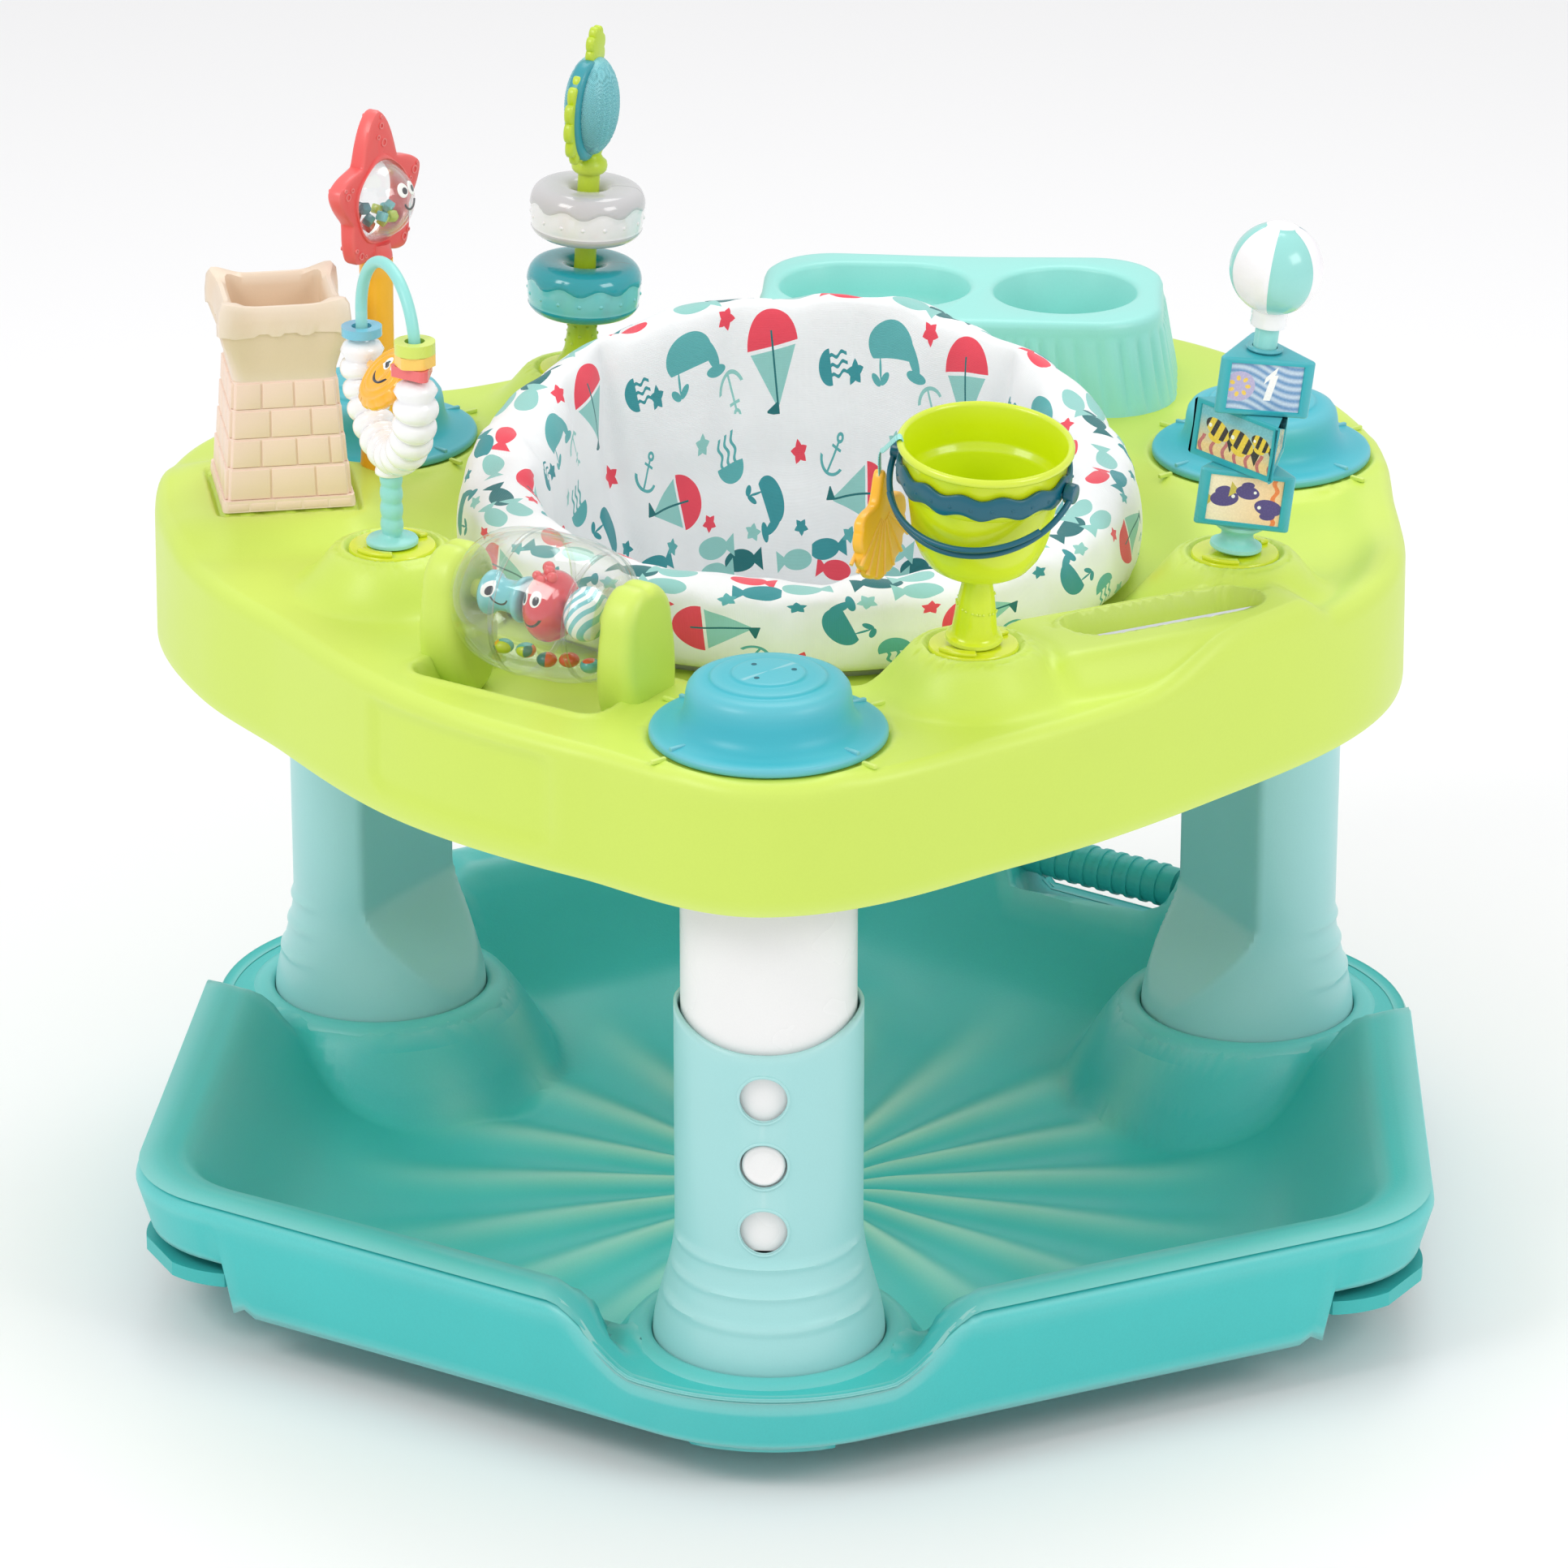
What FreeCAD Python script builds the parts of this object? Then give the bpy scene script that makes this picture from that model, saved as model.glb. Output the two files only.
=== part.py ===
# Activity jumper: a three-legged saucer centre for a baby.
# The frame has its origin on the floor under the middle of the seat, +Z up and -Y towards
# the single front leg.  All lengths are millimetres.
import FreeCAD, Part
import math
import os

import Sketcher

Vec = FreeCAD.Vector
Turn = FreeCAD.Rotation
UP = Vec(0, 0, 1)

doc = FreeCAD.newDocument("activity_jumper")
sheet = doc.addObject("Spreadsheet::Sheet", "Dims")

SIZES = [
    # the three legs
    ("leg_circle", 294, "radius of the circle through the three leg axes"),
    ("leg_radius", 50, "outside of the lower leg's round shell"),
    ("shell_wall", 2, "wall of the lower leg"),
    ("height_gap", 1.6, "room between the lower leg and the tube that slides in it"),
    ("panel_offset", 22, "leg axis to the flat panel that faces the saucer's middle"),
    ("foot_radius", 62, "round foot of the leg"),
    ("foot_bottom", 40, "lower edge of the foot at rest"),
    ("foot_top", 66, "where the foot starts to narrow"),
    ("leg_shoulder", 125, "where the narrowing ends"),
    ("shell_front", 240, "lowest point of the lower leg's curved rim"),
    ("shell_top", 250, "top of the lower leg's rim at its sides"),
    ("web_bottom", 80, "underside of the web that the bounce spring pushes on"),
    ("web_wall", 4, "thickness of that web"),
    ("height_hole", 12.5, "radius of the height holes"),
    ("height_pitch", 38, "spacing of the height holes"),
    ("height_middle", 177, "height of the middle hole"),
    ("tube_wall", 3, "wall of the upper leg"),
    ("tube_bottom", 127, "lower end of the upper leg at the middle height"),
    ("button_radius", 11.5, "height button"),
    ("button_lift", 1.3, "how far a button stands out of the upper leg"),
    ("button_gap", 0.4, "room round a button"),
    ("cap_radius", 62, "flange of a leg cap"),
    ("cap_flange", 3.3, "thickness of that flange at its edge"),
    ("cap_dome", 43, "radius of the cap's dome"),
    ("cap_height", 34, "cap's top above the deck"),
    ("cap_shank", 14, "radius of the cap's locking shank"),
    ("moving_gap", 0.3, "room between flat faces that turn on each other"),
    ("running_gap", 0.05, "radial room of a pin in its bore"),
    # the saucer base
    ("base_wall", 3, "wall of the saucer moulding"),
    ("base_leg_reach", 382, "saucer's outline at a leg corner"),
    ("base_leg_round", 120, "corner radius there"),
    ("base_mid_reach", 400, "saucer's outline at an in-between corner"),
    ("base_mid_round", 60, "corner radius there"),
    ("base_draft", 8, "inset of the skirt's lower edge"),
    ("base_skirt", 28, "lower edge of the skirt"),
    ("base_rim", 92, "top of the rim"),
    ("base_saddle", 60, "top of the rim at a leg"),
    ("saddle_half", 80, "half width of the low stretch of rim at a leg"),
    ("rim_land", 18, "width of the rim's flat top"),
    ("pan_floor_reach", 190, "flat middle of the pan"),
    ("pan_floor_round", 85, "corner radius of that flat middle"),
    ("socket_bottom", 16, "underside of a leg socket"),
    ("socket_gap", 0.4, "radial room round a leg's foot"),
    ("post_radius", 12, "spring post in a socket"),
    ("post_height", 19, "how far the post stands above the socket's floor"),
    ("spring_radius", 20, "mean radius of a bounce spring"),
    ("spring_wire", 2, "radius of its wire"),
    ("grip_radius", 12, "carrying grip"),
    ("grip_reach", 338, "distance of the grip from the saucer's axis"),
    ("grip_level", 79, "height of the grip's axis"),
    ("grip_half", 52, "half length of the grip"),
    ("grip_floor", 55, "floor of the hand opening"),
    ("notch_half", 50, "half width of a stabilizer's notch"),
    ("notch_top", 56, "top of the notch"),
    ("foot_pin_reach", 350, "stabilizer hinge, from the saucer's axis"),
    ("foot_pin_level", 45, "height of that hinge"),
    ("foot_pin_radius", 3, "its pin"),
    ("foot_half", 45, "half width of a stabilizer"),
    ("foot_length", 43, "stabilizer from hinge to tip"),
    # the tray
    ("deck_top", 400, "top of the tray's deck"),
    ("deck_wall", 3, "wall of the tray moulding"),
    ("tray_skirt", 328, "lower edge of the tray's skirt"),
    ("tray_round", 9, "rounding between skirt and deck"),
    ("seat_hole", 176, "radius of the seat opening"),
    ("dish_drop", 15, "how far the deck dips round the seat"),
    ("dish_inner", 192, "where the dip is flat"),
    ("dish_outer", 226, "where the dip starts"),
    ("collar_drop", 34, "depth of the seat opening's collar below the deck"),
    ("hub_top", 422, "top of a toy mound"),
    ("hub_base", 52, "radius of a toy mound at the deck"),
    ("hub_head", 31, "radius of its top"),
    ("lock_radius", 24, "bayonet disc on a mound"),
    ("lock_thick", 3, "thickness of that disc"),
    ("plinth_half", 45, "half side of the castle's plinth"),
    ("plinth_top", 411, "top of the plinth"),
    # the seat
    ("seat_radius", 186, "outside of the padded roll"),
    ("seat_front", 436, "top of the roll at the front"),
    ("seat_back", 489, "top of the roll at the back"),
    ("roll_inner", 146, "inside of the roll"),
    ("ring_inner", 153, "inside of the hard seat ring"),
    ("ring_outer", 172, "outside of the hard seat ring"),
    ("ring_thick", 6.7, "thickness of the hard seat ring"),
    ("sling_bottom", 250, "underside of the fabric sling"),
    ("sling_radius", 112, "radius of the sling's bottom"),
    ("sling_wall", 6, "thickness of the fabric sling"),
    ("leg_opening", 44, "radius of a leg opening in the sling"),
    # the food tray
    ("food_left", -40, "left side of the food tray"),
    ("food_right", 200, "right side of the food tray"),
    ("food_front", 206, "side of the food tray next to the seat"),
    ("food_back", 334, "far side of the food tray"),
    ("food_top", 455, "top of the food tray"),
    ("food_wall", 3, "wall of the food tray"),
    ("food_corner", 34, "corner radius of the food tray"),
    ("cup_radius", 43, "cup well"),
    ("cup_depth", 44, "depth of the cup well"),
    ("snack_radius", 38, "end radius of the snack well"),
    ("snack_length", 40, "distance between those ends"),
    ("snack_depth", 26, "depth of the snack well"),
    # the toys
    ("castle_side", 74, "side of the castle at its foot"),
    ("castle_neck", 58, "side of the castle under its parapet"),
    ("castle_head", 68, "side of the castle's parapet"),
    ("castle_joint", 484, "seam between tower and parapet"),
    ("castle_top", 531, "top of the parapet"),
    ("castle_well", 52, "side of the hollow in the parapet"),
    ("drum_radius", 39, "middle of the clear drum"),
    ("drum_half", 45, "half length of the drum"),
    ("drum_wall", 2.4, "wall of the drum"),
    ("drum_level", 435.5, "height of the drum's axle"),
    ("drum_pin", 5, "radius of the drum's axle"),
    ("pocket_floor", 378, "floor of the drum's pocket"),
    ("star_level", 566, "height of the star's middle"),
    ("star_ball", 22.5, "radius of the star's clear ball"),
    ("star_thick", 10, "thickness of the star"),
    ("arch_span", 75, "distance between the arch's two ends"),
    ("arch_level", 519, "height of the worm's ends"),
    ("arch_sag", 42, "depth of the worm's bend"),
    ("worm_radius", 12.5, "radius of the worm's segments"),
    ("wire_radius", 3.25, "radius of the arch wire"),
    ("wire_straight", 14, "straight ends of the arch wire above the segments"),
    ("disc_radius", 20.5, "smiling disc"),
    ("ring_radius", 33.5, "rattle ring"),
    ("ring_height", 38, "height of a rattle ring"),
    ("ring_stem", 6.3, "stem inside the rattle rings"),
    ("block_edge", 55, "side of a picture block"),
    ("block_height", 32, "height of a picture block"),
    ("block_stem", 6.5, "post inside the blocks"),
    ("ball_radius", 25, "beach ball"),
    ("bucket_rim", 44.5, "radius of the bucket's rim"),
    ("bail_radius", 50, "radius of the bucket's bail"),
    ("bail_wire", 1.6, "radius of the bail's bar"),
]
for row, (alias, size, meaning) in enumerate(SIZES, start=1):
    sheet.set(f"A{row}", alias)
    sheet.set(f"B{row}", str(size))
    sheet.set(f"C{row}", meaning)
    sheet.setAlias(f"B{row}", alias)
doc.recompute()


class Size:
    """A length that carries its spreadsheet formula and its present value together."""

    def __init__(self, rule, value):
        self.rule = rule
        self.value = value

    def join(self, sign, other, value):
        return Size(f"({self.rule} {sign} {other.rule})", value)

    def __add__(self, other):
        other = sized(other)
        return self.join("+", other, self.value + other.value)

    def __sub__(self, other):
        other = sized(other)
        return self.join("-", other, self.value - other.value)

    def __mul__(self, factor):
        return self.join("*", sized(factor), self.value * factor)

    def __radd__(self, other):
        return sized(other) + self

    def __rsub__(self, other):
        return sized(other) - self

    def __rmul__(self, factor):
        return self * factor

    def __neg__(self):
        return Size(f"(0 - {self.rule})", -self.value)

    def __float__(self):
        return float(self.value)


def sized(number):
    return number if isinstance(number, Size) else Size(f"({number:.6f})", float(number))


class Book:
    """Looks a size up in the spreadsheet by its alias."""

    def __getattr__(self, alias):
        return Size("Dims." + alias, float(sheet.get(alias)))


D = Book()


# ---------------------------------------------------------------- ways of making a solid

def bind(thing, **sizes):
    for key, size in sizes.items():
        thing.setExpression(key, sized(size).rule)
    return thing


def place(thing, x=0, y=0, z=0, turn=Turn()):
    thing.Placement = FreeCAD.Placement(Vec(), turn)
    for key, size in (("x", x), ("y", y), ("z", z)):
        thing.setExpression("Placement.Base." + key, sized(size).rule)
    return thing


def cylinder(radius, height, x=0, y=0, z=0, turn=Turn()):
    return place(bind(doc.addObject("Part::Cylinder", "rod"), Radius=radius, Height=height), x, y, z, turn)


def cone(low, high, height, x=0, y=0, z=0, turn=Turn()):
    thing = doc.addObject("Part::Cone", "cone")
    return place(bind(thing, Radius1=low, Radius2=high, Height=height), x, y, z, turn)


def box(length, width, height, x=0, y=0, z=0):
    """A box centred on x and y that stands on z."""
    thing = bind(doc.addObject("Part::Box", "block"), Length=length, Width=width, Height=height)
    return place(thing, sized(x) - sized(length) * 0.5, sized(y) - sized(width) * 0.5, z)


def ball(radius, x=0, y=0, z=0):
    return place(bind(doc.addObject("Part::Sphere", "ball"), Radius=radius), x, y, z)


def hoop(radius, wire, x=0, y=0, z=0, turn=Turn(), sweep=360):
    thing = bind(doc.addObject("Part::Torus", "hoop"), Radius1=radius, Radius2=wire)
    thing.Angle3 = sweep
    return place(thing, x, y, z, turn)


def egg(along_x, along_y, along_z, x=0, y=0, z=0):
    thing = doc.addObject("Part::Ellipsoid", "egg")
    bind(thing, Radius1=along_z, Radius2=along_x, Radius3=along_y)
    return place(thing, x, y, z)


def fuse(*things):
    """Joins solids into one; a single solid is only wrapped, so that it can be carried elsewhere."""
    if len(things) == 1:
        result = doc.addObject("Part::Compound", "wrapped")
        result.Links = list(things)
        return result
    result = doc.addObject("Part::MultiFuse", "joined")
    result.Shapes = list(things)
    return result


def cut(base, *tools):
    for tool in tools:
        result = doc.addObject("Part::Cut", "cut")
        result.Base, result.Tool = base, tool
        base = result
    return base


def common(*things):
    result = doc.addObject("Part::MultiCommon", "shared")
    result.Shapes = list(things)
    return result


def profile_body(name, points, depth=None):
    """A PartDesign body from a closed outline of (across, up) sizes on its own XZ plane.
    With a depth the outline is padded to both sides; without one it is turned about Z."""
    body = doc.addObject("PartDesign::Body", name)
    sketch = body.newObject("Sketcher::SketchObject", name + "_outline")
    plane = [item for item in body.Origin.OriginFeatures if item.Role == "XZ_Plane"][0]
    sketch.AttachmentSupport = [(plane, "")]
    sketch.MapMode = "FlatFace"
    corners = [(sized(across), sized(up)) for across, up in points]
    spots = [Vec(float(across), float(up), 0) for across, up in corners]
    for start, end in zip(spots, spots[1:] + spots[:1]):
        sketch.addGeometry(Part.LineSegment(start, end))
    for index in range(len(spots)):
        sketch.addConstraint(Sketcher.Constraint("Coincident", index, 2, (index + 1) % len(spots), 1))
    for index, corner in enumerate(corners):
        for kind, axis_line, size in (("DistanceX", -2, corner[0]), ("DistanceY", -1, corner[1])):
            if size.value == 0:
                sketch.addConstraint(Sketcher.Constraint("PointOnObject", index, 1, axis_line))
                continue
            ends = (-1, 1, index, 1) if size.value > 0 else (index, 1, -1, 1)
            number = sketch.addConstraint(Sketcher.Constraint(kind, *ends, abs(size.value)))
            sketch.setExpression(f"Constraints[{number}]", (size if size.value > 0 else -size).rule)
    if depth is None:
        feature = body.newObject("PartDesign::Revolution", name + "_turned")
        feature.Profile = sketch
        feature.ReferenceAxis = (sketch, ["V_Axis"])
        feature.Angle = 360
    else:
        feature = body.newObject("PartDesign::Pad", name + "_pad")
        feature.Profile = sketch
        feature.Midplane = True
        bind(feature, Length=depth)
    return body


def shaped(name, shape):
    """A moulded shell that no primitive or sketch feature describes."""
    thing = doc.addObject("Part::Feature", name)
    thing.Shape = shape
    return thing


NODES = {}


def node(name, thing):
    thing.Label = name
    NODES[name] = thing
    return thing


ACROSS = Turn(Vec(0, 1, 0), 90)       # turns a part's own Z axis onto +X
SIDEWAYS = Turn(Vec(1, 0, 0), -90)    # turns it onto +Y

# Legs stand at the front, right and left; the saucer's sharper corners lie between them.
LEGS = {"front": -90, "right": 30, "left": 150}
CORNERS = {"right": -30, "back": 90, "left": -150}


def stand(thing, azimuth, reach=0, level=0):
    """Carries a part drawn with +X outwards to its place round the saucer's axis."""
    heading = math.radians(azimuth)
    return place(thing, sized(reach) * math.cos(heading), sized(reach) * math.sin(heading), level,
                 Turn(UP, azimuth))


# ---------------------------------------------------------------- lower and upper legs

def leg_core(radius, panel, low, high):
    """The leg's section, a circle with one flat side, between two heights."""
    rod = cylinder(radius, high - low, z=low)
    side = box(radius * 2, radius * 4, high - low + 2, x=-panel - radius, z=low - 1)
    return cut(rod, side)


def lower_leg():
    wall = D.shell_wall
    slope = (D.foot_radius.value - D.leg_radius.value) / (D.leg_shoulder.value - D.foot_top.value)
    outside = profile_body("leg_outside", [
        (0, D.foot_bottom), (D.foot_radius, D.foot_bottom), (D.foot_radius, D.foot_top),
        (D.leg_radius, D.leg_shoulder), (D.leg_radius, D.shell_top), (0, D.shell_top)])
    panel_cut = profile_body("leg_panel", [
        (-D.panel_offset, D.shell_top + 5), (-D.panel_offset, D.leg_shoulder),
        (-D.foot_radius - 1, D.foot_top), (-D.foot_radius - 20, D.foot_top),
        (-D.foot_radius - 20, D.shell_top + 5)], depth=D.foot_radius * 2.2)
    web_radius = D.foot_radius - (D.web_bottom - D.foot_top) * slope
    inside_low = profile_body("leg_inside_low", [
        (0, D.foot_bottom - 1), (D.foot_radius - wall, D.foot_bottom - 1),
        (D.foot_radius - wall, D.foot_top), (web_radius - wall, D.web_bottom), (0, D.web_bottom)])
    inside_top = profile_body("leg_inside_top", [
        (0, D.web_bottom + D.web_wall), (web_radius - wall * 2, D.web_bottom + D.web_wall),
        (D.leg_radius - wall, D.leg_shoulder), (D.leg_radius - wall, D.shell_top + 1), (0, D.shell_top + 1)])
    panel_wall = profile_body("leg_panel_wall", [
        (wall - D.panel_offset, D.shell_top + 5), (wall - D.panel_offset, D.leg_shoulder),
        (wall - D.foot_radius - 1, D.foot_top), (-D.foot_radius - 20, D.foot_top),
        (-D.foot_radius - 20, D.shell_top + 5)], depth=D.foot_radius * 2.2)
    shell = cut(cut(outside, panel_cut), cut(fuse(inside_low, inside_top), panel_wall))
    holes = [cylinder(D.height_hole, D.leg_radius, x=D.leg_radius * 0.6,
                      z=D.height_middle + D.height_pitch * step, turn=ACROSS) for step in (-1, 0, 1)]
    dip = 110
    rim = cylinder(dip, D.leg_radius * 2, z=D.shell_front + dip, turn=ACROSS)
    return cut(shell, fuse(*holes), rim)


TUBE = D.leg_radius - D.shell_wall - D.height_gap
TUBE_PANEL = D.panel_offset - D.shell_wall - D.height_gap
TUBE_TOP = D.deck_top - D.deck_wall


def upper_leg():
    outside = leg_core(TUBE, TUBE_PANEL, D.tube_bottom, TUBE_TOP)
    inside = leg_core(TUBE - D.tube_wall, TUBE_PANEL - D.tube_wall, D.tube_bottom - 1, TUBE_TOP - D.tube_wall)
    shank = cylinder(D.cap_shank + D.moving_gap, D.tube_wall * 4, z=TUBE_TOP - D.tube_wall * 2)
    button = cylinder(D.button_radius + D.button_gap, D.leg_radius, x=TUBE * 0.6,
                      z=D.height_middle, turn=ACROSS)
    return cut(outside, inside, shank, button)


def leg_button():
    """A round snap button whose face follows the tube and whose flange sits behind its wall."""
    head = common(cylinder(D.button_radius, TUBE * 0.5, x=TUBE * 0.8, z=D.height_middle, turn=ACROSS),
                  cylinder(TUBE + D.button_lift, D.height_pitch, z=D.height_middle - D.height_pitch * 0.5))
    flange = cylinder(D.button_radius + 1.5, 3.4, x=TUBE * 0.8 - 1, z=D.height_middle, turn=ACROSS)
    return fuse(head, flange)


def leg_cap():
    seat = D.deck_top + D.moving_gap
    top = D.deck_top + D.cap_height
    skin = profile_body("cap_skin", [
        (0, seat - 22), (D.cap_shank, seat - 22), (D.cap_shank, top - 6), (D.cap_dome - 4, top - 6),
        (D.cap_dome - 3, seat + 11), (D.cap_dome + 2, seat + 4), (D.cap_dome + 2, seat),
        (D.cap_radius, seat), (D.cap_radius, seat + D.cap_flange), (D.cap_dome + 5, seat + 6),
        (D.cap_dome, seat + 11), (D.cap_dome - 1, top - 8), (D.cap_dome - 6, top - 3),
        (D.cap_dome - 13, top - 3), (D.cap_dome - 14, top - 1), (D.cap_dome - 24, top - 1),
        (D.cap_dome - 25, top), (0, top)])
    lugs = box(10, D.cap_shank * 2 + 8, 4, z=TUBE_TOP - D.tube_wall - 4 - D.moving_gap)
    return fuse(skin, lugs)


for side, azimuth in LEGS.items():
    node("lower_leg_" + side, stand(lower_leg(), azimuth, D.leg_circle))
    node("upper_leg_" + side, stand(upper_leg(), azimuth, D.leg_circle))
    node("leg_button_" + side, stand(leg_button(), azimuth, D.leg_circle))
    node("leg_cap_" + side, stand(leg_cap(), azimuth, D.leg_circle))


# ---------------------------------------------------------------- saucer base

def polar(reach, azimuth, height=0.0):
    heading = math.radians(azimuth)
    return Vec(reach * math.cos(heading), reach * math.sin(heading), height)


def saucer_outline(height, inset=0.0, leg_reach=D.base_leg_reach, leg_round=D.base_leg_round,
                   mid_reach=D.base_mid_reach, mid_round=D.base_mid_round):
    """Six rounded corners, three wide ones at the legs and three tighter ones between them."""
    corners = []
    for azimuth in sorted(list(LEGS.values()) + list(CORNERS.values())):
        at_leg = azimuth in LEGS.values()
        radius = float(leg_round if at_leg else mid_round)
        reach = float(leg_reach if at_leg else mid_reach)
        corners.append((polar(reach - radius, azimuth, height), radius - inset, azimuth))
    normals = []
    for (middle, radius, _), (following, next_radius, _) in zip(corners, corners[1:] + corners[:1]):
        step = following - middle
        lean = math.asin((radius - next_radius) / step.Length)
        normals.append(math.degrees(math.atan2(step.y, step.x) + lean) - 90)
    edges = []
    for index, (middle, radius, azimuth) in enumerate(corners):
        start = middle + polar(radius, normals[index - 1])
        bend = middle + polar(radius, azimuth)
        end = middle + polar(radius, normals[index])
        edges.append(Part.Arc(start, bend, end).toShape())
        following, next_radius, _ = corners[(index + 1) % len(corners)]
        edges.append(Part.LineSegment(end, following + polar(next_radius, normals[index])).toShape())
    return Part.Wire(edges)


def layered(*wires):
    return Part.makeLoft(list(wires), True, True)


def pan_outline(height, grow=0.0):
    reach, corner = float(D.pan_floor_reach), float(D.pan_floor_round)
    return saucer_outline(height, -grow, reach, corner, reach, corner)


def gap_prism(azimuth, floor, half, spread, grow, reach, depth):
    """A trapezoid passage along a radius, open at the top, grown by a wall on request."""
    low, high = float(floor) - grow, float(D.base_rim) + 10
    flare = float(spread) * (high - low) / (float(D.base_rim) - float(floor))
    near, wide = float(reach), float(half) + grow
    corners = [Vec(near, -wide, low), Vec(near, wide, low), Vec(near, wide + flare, high),
               Vec(near, -wide - flare, high)]
    face = Part.Face(Part.makePolygon(corners + corners[:1]))
    prism = face.extrude(Vec(float(depth), 0, 0))
    prism.rotate(Vec(), UP, azimuth)
    return prism


GRIP_AZIMUTH = 60


def base_saucer():
    wall, rim, skirt = float(D.base_wall), float(D.base_rim), float(D.base_skirt)
    land = float(D.rim_land)
    outer = layered(saucer_outline(skirt, float(D.base_draft)), saucer_outline(rim - 12),
                    saucer_outline(rim, 4))
    skirt_room = layered(saucer_outline(skirt - 1, float(D.base_draft) + wall),
                         saucer_outline(rim - 12, wall), saucer_outline(rim - wall, 4 + wall))
    bowl = layered(pan_outline(0), saucer_outline(rim - wall, land - wall))
    pan = layered(pan_outline(wall), saucer_outline(rim, land), saucer_outline(rim + 20, land))
    moulding = outer.fuse(bowl).cut(skirt_room.cut(bowl)).cut(pan)

    # low saddles of rim at the legs and the hand opening, each lined by one wall
    gaps = [(azimuth, D.base_saddle, D.saddle_half, 34, 200, 250) for azimuth in LEGS.values()]
    gaps.append((GRIP_AZIMUTH, D.grip_floor, D.grip_half, 0, 300, 100))
    for azimuth, floor, half, spread, near, depth in gaps:
        lining = outer.cut(pan).common(gap_prism(azimuth, floor, half, spread, wall, near, depth))
        moulding = moulding.fuse(lining).cut(gap_prism(azimuth, floor, half, spread, 0, near, depth))

    # sockets for the legs, each with a post that centres its spring
    bore = float(D.foot_radius + D.socket_gap)
    low, saddle = float(D.socket_bottom), float(D.base_saddle)
    for azimuth in LEGS.values():
        middle = polar(float(D.leg_circle), azimuth, low)
        moulding = moulding.fuse(Part.makeCylinder(bore + wall + 1.5, saddle - low, middle))
        room = Part.makeCylinder(bore, rim, middle + Vec(0, 0, wall))
        post = Part.makeCylinder(float(D.post_radius), float(D.post_height), middle + Vec(0, 0, wall))
        moulding = moulding.cut(room).fuse(post)

    # notches and hinge ears for the fold-down stabilizers
    half, ear = float(D.notch_half), 6.0
    reach, level = float(D.foot_pin_reach), float(D.foot_pin_level)
    for azimuth in CORNERS.values():
        notch = Part.makeBox(60, 2 * half, float(D.notch_top) - skirt + 1, Vec(reach + 18, -half, skirt - 1))
        ears = [Part.makeBox(16, ear, rim - level, Vec(reach - 8, near, level - 9))
                for near in (float(D.foot_half) + 0.5, -float(D.foot_half) - 0.5 - ear)]
        ears = Part.makeCompound(ears)
        hole = Part.makeCylinder(float(D.foot_pin_radius), 140, Vec(reach, -70, level), Vec(0, 1, 0))
        for tool in (notch, ears, hole):
            tool.rotate(Vec(), UP, azimuth)
        moulding = moulding.cut(notch).fuse(ears.common(outer.fuse(bowl).fuse(skirt_room))).cut(pan).cut(hole)
    return moulding.removeSplitter()


def carry_grip():
    bar = cylinder(D.grip_radius, D.grip_half * 2, x=D.grip_reach, y=-D.grip_half, z=D.grip_level,
                   turn=SIDEWAYS)
    ribs = [cylinder(D.grip_radius + 1, 3, x=D.grip_reach, y=step * 10 - 1.5, z=D.grip_level, turn=SIDEWAYS)
            for step in range(-4, 5)]
    return fuse(bar, *ribs)


SPRING_FOOT = D.socket_bottom + D.base_wall + D.spring_wire


def bounce_spring():
    wire, radius = float(D.spring_wire), float(D.spring_radius)
    height = float(D.web_bottom - SPRING_FOOT) - wire
    coil = Part.makeHelix(height / 6, height, radius)
    angles = [math.pi * index / 4 for index in range(9)]
    section = Part.makePolygon([Vec(radius + wire * math.cos(a), 0, wire * math.sin(a)) for a in angles])
    return Part.Wire(coil.Edges).makePipeShell([section], True, True)


def stabilizer():
    pin = D.foot_pin_radius
    barrel = cylinder(pin * 2, D.foot_half * 2, x=D.foot_pin_reach, y=-D.foot_half, z=D.foot_pin_level,
                      turn=SIDEWAYS)
    pad = box(D.foot_length, D.foot_half * 2, 8, x=D.foot_pin_reach + D.foot_length * 0.5,
              z=D.foot_pin_level - 4)
    corner = cylinder(D.base_mid_round - 4, 20, x=D.base_mid_reach - D.base_mid_round,
                      z=D.foot_pin_level - 10)
    pad = common(pad, corner)
    bore = cylinder(pin + D.running_gap, D.foot_half * 3, x=D.foot_pin_reach, y=D.foot_half * -1.5,
                    z=D.foot_pin_level, turn=SIDEWAYS)
    return cut(fuse(barrel, pad), bore)


def stabilizer_pin():
    return cylinder(D.foot_pin_radius, D.foot_half * 2 + 13, x=D.foot_pin_reach, y=-D.foot_half - 6.5,
                    z=D.foot_pin_level, turn=SIDEWAYS)


node("base_saucer", shaped("base_saucer", base_saucer()))
node("carry_grip", stand(carry_grip(), GRIP_AZIMUTH))
for side, azimuth in LEGS.items():
    spring = shaped("bounce_spring_" + side, bounce_spring())
    node("bounce_spring_" + side, stand(spring, azimuth, D.leg_circle, SPRING_FOOT))
pins = doc.addObject("Part::Compound", "stabilizer_pins")
pins.Links = [stand(fuse(stabilizer_pin()), azimuth) for azimuth in CORNERS.values()]
node("stabilizer_pins", pins)
for side, azimuth in CORNERS.items():
    node("stabilizer_" + side, stand(stabilizer(), azimuth))


# ---------------------------------------------------------------- tray

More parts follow.
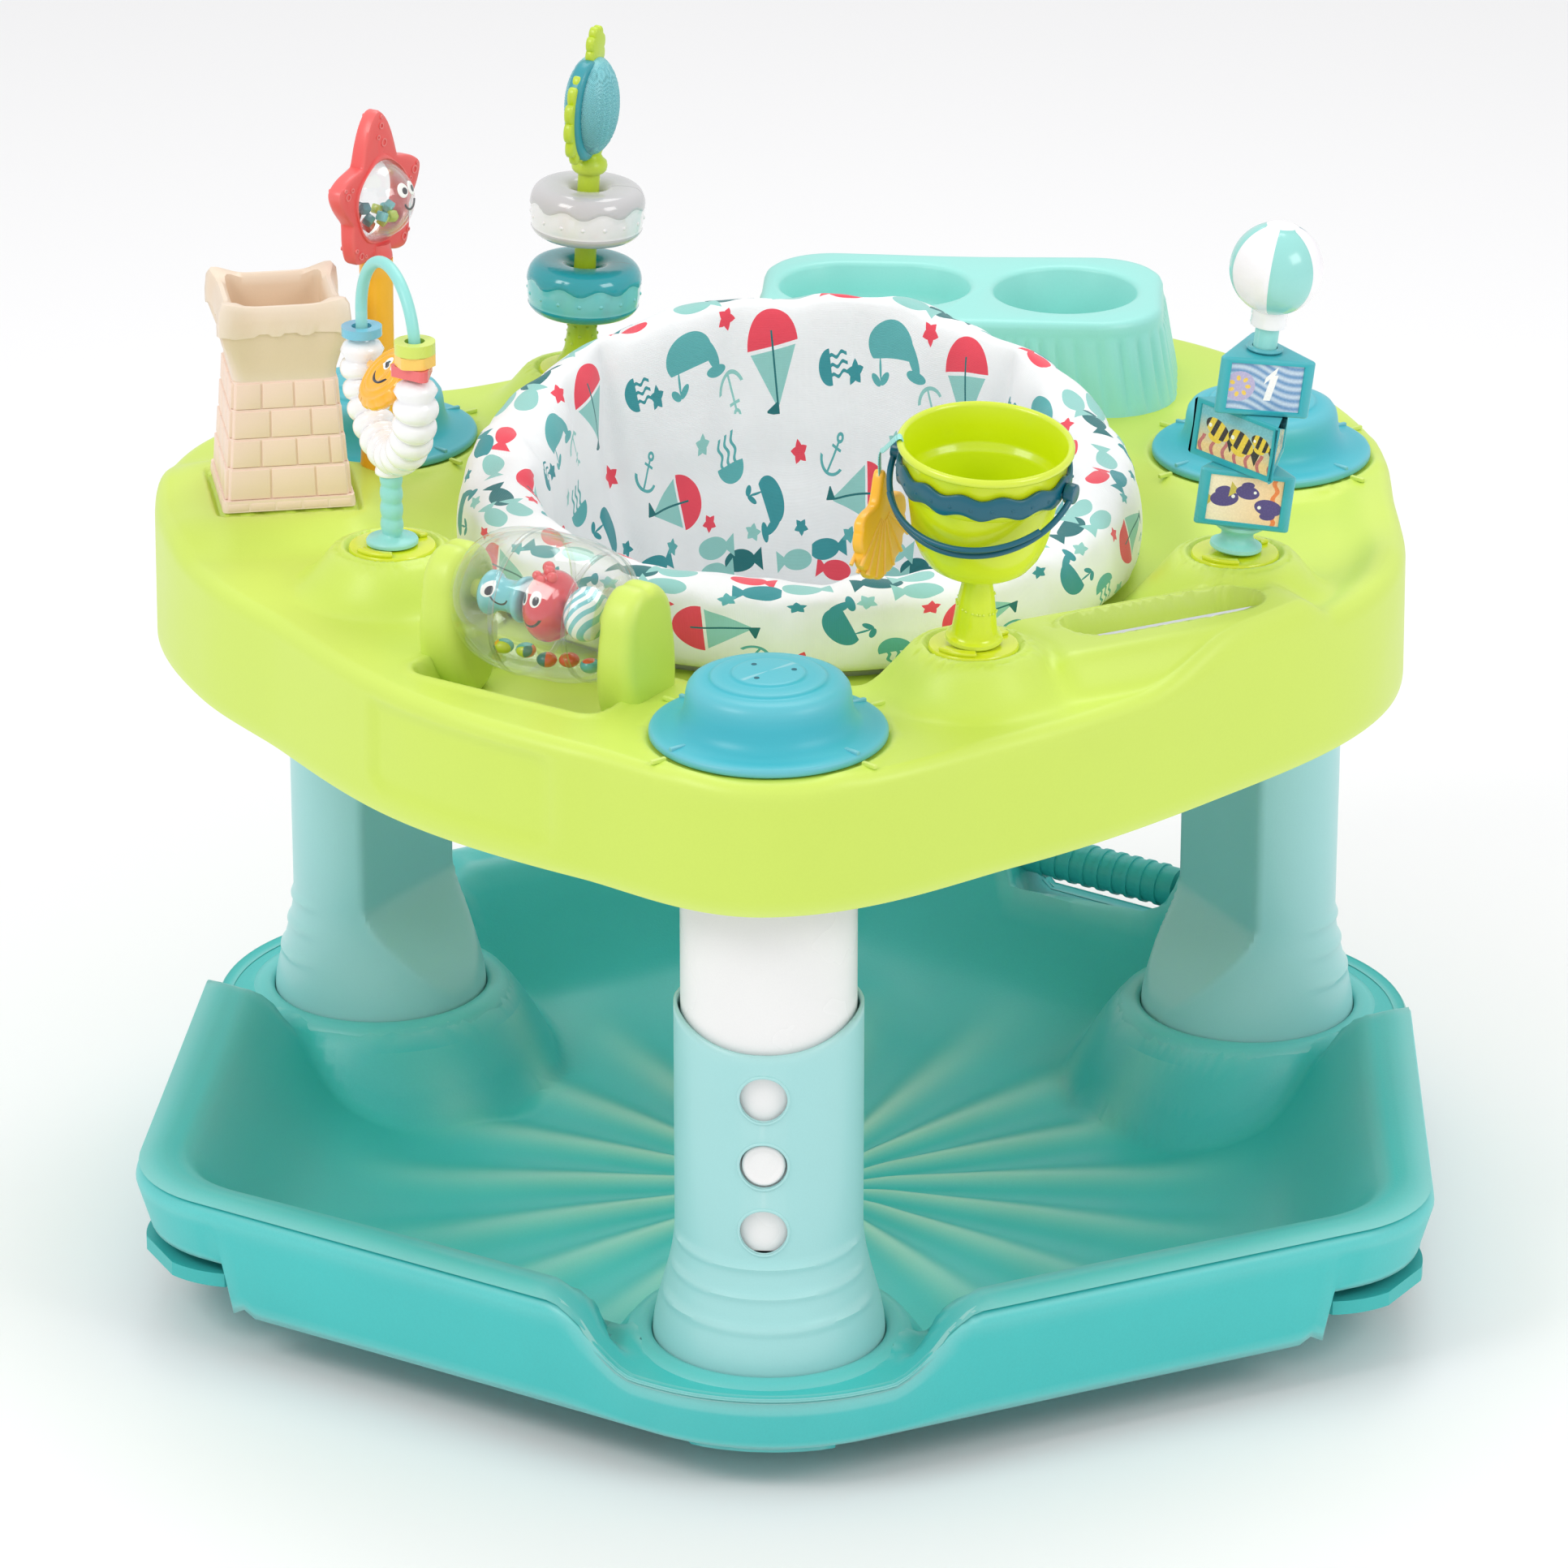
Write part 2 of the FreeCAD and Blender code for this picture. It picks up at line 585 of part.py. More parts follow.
# The tray's outline bulges at the legs, at the castle and most of all behind the food tray.
TRAY_OUTLINE = [(-90, 365), (-107, 333), (-128, 317), (-150, 311), (-166, 333), (177, 361), (160, 378),
                (146, 362), (131, 319), (112, 324), (92, 352), (76, 388), (62, 408), (47, 396),
                (30, 370), (14, 340), (-10, 330), (-40, 302), (-66, 318)]

# Toy mounts: the arch toy, bucket, blocks and rings, each on a mound of the tray.
HUBS = {"arch": (-215.6, -91), "bucket": (103, -220), "blocks": (239.4, -76), "rings": (-138, 209)}
CASTLE = (-290, 30)
CASTLE_TURN = 13
STAR = (-240, 74)
DRUM = (-122, -207)
DRUM_AZIMUTH = -29.5
MIRROR = (206, -163)
MIRROR_AZIMUTH = 29.6
MIRROR_TILT = 24


def tray_outline(height, inset=0.0):
    points = [polar(reach - inset, azimuth, height) for azimuth, reach in TRAY_OUTLINE]
    curve = Part.BSplineCurve()
    curve.interpolate(Points=points, PeriodicFlag=True)
    return Part.Wire([curve.toShape()])


def ring_solid(corners):
    """A ring turned about the saucer's axis from its section's (radius, height) corners."""
    points = [Vec(float(radius), 0, float(height)) for radius, height in corners]
    return Part.Face(Part.makePolygon(points + points[:1])).revolve(Vec(), UP, 360)


def local_box(length, width, low, high, spot, azimuth):
    thing = Part.makeBox(length, width, high - low, Vec(-length / 2, -width / 2, low))
    thing.rotate(Vec(), UP, azimuth)
    thing.translate(Vec(spot[0], spot[1], 0))
    return thing


def drum_tower(side):
    """A rounded lug that carries one end of the drum's axle."""
    thick, width = 22.0, 44.0
    low, crown = float(D.pocket_floor) + 4, float(D.drum_level) + 2
    across = side * (float(D.drum_half) + 0.5 + thick / 2)
    post = Part.makeBox(thick, width, crown - low, Vec(across - thick / 2, -width / 2, low))
    crown_rod = Part.makeCylinder(width / 2, thick, Vec(across - thick / 2, 0, crown), Vec(1, 0, 0))
    tower = post.fuse(crown_rod)
    tower.rotate(Vec(), UP, DRUM_AZIMUTH)
    tower.translate(Vec(DRUM[0], DRUM[1], 0))
    return tower


def mirror_mound(inset, lift):
    """The long mound whose inner face leans towards the child and holds the mirror."""
    deck = float(D.deck_top) - 2
    lean = math.radians(MIRROR_TILT)
    near, ridge, far = -44 + inset, 14 - inset, 30 - inset
    top = deck + (ridge - near) * math.tan(lean) + lift
    section = [Vec(0, near, deck - 3), Vec(0, near, deck + lift), Vec(0, ridge, top), Vec(0, ridge + 6, top),
               Vec(0, far, deck - 3)]
    mound = Part.Face(Part.makePolygon(section + section[:1])).extrude(Vec(160 - 2 * inset, 0, 0))
    mound.translate(Vec(inset - 80, 0, 0))
    mound.rotate(Vec(), Vec(0, 0, 1), MIRROR_AZIMUTH + 180)
    mound.translate(Vec(MIRROR[0], MIRROR[1], 0))
    return mound


def mirror_slab(length, width, low, high):
    """A slab that lies on the mound's leaning face."""
    slab = Part.makeBox(length, width, high - low, Vec(-length / 2, -width / 2, low))
    slab.rotate(Vec(), Vec(1, 0, 0), MIRROR_TILT)
    slab.translate(Vec(0, -14, float(D.deck_top) - 2 + 30 * math.tan(math.radians(MIRROR_TILT))))
    slab.rotate(Vec(), UP, MIRROR_AZIMUTH + 180)
    slab.translate(Vec(MIRROR[0], MIRROR[1], 0))
    return slab


def tray_shell():
    deck, wall, skirt = float(D.deck_top), float(D.deck_wall), float(D.tray_skirt)
    bend = float(D.tray_round)
    outer = layered(tray_outline(skirt), tray_outline(deck - bend), tray_outline(deck, bend))
    inner = layered(tray_outline(skirt - 1, wall), tray_outline(deck - bend, wall),
                    tray_outline(deck - wall, bend + wall * 0.5))
    hole, dish = float(D.seat_hole), float(D.dish_drop)
    edge, flat = float(D.dish_outer), float(D.dish_inner)
    shell = outer.cut(inner).cut(Part.makeCylinder(edge, 3 * wall, Vec(0, 0, deck - 2 * wall)))
    shell = shell.fuse(ring_solid([
        (hole, deck - float(D.collar_drop)), (hole + wall, deck - float(D.collar_drop)),
        (hole + wall, deck - dish - wall), (flat, deck - dish - wall), (edge, deck - wall),
        (edge, deck), (flat, deck - dish), (hole, deck - dish)]))
    keep_out = Part.makeCylinder(hole + wall, 200, Vec(0, 0, deck - 100))
    seat_room = float(D.seat_radius) + 3
    seat_clear = Part.makeCylinder(seat_room, 200, Vec(0, 0, deck - dish))
    seat_wall = Part.makeCylinder(seat_room + wall, 200, Vec(0, 0, deck - dish - wall))

    # mounds for the toys, hollow like the rest of the moulding
    low, top = deck - dish - wall, float(D.hub_top)
    base, head = float(D.hub_base), float(D.hub_head)
    for x, y in HUBS.values():
        mound = Part.makeCone(base, head, top - low, Vec(x, y, low))
        room = Part.makeCone(base - wall, head - wall, top - low - wall, Vec(x, y, low))
        under = Part.makeCylinder(base - wall, 2, Vec(x, y, low - 2))
        shell = shell.fuse(mound.cut(seat_clear)).cut(room.cut(seat_wall)).cut(under.cut(seat_wall))

    # plinth of the castle, mirror mound and the drum's pocket with its two towers
    side = 2 * float(D.plinth_half)
    plinth_top = float(D.plinth_top)
    shell = shell.fuse(local_box(side, side, deck - wall, plinth_top, CASTLE, CASTLE_TURN))
    shell = shell.cut(local_box(side - 2 * wall, side - 2 * wall, deck - wall - 1, plinth_top - wall,
                                CASTLE, CASTLE_TURN))
    mound_limit = layered(tray_outline(deck - 20, 5), tray_outline(deck + 60, 5)).cut(keep_out)
    shell = shell.fuse(mirror_mound(0, 0).common(mound_limit))
    shell = shell.cut(mirror_slab(112, 40, -4, 30))
    floor = float(D.pocket_floor)
    length, width = 2 * float(D.drum_half) + 24, 84.0
    shell = shell.cut(local_box(length, width, floor, deck + 20, DRUM, DRUM_AZIMUTH))
    tub = local_box(length + 2 * wall, width + 2 * wall, floor - wall, deck - 2, DRUM, DRUM_AZIMUTH)
    tub = tub.cut(local_box(length, width, floor, deck + 20, DRUM, DRUM_AZIMUTH)).cut(keep_out)
    shell = shell.fuse(tub.common(layered(tray_outline(skirt, 3), tray_outline(deck, 3))))
    towers = drum_tower(1).fuse(drum_tower(-1))
    axle = Part.makeCylinder(float(D.drum_pin), 200, Vec(-100, 0, float(D.drum_level)), Vec(1, 0, 0))
    axle.rotate(Vec(), UP, DRUM_AZIMUTH)
    axle.translate(Vec(DRUM[0], DRUM[1], 0))
    shell = shell.fuse(towers).cut(axle.common(drum_reach(float(D.drum_half) + 12)))

    # holes for the cap shanks
    for azimuth in LEGS.values():
        spot = polar(float(D.leg_circle), azimuth, deck - 30)
        shell = shell.cut(Part.makeCylinder(float(D.cap_shank + D.moving_gap), 60, spot))
    return shell.removeSplitter()


def drum_reach(half):
    """Everything within a distance of the drum's middle, measured along its axle."""
    return local_box(2 * half, 200, 300, 600, DRUM, DRUM_AZIMUTH)


node("tray_shell", shaped("tray_shell", tray_shell()))
node("mirror_plate", shaped("mirror_plate", mirror_slab(111, 39, -4, -1)))

locks = doc.addObject("Part::Compound", "toy_locks")
locks.Links = [cylinder(D.lock_radius, D.lock_thick, x=spot[0], y=spot[1], z=D.hub_top)
               for spot in HUBS.values()]
node("toy_locks", locks)


# ---------------------------------------------------------------- seat

DISH = D.deck_top - D.dish_drop
RING_BOTTOM = DISH + 1 - D.moving_gap - D.ring_thick

node("seat_track", profile_body("seat_track", [
    (D.ring_inner + 6, RING_BOTTOM - 8), (D.seat_hole, RING_BOTTOM - 8),
    (D.seat_hole, RING_BOTTOM - D.moving_gap), (D.ring_inner + 6, RING_BOTTOM - D.moving_gap)]))
node("seat_ring", profile_body("seat_ring", [
    (D.ring_inner, RING_BOTTOM), (D.ring_outer, RING_BOTTOM), (D.ring_outer, DISH + 1 - D.moving_gap),
    (D.ring_inner, DISH + 1 - D.moving_gap)]))


def seat_fabric():
    """The padded roll, higher at the back, with the sling and its two leg openings."""
    roll_bottom = DISH + 1
    roll = cylinder(D.seat_radius, D.seat_back - roll_bottom, z=roll_bottom)
    rise = math.atan2(float(D.seat_back - D.seat_front), 2 * float(D.seat_radius))
    lid = box(D.seat_radius * 3, D.seat_radius * 3, 200)
    lid = place(fuse(lid), 0, 0, (D.seat_front + D.seat_back) * 0.5, Turn(Vec(1, 0, 0), math.degrees(rise)))
    sling = cone(D.sling_radius, D.roll_inner + D.sling_wall, roll_bottom - D.sling_bottom + 1,
                 z=D.sling_bottom)
    hollow = cone(D.sling_radius - D.sling_wall, D.roll_inner, roll_bottom - D.sling_bottom,
                  z=D.sling_bottom + D.sling_wall)
    well = cylinder(D.roll_inner, 200, z=roll_bottom)
    openings = []
    for side in (-1, 1):
        hole = cylinder(D.leg_opening, 140)
        openings.append(place(fuse(hole), D.leg_opening * side * 1.25, -20, D.sling_bottom + 30,
                              Turn(Vec(1, side * 0.35, 0), 130)))
    return cut(fuse(cut(roll, lid), sling), fuse(hollow, well), fuse(*openings))


node("seat_fabric", seat_fabric())


# ---------------------------------------------------------------- food tray

def rounded_block(corner, inset, low, high):
    """A block over the food tray's plan with rounded corners."""
    left, right = D.food_left + inset, D.food_right - inset
    front, back = D.food_front + inset, D.food_back - inset
    radius = corner - inset
    x, y = (left + right) * 0.5, (front + back) * 0.5
    blocks = [box(right - left - radius * 2, back - front, high - low, x=x, y=y, z=low),
              box(right - left, back - front - radius * 2, high - low, x=x, y=y, z=low)]
    for across in (left + radius, right - radius):
        for along in (front + radius, back - radius):
            blocks.append(cylinder(radius, high - low, x=across, y=along, z=low))
    return fuse(*blocks)


def slot(radius, length, x, y, low, high):
    """An upright slot with two round ends."""
    ends = [cylinder(radius, high - low, x=x + length * side, y=y, z=low) for side in (-0.5, 0.5)]
    return fuse(box(length, radius * 2, high - low, x=x, y=y, z=low), *ends)


def food_tray():
    wall, top = D.food_wall, D.food_top
    skin = cut(rounded_block(D.food_corner, sized(0), D.deck_top, top),
               rounded_block(D.food_corner, wall, D.deck_top - 1, top - wall))
    along = (D.food_front + D.food_back) * 0.5
    cup_at = dict(x=D.food_right - D.cup_radius - 17, y=along)
    snack_x = D.food_left + D.snack_radius + D.snack_length * 0.5 + 9
    cup_low, snack_low = top - D.cup_depth, top - D.snack_depth
    walls = fuse(cylinder(D.cup_radius + wall, D.cup_depth, z=cup_low - wall, **cup_at),
                 slot(D.snack_radius + wall, D.snack_length, snack_x, along, snack_low - wall, top - wall))
    rooms = fuse(cylinder(D.cup_radius, D.cup_depth + 5, z=cup_low, **cup_at),
                 slot(D.snack_radius, D.snack_length, snack_x, along, snack_low, top + 5))
    return cut(fuse(skin, walls), rooms)


node("food_tray", food_tray())


# ---------------------------------------------------------------- castle

def square_tower(low_side, high_side, low, high):
    tower = doc.addObject("Part::Wedge", "taper")
    # a wedge tapers along its own Y, which is turned up below
    bind(tower, Xmin=low_side * -0.5, Xmax=low_side * 0.5, Zmin=low_side * -0.5, Zmax=low_side * 0.5,
         X2min=high_side * -0.5, X2max=high_side * 0.5, Z2min=high_side * -0.5, Z2max=high_side * 0.5,
         Ymin=0, Ymax=high - low)
    return place(tower, 0, 0, low, Turn(Vec(1, 0, 0), 90))


def at_castle(thing):
    return place(thing, CASTLE[0], CASTLE[1], 0, Turn(UP, CASTLE_TURN))


node("castle_tower", at_castle(fuse(
    square_tower(D.castle_side, D.castle_neck, D.plinth_top, D.castle_joint))))
parapet = fuse(square_tower(D.castle_neck, D.castle_head, D.castle_joint, D.castle_top - 20),
               box(D.castle_head, D.castle_head, 20, z=D.castle_top - 20))
node("castle_parapet", at_castle(cut(parapet, box(D.castle_well, D.castle_well, 60, z=D.castle_top - 34))))


# ---------------------------------------------------------------- clear drum

def at_drum(thing):
    return place(thing, DRUM[0], DRUM[1], D.drum_level, Turn(UP, DRUM_AZIMUTH).multiply(ACROSS))


def barrel(radius, half):
    """A barrel with a waist radius, narrowing to rounded ends."""
    return [(radius * 0.62, -half), (radius * 0.88, half * -0.8), (radius, half * -0.32),
            (radius, half * 0.32), (radius * 0.88, half * 0.8), (radius * 0.62, half)]


drum_outer = profile_body("drum_outer", [(0, -D.drum_half)] + barrel(D.drum_radius, D.drum_half)
                          + [(0, D.drum_half)])
room_half = D.drum_half - D.drum_wall
drum_room = profile_body("drum_room", [(0, -room_half)] + barrel(D.drum_radius - D.drum_wall, room_half)
                         + [(0, room_half)])
drum_bore = cylinder(D.drum_pin + D.running_gap, D.drum_half * 3, z=D.drum_half * -1.5)
node("drum_shell", at_drum(cut(drum_outer, drum_room, drum_bore)))
node("drum_axle", at_drum(fuse(cylinder(D.drum_pin, (D.drum_half + 12) * 2, z=-D.drum_half - 12))))
figure_bore = cylinder(D.drum_pin + D.running_gap, 100, z=-50)
node("drum_figures", at_drum(cut(profile_body("figures", [
    (0, -34), (12, -34), (14, -22), (11, -12), (13, -8), (19, 2), (17, 14), (12, 18), (14, 26), (10, 36),
    (0, 36)]), figure_bore)))
beads = doc.addObject("Part::Compound", "drum_beads")
bead_level = D.drum_level - D.drum_radius + D.drum_wall + 5.6
beads.Links = [egg(5.5, 5, 4, x=DRUM[0] + step * 12, y=DRUM[1] - step * 6.5 + (step % 2) * 4,
                   z=bead_level + abs(step) * 1.1) for step in (-2, -1, 0, 1, 2)]
node("drum_beads", beads)


# ---------------------------------------------------------------- star rattle

STAR_TURN = 60
STAR_NECK = D.star_level - 34


def star_body():
    arms = [52, 40, 39, 39, 40]
    corners = []
    for index, arm in enumerate(arms):
        for reach, angle in ((arm, 90 + 72 * index), (29, 126 + 72 * index)):
            heading = math.radians(angle)
            corners.append((sized(reach * math.cos(heading)), D.star_level + reach * math.sin(heading)))
    plate = profile_body("star_plate", corners, depth=D.star_thick)
    hole = cylinder(D.star_ball + 0.1, 60, y=-30, z=D.star_level, turn=SIDEWAYS)
    foot = profile_body("star_foot", [(0, STAR_NECK), (9, STAR_NECK), (8, STAR_NECK + 9), (0, STAR_NECK + 9)])
    socket = cylinder(4 + D.running_gap, 6, z=STAR_NECK - 1)
    return cut(fuse(plate, foot), hole, socket)


def at_star(thing, turn=STAR_TURN):
    return place(thing, STAR[0], STAR[1], 0, Turn(UP, turn))


node("star_body", at_star(star_body()))
star_ball = cut(ball(D.star_ball, z=D.star_level), ball(D.star_ball - 2, z=D.star_level))
node("star_rattle", at_star(star_ball))
node("star_stem", at_star(fuse(
    profile_body("star_stem_turned", [
        (0, D.deck_top), (12, D.deck_top), (11, D.deck_top + 14), (9, D.deck_top + 60),
        (9.5, STAR_NECK - D.moving_gap), (0, STAR_NECK - D.moving_gap)]),
    cylinder(4, 6, z=STAR_NECK - 2))))


# ---------------------------------------------------------------- arch toy

ARCH_TURN = -61.5      # the plane of the arch, from +X
LOCK_TOP = D.hub_top + D.lock_thick


def at_arch(thing, turn=Turn()):
    return place(thing, HUBS["arch"][0], HUBS["arch"][1], 0, Turn(UP, ARCH_TURN).multiply(turn))


node("arch_stem", at_arch(fuse(profile_body("arch_stem_turned", [
    (0, LOCK_TOP), (12.5, LOCK_TOP), (12.5, LOCK_TOP + 3), (7.5, LOCK_TOP + 8), (6, LOCK_TOP + 22),
    (7, D.arch_level - D.arch_sag - 8), (0, D.arch_level - D.arch_sag - 8)]))))
segments = []
for index in range(12):
    swing = math.pi * index / 11
    segments.append(ball(D.worm_radius - 0.9 * math.sin(swing), x=D.arch_span * (-0.5 * math.cos(swing)),
                         z=D.arch_level - D.arch_sag * math.sin(swing)))
neck = cylinder(8.5, 10, z=D.arch_level - D.arch_sag - 8 - 4)
worm = cut(fuse(*segments, neck), cylinder(7.02, 8, z=D.arch_level - D.arch_sag - 16))
node("worm", at_arch(worm))

WIRE_FOOT = D.arch_level + D.worm_radius - 1.5
WIRE_BEND = D.arch_level + D.worm_radius + D.wire_straight
wire_ends = [cylinder(D.wire_radius, WIRE_BEND - WIRE_FOOT, x=D.arch_span * side, z=WIRE_FOOT)
             for side in (-0.5, 0.5)]
wire_top = hoop(D.arch_span * 0.5, D.wire_radius, z=WIRE_BEND, turn=Turn(Vec(1, 0, 0), 90), sweep=180)
node("arch_wire", at_arch(cut(fuse(*wire_ends, wire_top), fuse(*[
    ball(D.worm_radius, x=D.arch_span * side, z=D.arch_level) for side in (-0.5, 0.5)]))))

disc = profile_body("disc_turned", [(0, -6), (12, -5.4), (D.disc_radius - 1.5, -3), (D.disc_radius, 0),
                                    (D.disc_radius - 1.5, 3), (12, 5.4), (0, 6)])
disc_pins = cylinder(2.4, D.arch_span - D.worm_radius * 2 - 0.6, x=D.arch_span * -0.5 + D.worm_radius + 0.3,
                     turn=ACROSS)
sun = fuse(disc, disc_pins)
place(sun, HUBS["arch"][0], HUBS["arch"][1], D.arch_level, Turn(UP, ARCH_TURN).multiply(Turn(Vec(1, 0, 0), 45)))
node("sun_disc", sun)

BEAD_FOOT = D.arch_level + D.worm_radius + 0.6
BEAD_HOLE = D.wire_radius + 2.2


def at_wire_end(thing, side):
    heading = math.radians(ARCH_TURN)
    reach = D.arch_span * 0.5 * side
    return place(thing, HUBS["arch"][0] + reach * math.cos(heading), HUBS["arch"][1] + reach * math.sin(heading),
                 0, Turn(UP, ARCH_TURN))


def bead(name, sides, radius, low, height):
    """A flat bead with a given number of sides; none makes it round."""
    if sides:
        angles = [2 * math.pi * index / sides for index in range(sides)]
        wire = Part.makePolygon([Vec(radius * math.cos(a), radius * math.sin(a), float(low)) for a in angles
                                 + angles[:1]])
        solid = Part.Face(wire).extrude(Vec(0, 0, height))
        upright = [edge for edge in solid.Edges if abs(edge.tangentAt(edge.FirstParameter).z) > 0.9]
        solid = shaped(name + "_plate", solid.makeFillet(3, upright))
    else:
        solid = cylinder(radius, height, z=low)
    return cut(solid, cylinder(BEAD_HOLE, height + 2, z=low - 1))


node("arch_ring_blue", at_wire_end(bead("ring_blue", 0, 11, BEAD_FOOT, 5), -1))
node("arch_triangle_red", at_wire_end(bead("triangle_red", 3, 16, BEAD_FOOT, 6), 1))
node("arch_hexagon_yellow", at_wire_end(bead("hexagon_yellow", 6, 11.5, BEAD_FOOT + 6.3, 6.5), 1))
node("arch_ring_lime", at_wire_end(bead("ring_lime", 0, 11, BEAD_FOOT + 13.1, 6.5), 1))


# ---------------------------------------------------------------- toys that lean on their mounds

# azimuth of each toy's lean and its angle, both in degrees
LEANS = {"rings": (0, 3), "blocks": (0, 6.5), "bucket": (-69, 8)}


def on_hub(toy, thing):
    """Carries a part drawn upright over the lock disc onto its leaning stem."""
    azimuth, angle = LEANS[toy]
    heading = math.radians(azimuth)
    lean = Turn(Vec(-math.sin(heading), math.cos(heading), 0), angle)
    return place(thing, HUBS[toy][0], HUBS[toy][1], LOCK_TOP, lean)


# rattle rings and fish: heights above the lock disc
RING_LOW, RING_HIGH, FISH_LOW = 29, 75, 116
node("ring_stem_lime", on_hub("rings", fuse(profile_body("ring_stem_turned", [
    (0, 0.6), (14, 0.6), (12, 4), (9.5, 10), (D.ring_stem + 1.5, RING_LOW - 1), (D.ring_stem, RING_LOW),
    (D.ring_stem, FISH_LOW), (4, FISH_LOW), (4, FISH_LOW + 9), (0, FISH_LOW + 9)]))))


def rattle_ring(low):
    radius, height = D.ring_radius, D.ring_height
    skin = profile_body("ring_skin", [
        (D.ring_stem + 0.6, low), (radius * 0.62, low), (radius * 0.9, low + height * 0.14),
        (radius, low + height * 0.38), (radius, low + height * 0.62), (radius * 0.9, low + height * 0.86),
        (radius * 0.62, low + height), (D.ring_stem + 0.6, low + height)])
    return fuse(skin)


node("rattle_ring_lower", on_hub("rings", rattle_ring(RING_LOW + 0.4)))
node("rattle_ring_upper", on_hub("rings", rattle_ring(RING_HIGH + 0.4)))
fish_foot = profile_body("fish_foot", [
    (0, FISH_LOW + 0.3), (8, FISH_LOW + 0.3), (9.5, FISH_LOW + 5), (7, FISH_LOW + 10), (0, FISH_LOW + 12)])
fish_body = egg(17, 27, 30, z=FISH_LOW + 40)
fin = box(5, 22, 30, y=2, z=FISH_LOW + 58)
side_fins = box(40, 4, 34, y=-24, z=FISH_LOW + 20)
fish_socket = cylinder(4 + D.running_gap, 9.5, z=FISH_LOW - 0.2)
node("fish", on_hub("rings", cut(fuse(fish_foot, fish_body, fin, side_fins), fish_socket)))

# picture blocks and the ball
BLOCK_FOOT = 18
BALL_LEVEL = 161
STEM_TOP = BALL_LEVEL - 21
node("block_stem_aqua", on_hub("blocks", fuse(profile_body("block_stem_turned", [
    (0, 1.7), (14, 1.7), (14, 4), (8.5, 8), (8.5, 11), (14, 14.5), (14, BLOCK_FOOT - 0.3),
    (D.block_stem, BLOCK_FOOT - 0.3), (D.block_stem, STEM_TOP), (0, STEM_TOP)]))))


def picture_block(low, turn):
    """A three-sided block with blunt corners, bored for the post."""
    circle = float(D.block_edge) / math.sqrt(3)
    corners = [Vec(circle * math.cos(a), circle * math.sin(a), low)
               for a in (math.radians(turn + 120 * index) for index in (0, 1, 2))]
    prism = Part.Face(Part.makePolygon(corners + corners[:1])).extrude(Vec(0, 0, float(D.block_height)))
    upright = [edge for edge in prism.Edges if abs(edge.tangentAt(edge.FirstParameter).z) > 0.9]
    prism = shaped("block_prism", prism.makeFillet(5, upright))
    return cut(prism, cylinder(D.block_stem + 0.5, D.block_height + 2, z=low - 1))


for step, (level, turn) in enumerate((("low", 92), ("middle", -52), ("top", 100))):
    low = BLOCK_FOOT + step * (float(D.block_height) + 0.3)
    node("picture_block_" + level, on_hub("blocks", picture_block(low, turn)))
ball_collar = cylinder(9.5, 12, z=BALL_LEVEL - 32)
ball_bore = cylinder(D.block_stem + 0.4, 40, z=STEM_TOP + 0.5 - 40)
node("beach_ball", on_hub("blocks", cut(fuse(ball(D.ball_radius, z=BALL_LEVEL), ball_collar), ball_bore)))

# bucket
BAIL_LEVEL = 100
BAIL_AZIMUTH = -22
node("bucket_stem", on_hub("bucket", fuse(profile_body("bucket_stem_turned", [
    (0, 2.1), (15, 2.1), (15, 4), (12, 7), (10, 24), (8, 34), (7.5, 43), (0, 43)]))))
rim = D.bucket_rim
node("bucket", on_hub("bucket", fuse(profile_body("bucket_turned", [
    (0, 43), (rim - 20, 43), (rim - 11, 50), (rim - 7, 62), (rim - 5.5, 92), (rim - 2.5, 94),
    (rim - 1.4, 113), (rim, 114), (rim, 118), (rim - 2, 118), (rim - 4, 96), (rim - 7.5, 93),
    (rim - 9, 63), (rim - 13, 52), (rim - 21, 46), (0, 46)]))))
band = profile_body("bucket_band_turned", [(rim - 1.3, 95), (rim + 1, 95), (rim + 1, 106), (rim - 1.3, 106)])
node("bucket_band", on_hub("bucket", fuse(band)))

# The bail hangs from two knobs and rests a little below level against the bucket.
BAIL_DROP = 35
bail_turn = Turn(UP, BAIL_AZIMUTH).multiply(Turn(Vec(1, 0, 0), BAIL_DROP))
bail_bow = hoop(D.bail_radius, D.bail_wire, z=BAIL_LEVEL, turn=bail_turn.multiply(Turn(UP, 180)), sweep=180)
knobs = []
for side in (0, 180):
    heading = math.radians(BAIL_AZIMUTH + side)
    start = rim + 1.4
    knobs.append(cylinder(5.5, D.bail_radius + D.bail_wire - start, x=start * math.cos(heading),
                          y=start * math.sin(heading), z=BAIL_LEVEL,
                          turn=Turn(UP, BAIL_AZIMUTH + side).multiply(ACROSS)))
node("bucket_bail", on_hub("bucket", fuse(bail_bow, *knobs)))

# The shell teether hangs on its ribbon down the bucket's left side.
TEETHER = (53.5, -220)
TEETHER_LEVEL = 484
TEETHER_AZIMUTH = 172
teether = fuse(cylinder(27, 7, z=-3.5), cylinder(15, 7, x=-26, z=-3.5), box(10, 6, 1.6, x=-40, z=-0.8),
               cylinder(2.5, 8, x=-44, y=-4, turn=SIDEWAYS))
place(teether, TEETHER[0], TEETHER[1], TEETHER_LEVEL, Turn(UP, TEETHER_AZIMUTH).multiply(ACROSS))
node("shell_teether", teether)


# ---------------------------------------------------------------- check and write

